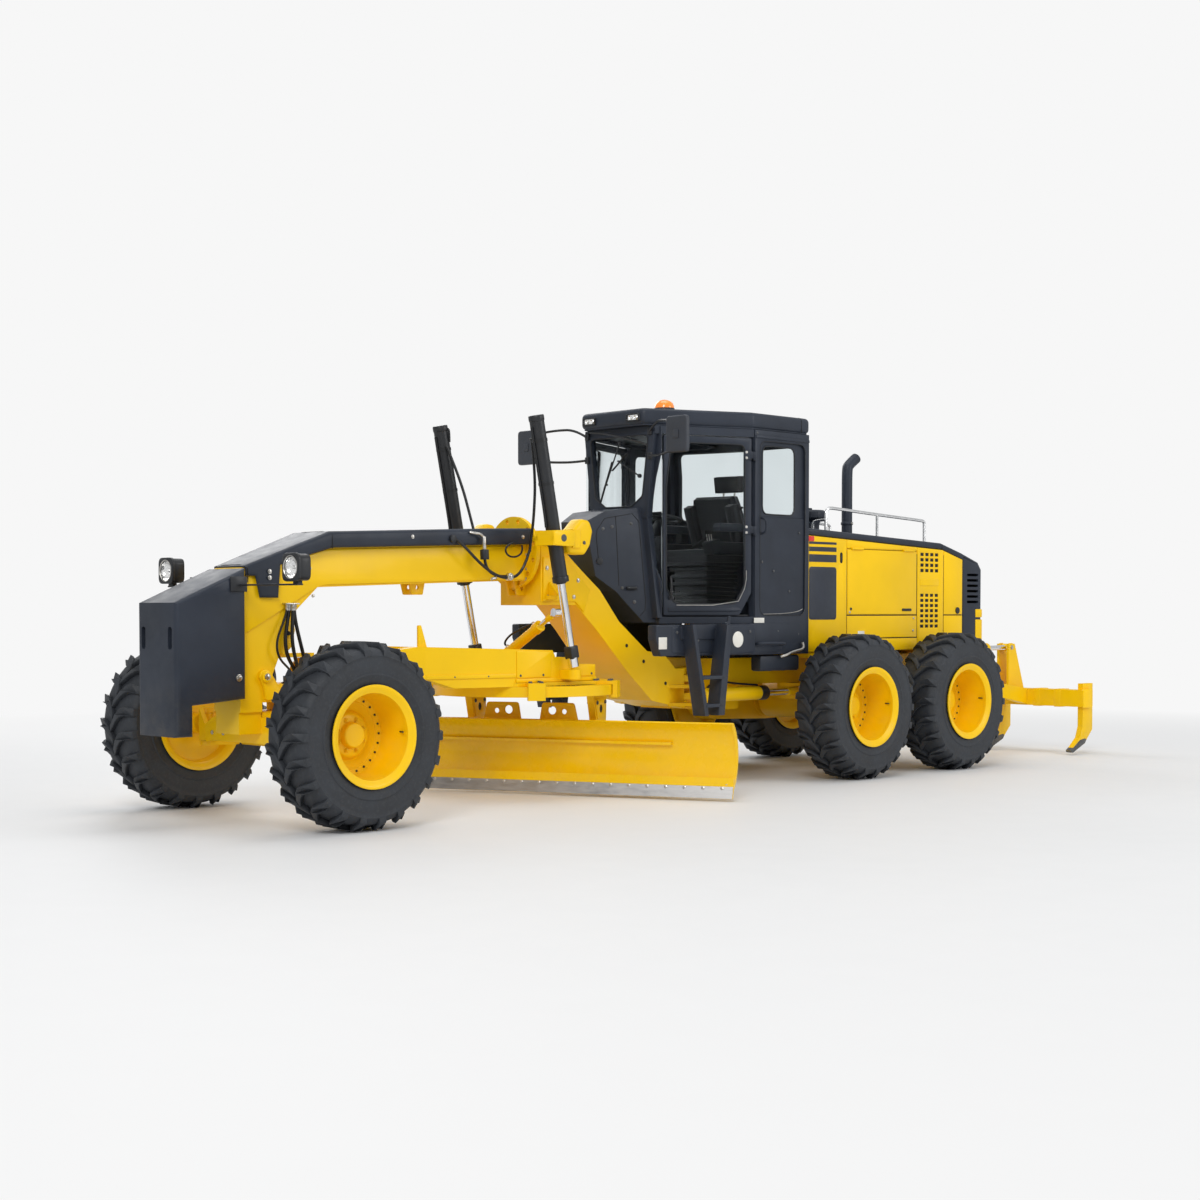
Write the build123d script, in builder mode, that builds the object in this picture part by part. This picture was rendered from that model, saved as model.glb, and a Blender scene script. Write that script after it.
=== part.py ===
from build123d import *
import os
from math import cos, hypot, radians, sin

os.makedirs("parts", exist_ok=True)

# Driving sizes in millimetres. Y values written as plain numbers are distances behind the front axle.
FRONT_REACH = 925
REAR_REACH = 9950
WHEELBASE = 6480
TANDEM_SPACING = 1525
TRACK = 2200
TYRE_RADIUS = 665
TYRE_WIDTH = 445
RIM_FLANGE_RADIUS = 367
RIM_BARREL_RADIUS = 318
FIT = 0.3
RUNNING_GAP = 5
FRONT_AXLE_Y = -(REAR_REACH - FRONT_REACH) / 2
HUB_HEIGHT = TYRE_RADIUS
SIDES = (("left", 1), ("right", -1))


# Work planes that share the vehicle's axes and start at the front axle
def side(x):
    return Plane(origin=(x, FRONT_AXLE_Y, 0), x_dir=(0, 1, 0), z_dir=(1, 0, 0))


def level(z):
    return Plane(origin=(0, FRONT_AXLE_Y, z), x_dir=(1, 0, 0), z_dir=(0, 0, 1))


def across(y):
    return Plane(origin=(0, FRONT_AXLE_Y + y, 0), x_dir=(1, 0, 0), z_dir=(0, -1, 0))


def place(x, y, z):
    return Vector(x, FRONT_AXLE_Y + y, z)


def plate(plane, points, depth, both=False, mode=Mode.ADD):
    with BuildSketch(plane) as outline:
        with BuildLine():
            Polyline(*points, close=True)
        make_face()
    extrude(outline.sketch, amount=depth, both=both, mode=mode)


def disc(plane, centre, radius, depth, both=False, mode=Mode.ADD):
    with BuildSketch(plane) as outline:
        with Locations(centre):
            Circle(radius)
    extrude(outline.sketch, amount=depth, both=both, mode=mode)


def block(x_span, y_span, z_span, mode=Mode.ADD):
    middle = ((x_span[0] + x_span[1]) / 2, (y_span[0] + y_span[1]) / 2)
    with BuildSketch(level(z_span[0])) as outline:
        with Locations(middle):
            Rectangle(abs(x_span[1] - x_span[0]), abs(y_span[1] - y_span[0]))
    extrude(outline.sketch, amount=z_span[1] - z_span[0], mode=mode)


def bar(start, end, radius, mode=Mode.ADD):
    with BuildSketch(Plane(origin=start, z_dir=end - start)) as outline:
        Circle(radius)
    extrude(outline.sketch, amount=(end - start).length, mode=mode)


def mirrored(points):
    return list(points) + [(-x, y) for x, y in reversed(points) if x]


def save(piece, name):
    piece.part.label = name
    export_step(piece.part, "parts/" + name + ".step")


# Wheels
TYRE_TREAD_HALF = 175
TYRE_SHOULDER_DROP = 65
RIM_FLANGE_WIDTH = 22
RIM_WALL = 14
DISC_INSET = 90
DISC_THICKNESS = 20
HUB_RADIUS = 95
HUB_CAP_RADIUS = 60
HUB_LENGTH = 60
HUB_CAP_LENGTH = 45
SPINDLE_RADIUS = 45


def tyre_at(name, hub):
    half = TYRE_WIDTH / 2
    bead = half - RIM_FLANGE_WIDTH - FIT
    seat = RIM_BARREL_RADIUS + FIT
    shoulder = TYRE_RADIUS - TYRE_SHOULDER_DROP
    with BuildPart() as tyre:
        with BuildSketch(Plane(origin=hub, x_dir=(0, 0, 1), z_dir=(0, 1, 0))) as section:
            with BuildLine():
                Polyline(
                    (shoulder, half), (RIM_FLANGE_RADIUS + 90, half),
                    (RIM_FLANGE_RADIUS + FIT, bead), (seat, bead),
                    (seat, -bead), (RIM_FLANGE_RADIUS + FIT, -bead),
                    (RIM_FLANGE_RADIUS + 90, -half), (shoulder, -half),
                )
                ThreePointArc(
                    (shoulder, -half), (TYRE_RADIUS - 25.4, -(TYRE_TREAD_HALF + half) / 2 - 9.7),
                    (TYRE_RADIUS, -TYRE_TREAD_HALF),
                )
                Line((TYRE_RADIUS, -TYRE_TREAD_HALF), (TYRE_RADIUS, TYRE_TREAD_HALF))
                ThreePointArc(
                    (TYRE_RADIUS, TYRE_TREAD_HALF), (TYRE_RADIUS - 25.4, (TYRE_TREAD_HALF + half) / 2 + 9.7),
                    (shoulder, half),
                )
            make_face()
        revolve(axis=Axis(hub, (1, 0, 0)))
    save(tyre, name)


def rim_at(name, hub, outward):
    half = TYRE_WIDTH / 2
    inner = -half * outward
    disc_inner = inner + DISC_INSET * outward
    disc_outer = disc_inner + DISC_THICKNESS * outward
    flange_inner = inner + RIM_FLANGE_WIDTH * outward
    bore = RIM_BARREL_RADIUS - RIM_WALL
    with BuildPart() as rim:
        with BuildSketch(Plane(origin=hub, x_dir=(0, 0, 1), z_dir=(0, 1, 0))) as section:
            with BuildLine():
                Polyline(
                    (RIM_FLANGE_RADIUS, inner), (RIM_FLANGE_RADIUS, flange_inner),
                    (RIM_BARREL_RADIUS, flange_inner),
                    (RIM_BARREL_RADIUS, -flange_inner), (RIM_FLANGE_RADIUS, -flange_inner),
                    (RIM_FLANGE_RADIUS, -inner), (bore, -inner), (bore, disc_outer),
                    (HUB_RADIUS, disc_outer), (HUB_RADIUS, disc_outer + HUB_LENGTH * outward),
                    (HUB_CAP_RADIUS, disc_outer + HUB_LENGTH * outward),
                    (HUB_CAP_RADIUS, disc_outer + (HUB_LENGTH + HUB_CAP_LENGTH) * outward),
                    (0, disc_outer + (HUB_LENGTH + HUB_CAP_LENGTH) * outward),
                    (0, disc_outer + 10 * outward), (SPINDLE_RADIUS + FIT, disc_outer + 10 * outward),
                    (SPINDLE_RADIUS + FIT, disc_inner), (bore, disc_inner), (bore, inner), close=True,
                )
            make_face()
        revolve(axis=Axis(hub, (1, 0, 0)))
    save(rim, name)


WHEEL_ROWS = (("front", 0), ("rear_leading", WHEELBASE - TANDEM_SPACING / 2),
              ("rear_trailing", WHEELBASE + TANDEM_SPACING / 2))
for row, y in WHEEL_ROWS:
    for hand, sign in SIDES:
        hub = place(sign * TRACK / 2, y, HUB_HEIGHT)
        tyre_at("tyre_" + row + "_" + hand, hub)
        rim_at("rim_" + row + "_" + hand, hub, sign)

TYRE_INNER_X = (TRACK - TYRE_WIDTH) / 2
DISC_X = TYRE_INNER_X + DISC_INSET
SPINDLE_END_X = DISC_X + DISC_THICKNESS + 8


# Front axle, leaning yokes and steering knuckles
AXLE_PIVOT_Z = 715
AXLE_FRONT_Y = -140
AXLE_REAR_Y = 100
AXLE_PIN_RADIUS = 45
AXLE_LUG_GAP = 6
AXLE_LUG_REAR_Y = AXLE_REAR_Y + AXLE_LUG_GAP + 60
BOLSTER_LOW_Z = 870
LEAN_X = 690
LEAN_Z = 615
LEAN_LUG_HALF = 55
LEAN_LUG_RADIUS = 70
LEAN_PIN_RADIUS = 28
FORK_PLATE = 38
KINGPIN_X = 815
KINGPIN_RADIUS = 28
KNUCKLE_RADIUS = 55
KNUCKLE_HALF = 85
EAR_THICKNESS = 40
EAR_RADIUS = 55
EAR_GAP = 2
STEER_ARM_REACH = 230
STEER_ARM_INSET = 55
STEER_ARM_THICKNESS = 34
STEER_EYE_RADIUS = 32
TIE_ROD_RADIUS = 22

with BuildPart() as front_axle:
    beam_half = [(0, 800), (130, 800), (330, 775), (520, 730), (600, LEAN_Z + LEAN_LUG_RADIUS),
                 (600, LEAN_Z - LEAN_LUG_RADIUS), (480, 560), (300, 600), (130, 625), (0, 625)]
    plate(across(AXLE_FRONT_Y), mirrored(beam_half), -(AXLE_REAR_Y - AXLE_FRONT_Y))
    for _, sign in SIDES:
        plate(
            across(-LEAN_LUG_HALF),
            [(sign * 595, LEAN_Z + LEAN_LUG_RADIUS), (sign * LEAN_X, LEAN_Z + LEAN_LUG_RADIUS),
             (sign * LEAN_X, LEAN_Z - LEAN_LUG_RADIUS), (sign * 595, LEAN_Z - LEAN_LUG_RADIUS)],
            -2 * LEAN_LUG_HALF,
        )
        disc(across(-LEAN_LUG_HALF), (sign * LEAN_X, LEAN_Z), LEAN_LUG_RADIUS, -2 * LEAN_LUG_HALF)
        disc(across(-LEAN_LUG_HALF), (sign * LEAN_X, LEAN_Z), LEAN_PIN_RADIUS + FIT, -2 * LEAN_LUG_HALF,
             mode=Mode.SUBTRACT)
    disc(across(AXLE_FRONT_Y), (0, AXLE_PIVOT_Z), AXLE_PIN_RADIUS + FIT, -(AXLE_REAR_Y - AXLE_FRONT_Y),
         mode=Mode.SUBTRACT)
save(front_axle, "front_axle")

YOKE_INNER_Y = LEAN_LUG_HALF + 3
YOKE_OUTER_Y = YOKE_INNER_Y + FORK_PLATE
YOKE_WEB_X = LEAN_X + LEAN_LUG_RADIUS + 4
EAR_LOW_Z = HUB_HEIGHT - KNUCKLE_HALF - EAR_GAP
EAR_HIGH_Z = HUB_HEIGHT + KNUCKLE_HALF + EAR_GAP
KINGPIN_LOW_Z = EAR_LOW_Z - EAR_THICKNESS
STEER_ARM_TOP_Z = KINGPIN_LOW_Z - RUNNING_GAP
STEER_ARM_LOW_Z = STEER_ARM_TOP_Z - STEER_ARM_THICKNESS

for hand, sign in SIDES:
    with BuildPart() as lean_yoke:
        for face in (-YOKE_OUTER_Y, YOKE_INNER_Y):
            plate(
                across(face),
                [(sign * LEAN_X, LEAN_Z - 65), (sign * LEAN_X, LEAN_Z + 65),
                 (sign * YOKE_WEB_X, EAR_HIGH_Z + EAR_THICKNESS),
                 (sign * YOKE_WEB_X, EAR_LOW_Z - EAR_THICKNESS)],
                -FORK_PLATE,
            )
            disc(across(face), (sign * LEAN_X, LEAN_Z), 65, -FORK_PLATE)
        for ear_z in (EAR_LOW_Z - EAR_THICKNESS, EAR_HIGH_Z):
            plate(
                level(ear_z),
                [(sign * YOKE_WEB_X, -YOKE_OUTER_Y), (sign * KINGPIN_X, -EAR_RADIUS),
                 (sign * KINGPIN_X, EAR_RADIUS),
                 (sign * YOKE_WEB_X, YOKE_OUTER_Y)],
                EAR_THICKNESS,
            )
            disc(level(ear_z), (sign * KINGPIN_X, 0), EAR_RADIUS, EAR_THICKNESS)
            disc(level(ear_z), (sign * KINGPIN_X, 0), KINGPIN_RADIUS + FIT, EAR_THICKNESS, mode=Mode.SUBTRACT)
        disc(across(-YOKE_OUTER_Y), (sign * LEAN_X, LEAN_Z), LEAN_PIN_RADIUS, -2 * YOKE_OUTER_Y)
    save(lean_yoke, "lean_yoke_" + hand)

    with BuildPart() as knuckle:
        disc(level(HUB_HEIGHT - KNUCKLE_HALF), (sign * KINGPIN_X, 0), KNUCKLE_RADIUS, 2 * KNUCKLE_HALF)
        disc(side(sign * KINGPIN_X), (0, HUB_HEIGHT), SPINDLE_RADIUS, sign * (SPINDLE_END_X - KINGPIN_X))
        disc(side(sign * (KINGPIN_X + 40)), (0, HUB_HEIGHT), 80, sign * (DISC_X - 3 - KINGPIN_X - 40))
        # Kingpin, with the steering arm under the lower ear
        disc(level(STEER_ARM_LOW_Z), (sign * KINGPIN_X, 0), KINGPIN_RADIUS,
             EAR_HIGH_Z + EAR_THICKNESS - STEER_ARM_LOW_Z)
        disc(level(STEER_ARM_LOW_Z), (sign * KINGPIN_X, 0), 45, STEER_ARM_THICKNESS)
        arm_end = KINGPIN_X - STEER_ARM_INSET
        plate(
            level(STEER_ARM_LOW_Z),
            [(sign * (KINGPIN_X - 40), 0), (sign * (KINGPIN_X + 40), 0),
             (sign * (arm_end + 28), STEER_ARM_REACH),
             (sign * (arm_end - 28), STEER_ARM_REACH)],
            STEER_ARM_THICKNESS,
        )
        disc(level(STEER_ARM_LOW_Z), (sign * arm_end, STEER_ARM_REACH), STEER_EYE_RADIUS, STEER_ARM_THICKNESS)
    save(knuckle, "knuckle_" + hand)

TIE_ROD_HALF = KINGPIN_X - STEER_ARM_INSET - 20
TIE_ROD_Y = hypot(STEER_ARM_REACH, STEER_ARM_INSET) + STEER_EYE_RADIUS + TIE_ROD_RADIUS + 0.5
TIE_ROD_Z = STEER_ARM_LOW_Z + STEER_ARM_THICKNESS / 2
with BuildPart() as tie_rod:
    disc(side(-TIE_ROD_HALF), (TIE_ROD_Y, TIE_ROD_Z), TIE_ROD_RADIUS, 2 * TIE_ROD_HALF)
save(tie_rod, "tie_rod")


# Front frame: column, beam, lifter ring, gooseneck and hinge ears
WEIGHT_HALF = 257
BEAM_HALF = 170
BOX_HALF = 250
HEEL_HALF = 300
COVER_HALF_FRONT = 210
COVER_HALF = 250
COVER_WALL = 12
COLUMN_FRONT_Y = -340
LIFTER_Y = 2490
LIFTER_Z = 2030
LIFTER_RADIUS = 300
LIFTER_PLATE = 40
LOCK_HOLE_RADIUS = 20
LOCK_HOLES = 12
HINGE_Y = 4450
HINGE_PIN_RADIUS = 45
HINGE_EAR_RADIUS = 115
HINGE_UPPER_Z = 965
HINGE_LOWER_Z = 665
HINGE_EAR = 60
BALL_Y = 350
BALL_Z = 1100
BALL_PLATE_GAP = 95
BALL_PLATE = 30
BALL_PIN_RADIUS = 28
STEER_CYL_X = 500
STEER_CYL_Z = 790
STEER_FRONT_PIN_Y = 4240
STEER_REAR_PIN_Y = 5650
STEER_PIN_RADIUS = 28
TRUNNION_X = 600
TRUNNION_Y = 2387
TRUNNION_Z = 2130
YOKE_REAR_Y = 2515
SHIFT_Y = 2650
SHIFT_TOP_X = 340
SHIFT_TOP_Z = 1530
SHIFT_LOW_X = -345
SHIFT_LOW_Z = 1135
SHIFT_BARREL_LENGTH = 565
SHIFT_ROD_LENGTH = 600
SHIFT_EYE_RADIUS = 34
SHIFT_ARM_LOW_Z = 1635

COVER_TOP = ((-320, 1870), (415, 2140), (2000, 2210), (2465, 2225))
beam_top = [(y, z - COVER_WALL - FIT) for y, z in COVER_TOP]

with BuildPart() as front_frame:
    # Beam with the column at its front end
    plate(
        side(-BEAM_HALF),
        [(COLUMN_FRONT_Y, 800), (-150, 800), (-150, 870), (-40, 870), (20, 950), (-60, 1070), (50, 1320),
         (100, 1500), (350, 1720),
         (1700, 1770), (2600, 1800), (2600, beam_top[3][1]), beam_top[2], beam_top[1], beam_top[0],
         (COLUMN_FRONT_Y, beam_top[0][1] - 8)],
        2 * BEAM_HALF,
    )
    # Box behind the lifter and the gooseneck that falls to the hinge
    plate(
        side(-HEEL_HALF),
        [(2560, 1590), (2970, 1590), (3200, 1380), (3580, 990), (3850, 750), (4262, 668), (4262, 1025),
         (4150, 1025),
         (4000, 1160), (3790, 1190), (3460, 1450), (3240, 1720), (2860, 2020), (2860, 2210), (2560, 2210)],
        2 * HEEL_HALF,
    )
    gooseneck_flank = [(BOX_HALF, 2560), (BOX_HALF, 3050), (HEEL_HALF, 3900), (HEEL_HALF + 1, 4262),
                       (HEEL_HALF + 1, 2560)]
    for _, sign in SIDES:
        plate(level(500), [(sign * x, y) for x, y in gooseneck_flank], 2000, mode=Mode.SUBTRACT)
    # Round lifter plate with its lock holes
    disc(across(LIFTER_Y - LIFTER_PLATE / 2), (0, LIFTER_Z), LIFTER_RADIUS, -LIFTER_PLATE)
    with BuildSketch(across(LIFTER_Y - LIFTER_PLATE / 2)) as lock_holes:
        with Locations((0, LIFTER_Z)):
            with PolarLocations(LIFTER_RADIUS - 40, LOCK_HOLES, start_angle=15):
                Circle(LOCK_HOLE_RADIUS)
    extrude(lock_holes.sketch, amount=-LIFTER_PLATE, mode=Mode.SUBTRACT)
    # Arms that carry the lift cylinder yokes
    for _, sign in SIDES:
        plate(
            level(TRUNNION_Z - 75),
            [(sign * 240, 2740), (sign * 240, 2990), (sign * 330, 2990), (sign * 680, 2600),
             (sign * 680, YOKE_REAR_Y + RUNNING_GAP), (sign * 520, YOKE_REAR_Y + RUNNING_GAP),
             (sign * 520, 2600)],
            150,
        )
        disc(across(YOKE_REAR_Y - 40), (sign * TRUNNION_X, TRUNNION_Z), 30, -(45 + RUNNING_GAP))
    # Arm over the side shift rod's eye, with a web on the box
    block((200, SHIFT_TOP_X + 70), (SHIFT_Y - 50, SHIFT_Y + 50), (SHIFT_ARM_LOW_Z, SHIFT_ARM_LOW_Z + 35))
    plate(
        across(SHIFT_Y - 12),
        [(240, SHIFT_ARM_LOW_Z + 30), (SHIFT_TOP_X + 50, SHIFT_ARM_LOW_Z + 30), (240, SHIFT_ARM_LOW_Z + 170)],
        -24,
    )
    # Bolster over the front axle, with a lug before and behind the beam
    block((-150, 150), (COLUMN_FRONT_Y, AXLE_FRONT_Y - AXLE_LUG_GAP), (640, 880))
    block((-150, 150), (AXLE_REAR_Y + AXLE_LUG_GAP, AXLE_LUG_REAR_Y), (640, 1000))
    block((-150, 150), (-330, AXLE_LUG_REAR_Y), (BOLSTER_LOW_Z, 1000))
    disc(across(-330), (0, AXLE_PIVOT_Z), AXLE_PIN_RADIUS, -(AXLE_LUG_REAR_Y + 330))
    # Fork for the drawbar pivot
    for plate_z in (BALL_Z - BALL_PLATE_GAP - BALL_PLATE, BALL_Z + BALL_PLATE_GAP):
        plate(level(plate_z), [(-120, -60), (120, -60), (70, BALL_Y), (-70, BALL_Y)], BALL_PLATE)
        disc(level(plate_z), (0, BALL_Y), 72, BALL_PLATE)
        disc(level(plate_z), (0, BALL_Y), BALL_PIN_RADIUS + FIT, BALL_PLATE, mode=Mode.SUBTRACT)
    # Hinge ears at the rear, the upper one above and the lower one below those of the rear frame
    for ear_z in (HINGE_UPPER_Z, HINGE_LOWER_Z):
        plate(level(ear_z), [(-180, 4200), (180, 4200), (HINGE_EAR_RADIUS, HINGE_Y),
                             (-HINGE_EAR_RADIUS, HINGE_Y)], HINGE_EAR)
        disc(level(ear_z), (0, HINGE_Y), HINGE_EAR_RADIUS, HINGE_EAR)
    disc(level(HINGE_LOWER_Z), (0, HINGE_Y), HINGE_PIN_RADIUS, HINGE_UPPER_Z + HINGE_EAR - HINGE_LOWER_Z)
    # Brackets of the two frame steering cylinders
    for _, sign in SIDES:
        for bracket_z in (STEER_CYL_Z - 95, STEER_CYL_Z + 65):
            plate(
                level(bracket_z),
                [(sign * 290, 4060), (sign * 470, 4170), (sign * 560, STEER_FRONT_PIN_Y), (sign * 500, 4290),
                 (sign * 290, 4262)],
                30,
            )
        disc(level(STEER_CYL_Z - 95), (sign * STEER_CYL_X, STEER_FRONT_PIN_Y), STEER_PIN_RADIUS, 190)
save(front_frame, "front_frame")

COVER_SKIRT = ((2465, 2085), (1700, 2060), (440, 2010), (260, 1960), (-270, 1790), (-320, 1790))


def cover_body(inset):
    side_points = [(y, z - inset) for y, z in COVER_TOP]
    side_points += [(y, z - 100 * (inset > 0)) for y, z in COVER_SKIRT]
    plan_points = [(COVER_HALF_FRONT - inset, -330), (COVER_HALF - inset, 415), (COVER_HALF - inset, 2480)]
    with BuildSketch(side(-COVER_HALF)) as side_view:
        with BuildLine():
            Polyline(*side_points, close=True)
        make_face()
    with BuildSketch(level(1600)) as plan_view:
        with BuildLine():
            Polyline(*mirrored(plan_points), close=True)
        make_face()
    return (extrude(side_view.sketch, amount=2 * COVER_HALF, mode=Mode.PRIVATE)
            & extrude(plan_view.sketch, amount=800, mode=Mode.PRIVATE))


with BuildPart() as beam_cover:
    add(cover_body(0))
    add(cover_body(COVER_WALL), mode=Mode.SUBTRACT)
save(beam_cover, "beam_cover")

with BuildPart() as front_weight:
    plate(
        side(-WEIGHT_HALF),
        [(-FRONT_REACH, 650), (-783, 650), (-783, 870), (COLUMN_FRONT_Y - FIT, 905),
         (COLUMN_FRONT_Y - FIT, 1850),
         (-FRONT_REACH, 1600)],
        2 * WEIGHT_HALF,
    )
    front_uprights = front_weight.edges().filter_by(Axis.Z).group_by(Axis.Y)[0]
    fillet(front_uprights, radius=45)
save(front_weight, "front_weight")

LAMP_X = 814
LAMP_Y = -293
LAMP_Z = 1848
with BuildPart() as headlamps:
    for _, sign in SIDES:
        block((sign * (LAMP_X - 115), sign * (LAMP_X + 115)), (LAMP_Y - 60, LAMP_Y + 60),
              (LAMP_Z - 115, LAMP_Z + 115))
        plate(
            level(LAMP_Z - 35),
            [(sign * (WEIGHT_HALF + FIT), -420), (sign * (LAMP_X - 110), LAMP_Y - 20),
             (sign * (LAMP_X - 110), LAMP_Y + 30),
             (sign * (WEIGHT_HALF + FIT), -370)],
            30,
        )
        block((sign * (WEIGHT_HALF + FIT), sign * (WEIGHT_HALF + 25)), (-480, -350), (1700, LAMP_Z - 5))
save(headlamps, "headlamps")


# Drawbar, circle and blade
LIFT_BALL_Y = 2600
LIFT_BALL_Z = 1100
CIRCLE_Y = 2600
CIRCLE_RADIUS = 765
CIRCLE_BORE = 640
CIRCLE_LOW_Z = 845
CIRCLE_HIGH_Z = 930
DECK_LOW_Z = CIRCLE_HIGH_Z + FIT
SHOE_GAP = 4
SHOE_LIP = 25
DECK_HIGH_Z = DECK_LOW_Z + 30

with BuildPart() as drawbar_pivot:
    disc(level(BALL_Z - 88), (0, BALL_Y), 58, 176)
    disc(level(BALL_Z - BALL_PLATE_GAP - BALL_PLATE), (0, BALL_Y), BALL_PIN_RADIUS,
         2 * (BALL_PLATE_GAP + BALL_PLATE))
    disc(side(-95), (BALL_Y, BALL_Z), 26, 190)
save(drawbar_pivot, "drawbar_pivot")

with BuildPart() as drawbar:
    # Fork at the pivot
    for _, sign in SIDES:
        disc(side(sign * 62), (BALL_Y, BALL_Z), 68, sign * 33)
        block((sign * 62, sign * 95), (BALL_Y, BALL_Y + 130), (BALL_Z - 60, BALL_Z + 60))
        disc(side(sign * 61), (BALL_Y, BALL_Z), 26 + FIT, sign * 35, mode=Mode.SUBTRACT)
    block((-95, 95), (BALL_Y + 90, BALL_Y + 220), (BALL_Z - 58, BALL_Z + 58))
    # Side beams
    beam_plan = [(40, 520), (95, 520), (340, 1250), (500, 2050), (500, 2950), (400, 2950), (400, 2080),
                 (245, 1290), (40, 620)]
    for _, sign in SIDES:
        with BuildSketch(level(DECK_LOW_Z)) as plan:
            with BuildLine():
                Polyline(*[(sign * x, y) for x, y in beam_plan], close=True)
            make_face()
        extrude(plan.sketch, amount=400)
    beam_side_over = [(300, 1170), (560, 1170), (1200, 1262), (2300, 1225), (2460, 1220), (2490, 1165),
                      (2640, 1160),
                      (2690, 1100), (3400, 1090), (3400, 1500), (300, 1500)]
    plate(side(-600), beam_side_over, 1200, mode=Mode.SUBTRACT)
    beam_side_under = [(300, 1030), (560, 1030), (1250, 1010), (1500, DECK_LOW_Z), (1500, 800), (300, 800)]
    plate(side(-600), beam_side_under, 1200, mode=Mode.SUBTRACT)
    # Deck over the circle
    plate(
        level(DECK_LOW_Z),
        mirrored([(330, 1900), (520, 2050), (560, 3050), (330, 3230)]),
        DECK_HIGH_Z - DECK_LOW_Z,
    )
    # Arms and balls for the lift rods
    for _, sign in SIDES:
        block((sign * 480, sign * 590), (LIFT_BALL_Y - 60, LIFT_BALL_Y + 60), (980, 1060))
        disc(level(1050), (sign * TRUNNION_X, LIFT_BALL_Y), 22, 20)
        disc(level(980), (sign * TRUNNION_X, LIFT_BALL_Y), 62, 80)
    # Lug of the side shift barrel
    block((SHIFT_LOW_X - 45, SHIFT_LOW_X + 45), (SHIFT_Y + 35, SHIFT_Y + 60),
          (DECK_HIGH_Z - 5, SHIFT_LOW_Z + 45))
    disc(across(SHIFT_Y - 25), (SHIFT_LOW_X, SHIFT_LOW_Z), 22, -70)
    # Drive housing of the circle
    disc(level(DECK_HIGH_Z), (0, 2080), 130, 110)
    disc(level(DECK_HIGH_Z + 110), (0, 2080), 85, 60)
    disc(level(CIRCLE_LOW_Z + 5), (0, CIRCLE_Y), 90, DECK_LOW_Z - CIRCLE_LOW_Z)
    disc(level(CIRCLE_LOW_Z + 5), (0, 2080), 70, DECK_LOW_Z - CIRCLE_LOW_Z)
    # Shoes that hold the circle from outside and below
    for angle in (35, 145, 215, 325):
        turned = level(CIRCLE_LOW_Z - FIT - SHOE_LIP) * Location((0, CIRCLE_Y, 0), angle)
        with BuildSketch(turned) as shoe:
            with Locations((CIRCLE_RADIUS + SHOE_GAP + 20, 0)):
                Rectangle(40, 140)
        extrude(shoe.sketch, amount=DECK_HIGH_Z - CIRCLE_LOW_Z + FIT + SHOE_LIP)
        with BuildSketch(turned) as lip:
            with Locations((CIRCLE_RADIUS, 0)):
                Rectangle(50, 140)
        extrude(lip.sketch, amount=SHOE_LIP)
        with BuildSketch(level(DECK_LOW_Z) * Location((0, CIRCLE_Y, 0), angle)) as arm:
            with Locations((CIRCLE_RADIUS - 130, 0)):
                Rectangle(300, 140)
        extrude(arm.sketch, amount=DECK_HIGH_Z - DECK_LOW_Z)
save(drawbar, "drawbar")

# Blade axes: along the blade, and square to it towards the front
BLADE_ANGLE = 25
BLADE_LENGTH = 3710
BLADE_HEIGHT = 615
BLADE_LOW_Z = 22
BLADE_AHEAD = 72
BLADE_PLATE = 22
ARM_ALONG = 560
ARM_WIDTH = 60
TIP_BACK = 210
TIP_Z = 330
TIP_PIN_RADIUS = 30
RAIL_REACH = 1300
RAIL_LOW_Z = 170
RAIL_HIGH_Z = 450


def blade_section(along):
    start = place(0, CIRCLE_Y, 0) + Vector(cos(radians(BLADE_ANGLE)), sin(radians(BLADE_ANGLE)), 0) * along
    return Plane(
        origin=start, x_dir=(sin(radians(BLADE_ANGLE)), -cos(radians(BLADE_ANGLE)), 0),
        z_dir=(-cos(radians(BLADE_ANGLE)), -sin(radians(BLADE_ANGLE)), 0),
    )


with BuildPart() as circle:
    disc(level(CIRCLE_LOW_Z), (0, CIRCLE_Y), CIRCLE_RADIUS, CIRCLE_HIGH_Z - CIRCLE_LOW_Z)
    disc(level(CIRCLE_LOW_Z), (0, CIRCLE_Y), CIRCLE_BORE, CIRCLE_HIGH_Z - CIRCLE_LOW_Z, mode=Mode.SUBTRACT)
    # Two arms that hang from the ring behind the blade
    for along in (-ARM_ALONG, ARM_ALONG):
        plate(
            blade_section(along + ARM_WIDTH / 2),
            [(-410, CIRCLE_LOW_Z + 1), (-80, CIRCLE_LOW_Z + 1), (-150, 640), (-TIP_BACK + 50, 430),
             (-TIP_BACK + 48, 290),
             (-TIP_BACK - 60, 290), (-TIP_BACK - 150, 420), (-400, 640)],
            ARM_WIDTH,
        )
        disc(blade_section(along + ARM_WIDTH / 2), (-TIP_BACK, TIP_Z), TIP_PIN_RADIUS + FIT, ARM_WIDTH,
             mode=Mode.SUBTRACT)
save(circle, "circle")

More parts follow.
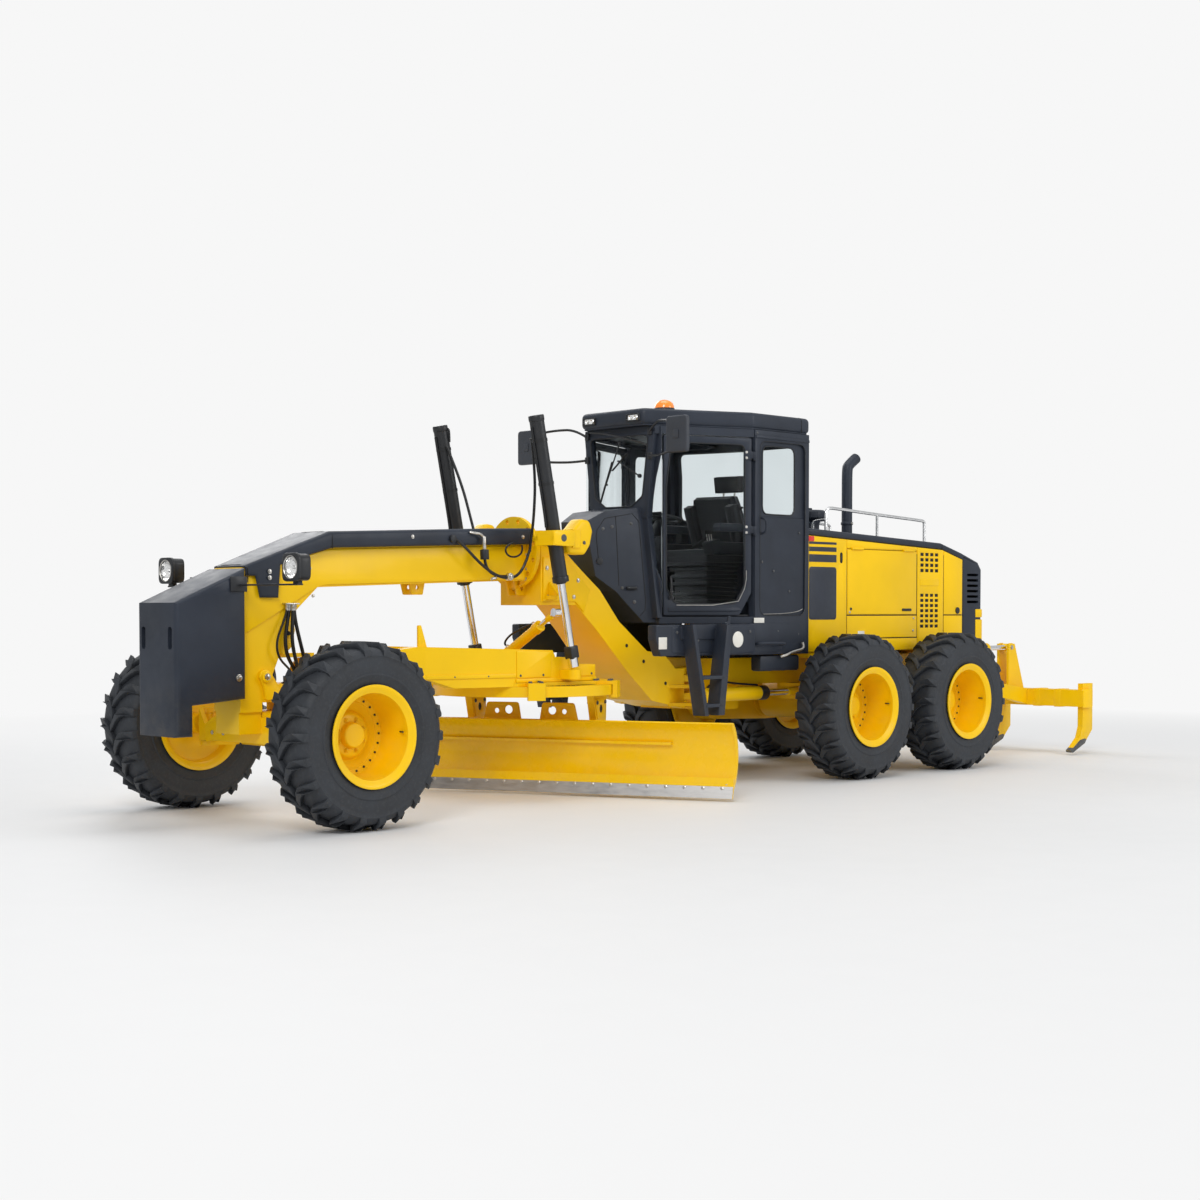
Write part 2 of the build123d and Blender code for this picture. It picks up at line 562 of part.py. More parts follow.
with BuildPart() as blade_carrier:
    disc(blade_section(ARM_ALONG + ARM_WIDTH / 2 + 60), (-TIP_BACK, TIP_Z), TIP_PIN_RADIUS,
         2 * ARM_ALONG + ARM_WIDTH + 120)
    for along in (-ARM_ALONG, ARM_ALONG):
        for cheek in (ARM_WIDTH / 2 + 5 + 35, -ARM_WIDTH / 2 - 5):
            plate(
                blade_section(along + cheek),
                [(-TIP_BACK - 50, TIP_Z - 55), (-TIP_BACK - 50, TIP_Z + 55), (-140, RAIL_HIGH_Z + 45),
                 (-125, RAIL_HIGH_Z + 45),
                 (-125, RAIL_LOW_Z - 45), (-140, RAIL_LOW_Z - 45)],
                35,
            )
        for rail_z in (RAIL_LOW_Z, RAIL_HIGH_Z):
            plate(
                blade_section(along + ARM_WIDTH / 2 + 40),
                [(-125, rail_z - 45), (-98, rail_z - 45), (-98, rail_z - 26), (-115, rail_z - 26),
                 (-115, rail_z + 26),
                 (-98, rail_z + 26), (-98, rail_z + 45), (-125, rail_z + 45)],
                ARM_WIDTH + 80,
            )
save(blade_carrier, "blade_carrier")

with BuildPart() as moldboard:
    half = BLADE_LENGTH / 2
    top_z = BLADE_LOW_Z + BLADE_HEIGHT - 10
    with BuildSketch(blade_section(half)) as section:
        with BuildLine():
            front_arc = ThreePointArc((BLADE_AHEAD - 20, 120), (-62, 330), (BLADE_AHEAD + 5, top_z))
            Line((BLADE_AHEAD + 5, top_z), (BLADE_AHEAD - 12, top_z + 10))
            ThreePointArc((BLADE_AHEAD - 12, top_z + 10), (-62 - BLADE_PLATE, 330), (BLADE_AHEAD - 42, 108))
            Line((BLADE_AHEAD - 42, 108), (BLADE_AHEAD - 20, 120))
        make_face()
    extrude(section.sketch, amount=BLADE_LENGTH)
    # Cutting edge bolted low on the front
    plate(
        blade_section(half),
        [(BLADE_AHEAD, BLADE_LOW_Z), (BLADE_AHEAD + 14, BLADE_LOW_Z), (BLADE_AHEAD - 26, 190),
         (BLADE_AHEAD - 52, 175)],
        BLADE_LENGTH,
    )
    # Slide rails on the back
    for rail_z, near in ((RAIL_LOW_Z, 10), (RAIL_HIGH_Z, -20)):
        plate(
            blade_section(RAIL_REACH),
            [(-114, rail_z - 20), (-90, rail_z - 20), (-90, rail_z - 12), (near, rail_z - 12),
             (near, rail_z + 12),
             (-90, rail_z + 12), (-90, rail_z + 20), (-114, rail_z + 20)],
            2 * RAIL_REACH,
        )
save(moldboard, "moldboard")


# Hydraulic cylinders: a barrel with a bore, and a rod that runs in it
LIFT_BARREL_RADIUS = 60
LIFT_BARREL_UP = 1000
LIFT_BARREL_DOWN = 362
LIFT_ROD_RADIUS = 32
LIFT_ROD_LENGTH = 1500

for hand, sign in SIDES:
    trunnion = place(sign * TRUNNION_X, TRUNNION_Y, TRUNNION_Z)
    ball = place(sign * TRUNNION_X, LIFT_BALL_Y, LIFT_BALL_Z)
    down = (ball - trunnion).normalized()
    top = trunnion - down * LIFT_BARREL_UP
    gland = trunnion + down * LIFT_BARREL_DOWN
    with BuildPart() as lift_yoke:
        block((sign * TRUNNION_X - 108, sign * TRUNNION_X + 108), (TRUNNION_Y - 110, YOKE_REAR_Y),
              (TRUNNION_Z - 60, TRUNNION_Z + 60))
        block((sign * TRUNNION_X - 67, sign * TRUNNION_X + 67), (TRUNNION_Y - 86, YOKE_REAR_Y - 42),
              (TRUNNION_Z - 60, TRUNNION_Z + 60),
              mode=Mode.SUBTRACT)
        disc(side(sign * TRUNNION_X - 108), (TRUNNION_Y, TRUNNION_Z), 22 + FIT, 216, mode=Mode.SUBTRACT)
        disc(across(YOKE_REAR_Y - 42), (sign * TRUNNION_X, TRUNNION_Z), 30 + FIT, -42, mode=Mode.SUBTRACT)
    save(lift_yoke, "lift_yoke_" + hand)

    with BuildPart() as lift_barrel:
        bar(top, gland, LIFT_BARREL_RADIUS)
        disc(side(sign * TRUNNION_X - 104), (TRUNNION_Y, TRUNNION_Z), 22, 208)
        bar(top + down * 30, gland, LIFT_ROD_RADIUS + 1, mode=Mode.SUBTRACT)
    save(lift_barrel, "lift_barrel_" + hand)

    with BuildPart() as lift_rod:
        foot = ball - down * 2
        bar(foot - down * LIFT_ROD_LENGTH, foot, LIFT_ROD_RADIUS)
        bar(foot - down * 60, ball + down * 15, 45)
    save(lift_rod, "lift_rod_" + hand)

shift_low = place(SHIFT_LOW_X, SHIFT_Y, SHIFT_LOW_Z)
shift_top = place(SHIFT_TOP_X, SHIFT_Y, SHIFT_TOP_Z)
shift_way = (shift_top - shift_low).normalized()
with BuildPart() as shift_barrel:
    bar(shift_low + shift_way * 75, shift_low + shift_way * SHIFT_BARREL_LENGTH, 42)
    bar(shift_low, shift_low + shift_way * 80, 24)
    disc(across(SHIFT_Y - 25), (SHIFT_LOW_X, SHIFT_LOW_Z), 40, -50)
    bar(shift_low + shift_way * 82, shift_low + shift_way * (SHIFT_BARREL_LENGTH + 1), 23, mode=Mode.SUBTRACT)
    disc(across(SHIFT_Y - 25), (SHIFT_LOW_X, SHIFT_LOW_Z), 22 + FIT, -50, mode=Mode.SUBTRACT)
save(shift_barrel, "shift_barrel")
with BuildPart() as shift_rod:
    bar(shift_top - shift_way * SHIFT_ROD_LENGTH, shift_top - shift_way * 10, 22)
    disc(across(SHIFT_Y - 30), (SHIFT_TOP_X, SHIFT_TOP_Z), SHIFT_EYE_RADIUS, -60)
save(shift_rod, "shift_rod")

STEER_BARREL_LENGTH = 900
STEER_ROD_LENGTH = 850
for hand, sign in SIDES:
    front_pin = place(sign * STEER_CYL_X, STEER_FRONT_PIN_Y, STEER_CYL_Z)
    rear_pin = place(sign * STEER_CYL_X, STEER_REAR_PIN_Y, STEER_CYL_Z)
    back = Vector(0, 1, 0)
    with BuildPart() as frame_barrel:
        bar(front_pin + back * 30, front_pin + back * STEER_BARREL_LENGTH, 62)
        disc(level(STEER_CYL_Z - 60), (sign * STEER_CYL_X, STEER_FRONT_PIN_Y), 52, 120)
        bar(front_pin + back * 70, front_pin + back * (STEER_BARREL_LENGTH + 1), 31, mode=Mode.SUBTRACT)
        disc(level(STEER_CYL_Z - 60), (sign * STEER_CYL_X, STEER_FRONT_PIN_Y), STEER_PIN_RADIUS + FIT, 120,
             mode=Mode.SUBTRACT)
    save(frame_barrel, "frame_barrel_" + hand)
    with BuildPart() as frame_rod:
        bar(rear_pin - back * STEER_ROD_LENGTH, rear_pin - back * 20, 30)
        disc(level(STEER_CYL_Z - 40), (sign * STEER_CYL_X, STEER_REAR_PIN_Y), 48, 80)
    save(frame_rod, "frame_rod_" + hand)


# Rear frame, tandems, power unit
RAIL_HALF = 420
RAIL_INNER = 300
RAIL_LOW = 870
RAIL_TOP = 1110
AXLE_TUBE_RADIUS = 150
TANDEM_INNER_X = 620
TANDEM_OUTER_X = 835
TANDEM_PIN_RADIUS = 130
RIPPER_HINGE_Y = 8470
RIPPER_HINGE_Z = 800
RIPPER_PIN_RADIUS = 30
RIPPER_ARM_X = 360
TOWER_X = 190
TOWER_PIN_Y = 9600
TOWER_PIN_Z = 1140
RIPPER_CYL_Y = 8420
RIPPER_CYL_Z = 1120

with BuildPart() as rear_frame:
    rail_plan = [(RAIL_INNER - 60, 4620), (RAIL_INNER, 4620), (RAIL_HALF, 5300), (RAIL_HALF, 8300),
                 (RAIL_INNER, 8300),
                 (RAIL_INNER, 5340), (RAIL_INNER - 60, 5000)]
    for _, sign in SIDES:
        plate(level(RAIL_LOW), [(sign * x, y) for x, y in rail_plan], RAIL_TOP - RAIL_LOW)
    # Nose block with the two hinge ears between those of the front frame
    block((-RAIL_INNER, RAIL_INNER), (4620, 5000), (640, RAIL_TOP))
    for ear_z in (HINGE_UPPER_Z - 8 - HINGE_EAR, HINGE_LOWER_Z + HINGE_EAR + 8):
        plate(level(ear_z), [(-180, 4640), (180, 4640), (105, HINGE_Y), (-105, HINGE_Y)], HINGE_EAR)
        disc(level(ear_z), (0, HINGE_Y), 105, HINGE_EAR)
        disc(level(ear_z), (0, HINGE_Y), HINGE_PIN_RADIUS + FIT, HINGE_EAR, mode=Mode.SUBTRACT)
    # Room for the ends of the front frame's ears
    for ear_z in (HINGE_UPPER_Z, HINGE_LOWER_Z):
        disc(level(ear_z - 6), (0, HINGE_Y), HINGE_EAR_RADIUS + 70, HINGE_EAR + 12, mode=Mode.SUBTRACT)
    # Brackets behind the frame steering cylinders
    for _, sign in SIDES:
        for bracket_z in (STEER_CYL_Z - 75, STEER_CYL_Z + 45):
            block((sign * RAIL_INNER, sign * 560), (5600, 5780), (bracket_z, bracket_z + 30))
        block((sign * RAIL_INNER, sign * 560), (5720, 5780), (STEER_CYL_Z - 75, RAIL_LOW))
        block((sign * RAIL_INNER, sign * RAIL_HALF), (5720, 5780), (STEER_CYL_Z, RAIL_TOP))
    # Cross members and the tail plate with its ripper lugs
    for cross_y in (5700, 7700):
        block((-RAIL_INNER, RAIL_INNER), (cross_y, cross_y + 120), (RAIL_LOW, RAIL_TOP - 40))
    block((-700, 700), (8300, 8360), (620, 1250))
    for lug_x in (-RIPPER_ARM_X, RIPPER_ARM_X):
        for offset in (-75, 45):
            block((lug_x + offset, lug_x + offset + 30), (8360, RIPPER_HINGE_Y), (720, 880))
            disc(side(lug_x + offset), (RIPPER_HINGE_Y, RIPPER_HINGE_Z), 80, 30)
        disc(side(lug_x - 75), (RIPPER_HINGE_Y, RIPPER_HINGE_Z), RIPPER_PIN_RADIUS, 150)
    for lug_x in (-TOWER_X, TOWER_X):
        for offset in (-65, 40):
            block((lug_x + offset, lug_x + offset + 25), (8355, RIPPER_CYL_Y + 38),
                  (RIPPER_CYL_Z - 38, RIPPER_CYL_Z + 38))
        disc(side(lug_x - 65), (RIPPER_CYL_Y, RIPPER_CYL_Z), 24, 130)
    # Axle housing between the tandems
    disc(side(-TANDEM_OUTER_X + 30), (WHEELBASE, HUB_HEIGHT), TANDEM_PIN_RADIUS, 2 * TANDEM_OUTER_X - 60)
    disc(side(-560), (WHEELBASE, HUB_HEIGHT), 190, 1120)
    block((-330, 330), (WHEELBASE - 170, WHEELBASE + 170), (HUB_HEIGHT, RAIL_LOW + 20))
    disc(side(-600), (WHEELBASE, HUB_HEIGHT), 150, 1200)
save(rear_frame, "rear_frame")

for hand, sign in SIDES:
    with BuildPart() as tandem:
        lead = WHEELBASE - TANDEM_SPACING / 2
        trail = WHEELBASE + TANDEM_SPACING / 2
        plate(
            side(sign * TANDEM_INNER_X),
            [(lead, HUB_HEIGHT - 190), (WHEELBASE, HUB_HEIGHT - 215), (trail, HUB_HEIGHT - 190),
             (trail, HUB_HEIGHT + 190), (WHEELBASE, HUB_HEIGHT + 230), (lead, HUB_HEIGHT + 190)],
            sign * (TANDEM_OUTER_X - TANDEM_INNER_X),
        )
        for y in (lead, trail):
            disc(side(sign * TANDEM_INNER_X), (y, HUB_HEIGHT), 190, sign * (TANDEM_OUTER_X - TANDEM_INNER_X))
            disc(side(sign * TANDEM_OUTER_X), (y, HUB_HEIGHT), 110, sign * (DISC_X - 4 - TANDEM_OUTER_X))
            disc(side(sign * TANDEM_OUTER_X), (y, HUB_HEIGHT), SPINDLE_RADIUS,
                 sign * (SPINDLE_END_X - TANDEM_OUTER_X))
        disc(side(sign * TANDEM_INNER_X), (WHEELBASE, HUB_HEIGHT), TANDEM_PIN_RADIUS + FIT,
             sign * (TANDEM_OUTER_X - 20 - TANDEM_INNER_X), mode=Mode.SUBTRACT)
    save(tandem, "tandem_" + hand)

with BuildPart() as power_unit:
    block((-330, 330), (5850, 7250), (RAIL_TOP + FIT, 1950))
    block((-290, 290), (5360, 5690), (RAIL_LOW, 1150))
    block((-260, 260), (5690, 5850), (RAIL_TOP + 20, 1500))
    block((-620, 620), (7660, 7850), (RAIL_TOP + FIT, 2020))
save(power_unit, "power_unit")


# Hood, its dark top and the doors of the engine bay
HOOD_HALF = 750
HOOD_WALL = 8
HOOD_FRONT_Y = 5400
HOOD_REAR_Y = 7930
TAIL_REAR_Y = 8290
HOOD_LOW_Z = 1160
CAP_THICKNESS = 70
DOOR_FRONT_Y = 6030
DOOR_REAR_Y = 7150
DOOR_LOW_Z = 1500
DOOR_HIGH_Z = 2130
DOOR_GAP = 6
DOOR_HINGE_AXIS_X = 762
DOOR_EYE_RADIUS = 12
DOOR_PIN_RADIUS = 6
CAP_TOP = ((HOOD_FRONT_Y, 2310), (7580, 2220), (HOOD_REAR_Y, 2130))
HOOD_TOP = [(y, z - CAP_THICKNESS) for y, z in CAP_TOP]

with BuildPart() as hood_shell:
    plate(side(-HOOD_HALF), [(HOOD_FRONT_Y, HOOD_LOW_Z), *HOOD_TOP, (HOOD_REAR_Y, HOOD_LOW_Z)], 2 * HOOD_HALF)
    plate(
        side(-HOOD_HALF + HOOD_WALL),
        [(HOOD_FRONT_Y + HOOD_WALL, HOOD_LOW_Z - 5),
         *[(y + (HOOD_WALL if y == HOOD_FRONT_Y else 0), z - HOOD_WALL) for y, z in HOOD_TOP],
         (HOOD_REAR_Y + 1, HOOD_TOP[2][1] - HOOD_WALL), (HOOD_REAR_Y + 1, HOOD_LOW_Z - 5)],
        2 * (HOOD_HALF - HOOD_WALL), mode=Mode.SUBTRACT,
    )
    block((-HOOD_HALF - 1, HOOD_HALF + 1), (DOOR_FRONT_Y, DOOR_REAR_Y), (DOOR_LOW_Z, DOOR_HIGH_Z),
          mode=Mode.SUBTRACT)
    # Pins of the engine doors, held at both ends
    for _, sign in SIDES:
        for start, end in ((6120, 6240), (6940, 7060)):
            disc(across(start - 26), (sign * DOOR_HINGE_AXIS_X, DOOR_HIGH_Z), DOOR_PIN_RADIUS,
                 start - end - 52)
            for ear_y in (start - 26, end + 2):
                disc(across(ear_y), (sign * DOOR_HINGE_AXIS_X, DOOR_HIGH_Z), DOOR_EYE_RADIUS, -24)
                block((sign * (HOOD_HALF - HOOD_WALL), sign * (HOOD_HALF + 6)), (ear_y, ear_y + 24),
                      (DOOR_HIGH_Z, DOOR_HIGH_Z + 14))
    # Feet on the frame rails
    for _, sign in SIDES:
        for foot_y in (5480, 7450):
            block((sign * (RAIL_INNER + 20), sign * (HOOD_HALF - HOOD_WALL + 1)), (foot_y, foot_y + 80),
                  (RAIL_TOP + FIT, HOOD_LOW_Z + 30))
save(hood_shell, "hood_shell")

with BuildPart() as hood_top:
    cap_under = [(y, z + FIT) for y, z in HOOD_TOP] + [(HOOD_REAR_Y + 20, HOOD_TOP[2][1] + FIT)]
    cap_over = [(HOOD_REAR_Y + 20, CAP_TOP[2][1]), CAP_TOP[2], CAP_TOP[1], CAP_TOP[0]]
    plate(side(-HOOD_HALF), cap_under + cap_over, 2 * HOOD_HALF)
    # Tail housing behind the hood, open towards the radiator
    plate(
        side(-HOOD_HALF),
        [(HOOD_REAR_Y + FIT, HOOD_LOW_Z), (TAIL_REAR_Y, HOOD_LOW_Z), (TAIL_REAR_Y, 1960),
         (TAIL_REAR_Y - 60, 2040),
         (HOOD_REAR_Y + FIT, 2130)],
        2 * HOOD_HALF,
    )
    plate(
        side(-HOOD_HALF + 25),
        [(HOOD_REAR_Y - 1, HOOD_LOW_Z - 1), (TAIL_REAR_Y - 30, HOOD_LOW_Z - 1), (TAIL_REAR_Y - 30, 1950),
         (TAIL_REAR_Y - 80, 2010),
         (HOOD_REAR_Y + FIT, 2030), (HOOD_REAR_Y - 1, 2030)],
        2 * (HOOD_HALF - 25), mode=Mode.SUBTRACT,
    )
save(hood_top, "hood_top")

for hand, sign in SIDES:
    with BuildPart() as engine_door:
        block((sign * (HOOD_HALF - HOOD_WALL), sign * HOOD_HALF),
              (DOOR_FRONT_Y + DOOR_GAP, DOOR_REAR_Y - DOOR_GAP),
              (DOOR_LOW_Z + DOOR_GAP, DOOR_HIGH_Z - DOOR_GAP))
        # Hinge eyes that wrap the pins of the hood's edge
        for start, end in ((6120, 6240), (6940, 7060)):
            disc(across(start), (sign * DOOR_HINGE_AXIS_X, DOOR_HIGH_Z), DOOR_EYE_RADIUS, start - end)
            block((sign * (HOOD_HALF - 2), sign * (HOOD_HALF + 4)), (start, end),
                  (DOOR_HIGH_Z - 60, DOOR_HIGH_Z))
            disc(across(start), (sign * DOOR_HINGE_AXIS_X, DOOR_HIGH_Z), DOOR_PIN_RADIUS + FIT, start - end,
                 mode=Mode.SUBTRACT)
    save(engine_door, "engine_door_" + hand)

EXHAUST_Y = 7000
EXHAUST_RADIUS = 55
EXHAUST_TOP_Z = 3000
CLEANER_Y = 6400
RAIL_X = 600


def cap_height(y):
    (y0, z0), (y1, z1) = CAP_TOP[0], CAP_TOP[1]
    return z0 + (z1 - z0) * (y - y0) / (y1 - y0)


with BuildPart() as exhaust_and_rails:
    with BuildSketch(level(cap_height(EXHAUST_Y) - 20)) as pipe:
        with Locations((0, EXHAUST_Y)):
            Circle(EXHAUST_RADIUS)
    extrude(pipe.sketch, amount=EXHAUST_TOP_Z - cap_height(EXHAUST_Y) + 20)
    bar(place(0, EXHAUST_Y, EXHAUST_TOP_Z - 25), place(0, EXHAUST_Y + 150, EXHAUST_TOP_Z + 90),
        EXHAUST_RADIUS - 3)
    disc(level(cap_height(CLEANER_Y) - 20), (0, CLEANER_Y), 90, 200)
    disc(level(cap_height(CLEANER_Y) + 179), (0, CLEANER_Y), 170, 45)
    disc(level(cap_height(CLEANER_Y) + 223), (0, CLEANER_Y), 135, 230)
    # Handrails along both edges of the hood
    for _, sign in SIDES:
        front = place(sign * RAIL_X, 5900, 2520)
        rear = place(sign * RAIL_X, 7500, 2440)
        bar(front, rear, 18)
        for y, z in ((5920, 2519), (6700, 2480), (7480, 2441)):
            bar(place(sign * RAIL_X, y, cap_height(y) - 20), place(sign * RAIL_X, y, z), 16)
    # Keep everything above the sloping cap
    plate(
        side(-HOOD_HALF),
        [(HOOD_FRONT_Y, CAP_TOP[0][1] + FIT), (7580, CAP_TOP[1][1] + FIT), (7580, 2000),
         (HOOD_FRONT_Y, 2000)],
        2 * HOOD_HALF, mode=Mode.SUBTRACT,
    )
save(exhaust_and_rails, "exhaust_and_rails")


# Cab
CAB_HALF = 800
CAB_FRONT_Y = 3770
CAB_REAR_Y = 5390
SCREEN_Y = 3740
B_POST_Y = 4630
FLOOR_LOW_Z = 1430
FLOOR_HIGH_Z = 1490
ROOF_LOW_Z = 3150
ROOF_HIGH_Z = 3300
HEADER_LOW_Z = 3080
POST = 60
SKIRT_LOW_Z = 1150
SILL_Z = 2380
DOOR_HINGE_X = 820
DOOR_HINGE_Y = 4616
DOOR_HINGE_Z = (2230, 2890)
DOOR_HINGE_LENGTH = 60
DOOR_HINGE_PIN = 8
BEACON_X = 300
BEACON_Y = 4000
BEACON_RADIUS = 98

floor_plan = [(460, CAB_FRONT_Y), (CAB_HALF, B_POST_Y), (CAB_HALF, CAB_REAR_Y)]

with BuildPart() as cab_body:
    plate(level(FLOOR_LOW_Z), mirrored(floor_plan), FLOOR_HIGH_Z - FLOOR_LOW_Z)
    # Skirt under the floor, clear of the gooseneck as the frame bends
    plate(level(SKIRT_LOW_Z), mirrored([(690, 4360), (CAB_HALF, B_POST_Y), (CAB_HALF, CAB_REAR_Y)]),
          FLOOR_LOW_Z - SKIRT_LOW_Z)
    plate(level(SKIRT_LOW_Z), mirrored([(660, 4350), (CAB_HALF - 30, B_POST_Y),
                                        (CAB_HALF - 30, CAB_REAR_Y + 1)]),
          FLOOR_LOW_Z - SKIRT_LOW_Z, mode=Mode.SUBTRACT)
    # Mounts between the floor and the rear frame
    for _, sign in SIDES:
        for mount_y in (4680, 5060):
            block((sign * 200, sign * 290), (mount_y, mount_y + 90), (RAIL_TOP + FIT, FLOOR_LOW_Z + 5))
    # Posts
    for _, sign in SIDES:
        plate(
            across(SCREEN_Y),
            [(sign * 368, ROOF_LOW_Z), (sign * 432, ROOF_LOW_Z), (sign * 345, 2350),
             (sign * 470, FLOOR_HIGH_Z - 10),
             (sign * 400, FLOOR_HIGH_Z - 10), (sign * 280, 2350)],
            -60,
        )
        for post_y in (B_POST_Y, CAB_REAR_Y - POST):
            block((sign * (CAB_HALF - POST), sign * CAB_HALF), (post_y, post_y + POST),
                  (FLOOR_HIGH_Z - 5, ROOF_LOW_Z))
        # Lower side panel behind the door
        block((sign * (CAB_HALF - 30), sign * CAB_HALF), (B_POST_Y + POST - 5, CAB_REAR_Y - POST + 5),
              (FLOOR_HIGH_Z - 5, SILL_Z))
        # Hinge brackets of the door with their pins
        for hinge_z in DOOR_HINGE_Z:
            plate(
                level(hinge_z - FIT - 16),
                [(sign * (CAB_HALF - 5), B_POST_Y + 2), (sign * (CAB_HALF - 5), B_POST_Y + 45),
                 (sign * (DOOR_HINGE_X + 14), DOOR_HINGE_Y),
                 (sign * (DOOR_HINGE_X - 12), DOOR_HINGE_Y - 6)],
                16,
            )
            disc(level(hinge_z - FIT - 16), (sign * DOOR_HINGE_X, DOOR_HINGE_Y), 15, 16)
            disc(level(hinge_z - FIT - 16), (sign * DOOR_HINGE_X, DOOR_HINGE_Y), DOOR_HINGE_PIN,
                 DOOR_HINGE_LENGTH + 16)
    # Header frame under the roof
    plate(level(HEADER_LOW_Z), mirrored([(384, SCREEN_Y), (432, SCREEN_Y), (CAB_HALF, B_POST_Y),
                                         (CAB_HALF, CAB_REAR_Y)]),
          ROOF_LOW_Z - HEADER_LOW_Z)
    plate(level(HEADER_LOW_Z), mirrored([(360, SCREEN_Y + POST), (CAB_HALF - POST, B_POST_Y + 20),
                                         (CAB_HALF - POST, CAB_REAR_Y - POST)]),
          ROOF_LOW_Z - HEADER_LOW_Z, mode=Mode.SUBTRACT)
    # Rear wall below its window
    block((-CAB_HALF + POST - 5, CAB_HALF - POST + 5), (CAB_REAR_Y - 35, CAB_REAR_Y - 5),
          (FLOOR_HIGH_Z - 5, SILL_Z))
    # Narrow nose before the windscreen
    nose_side = [(3180, 2310), (3360, 2400), (SCREEN_Y + 30, 2450), (SCREEN_Y + 30, 1440), (3670, 1440),
                 (3440, 1710),
                 (3260, 1840), (3220, 2050)]
    with BuildSketch(level(1400)) as nose_low:
        with BuildLine():
            Polyline(*mirrored([(150, 3150), (420, SCREEN_Y + 30)]), close=True)
        make_face()
    with BuildSketch(level(2500)) as nose_high:
        with BuildLine():
            Polyline(*mirrored([(150, 3150), (270, SCREEN_Y + 30)]), close=True)
        make_face()
    with BuildSketch(side(-500)) as nose_outline:
        with BuildLine():
            Polyline(*nose_side, close=True)
        make_face()
    nose_flare = loft([nose_low.sketch, nose_high.sketch], mode=Mode.PRIVATE)
    nose_prism = extrude(nose_outline.sketch, amount=1000, mode=Mode.PRIVATE)
    add(nose_flare & nose_prism)
save(cab_body, "cab_body")

with BuildPart() as cab_roof:
    roof_plan = [(384, 3640), (CAB_HALF + 10, B_POST_Y - 20), (CAB_HALF + 10, CAB_REAR_Y + 30)]
    plate(level(ROOF_LOW_Z + FIT), mirrored(roof_plan), ROOF_HIGH_Z - ROOF_LOW_Z)
    roof_rim = cab_roof.faces().sort_by(Axis.Z)[-1].edges()
    chamfer(roof_rim, length=45)
    # Beacon
    disc(level(ROOF_HIGH_Z), (BEACON_X, BEACON_Y), BEACON_RADIUS, 25)
    disc(level(ROOF_HIGH_Z + 25), (BEACON_X, BEACON_Y), BEACON_RADIUS - 10, 80)
save(cab_roof, "cab_roof")

GLASS = 6
with BuildPart() as cab_glass:
    plate(across(SCREEN_Y + 20), mirrored([(355, HEADER_LOW_Z - FIT), (280, 2450 + FIT)]), -GLASS)
    for _, sign in SIDES:
        block((sign * (CAB_HALF - 30), sign * (CAB_HALF - 30 + GLASS)),
              (B_POST_Y + POST + FIT, CAB_REAR_Y - POST - FIT),
              (SILL_Z + FIT, HEADER_LOW_Z - FIT))
    block((-CAB_HALF + POST + FIT, CAB_HALF - POST - FIT), (CAB_REAR_Y - 30, CAB_REAR_Y - 30 + GLASS),
          (SILL_Z + FIT, HEADER_LOW_Z - FIT))
save(cab_glass, "cab_glass")

SEAT_Y = 4680
SEAT_BASE_HALF = 190
SEAT_BASE_TOP_Z = 1985
CUSHION_TOP_Z = 2110
BACK_TOP_Z = 2615
HEADREST_LOW_Z = 2640
HEADREST_HIGH_Z = 2795
STEERING_WHEEL_RADIUS = 200
column_foot = place(0, 4170, 1680)
wheel_centre = place(0, 4290, 2370)
wheel_axis = (wheel_centre - column_foot).normalized()
with BuildPart() as cab_interior:
    block((-SEAT_BASE_HALF, SEAT_BASE_HALF), (SEAT_Y, SEAT_Y + 380), (FLOOR_HIGH_Z + FIT, SEAT_BASE_TOP_Z))
    block((-60, 60), (4110, 4230), (FLOOR_HIGH_Z + FIT, 1700))
    bar(column_foot, wheel_centre, 40)
    with BuildSketch(Plane(origin=wheel_centre, z_dir=wheel_axis)) as wheel_ring:
        Circle(STEERING_WHEEL_RADIUS)
        Circle(STEERING_WHEEL_RADIUS - 28, mode=Mode.SUBTRACT)
    extrude(wheel_ring.sketch, amount=26)
    with BuildSketch(Plane(origin=wheel_centre, z_dir=wheel_axis)) as spokes:
        Rectangle(2 * STEERING_WHEEL_RADIUS - 40, 40)
        Rectangle(40, 2 * STEERING_WHEEL_RADIUS - 40)
        Circle(55)
    extrude(spokes.sketch, amount=20)
save(cab_interior, "cab_interior")

with BuildPart() as seat_cushions:
    block((-260, 260), (SEAT_Y - 60, SEAT_Y + 400), (SEAT_BASE_TOP_Z + FIT, CUSHION_TOP_Z))
    plate(
        side(-250),
        [(SEAT_Y + 285, CUSHION_TOP_Z - 5), (SEAT_Y + 400, CUSHION_TOP_Z - 5), (SEAT_Y + 540, BACK_TOP_Z),
         (SEAT_Y + 440, BACK_TOP_Z)],
        500,
    )
    for post_x in (-60, 60):
        disc(level(BACK_TOP_Z - 10), (post_x, SEAT_Y + 480), 8, HEADREST_LOW_Z - BACK_TOP_Z + 20)
    plate(
        side(-140),
        [(SEAT_Y + 425, HEADREST_LOW_Z), (SEAT_Y + 525, HEADREST_LOW_Z), (SEAT_Y + 535, HEADREST_HIGH_Z),
         (SEAT_Y + 440, HEADREST_HIGH_Z)],
        280,
    )
save(seat_cushions, "seat_cushions")

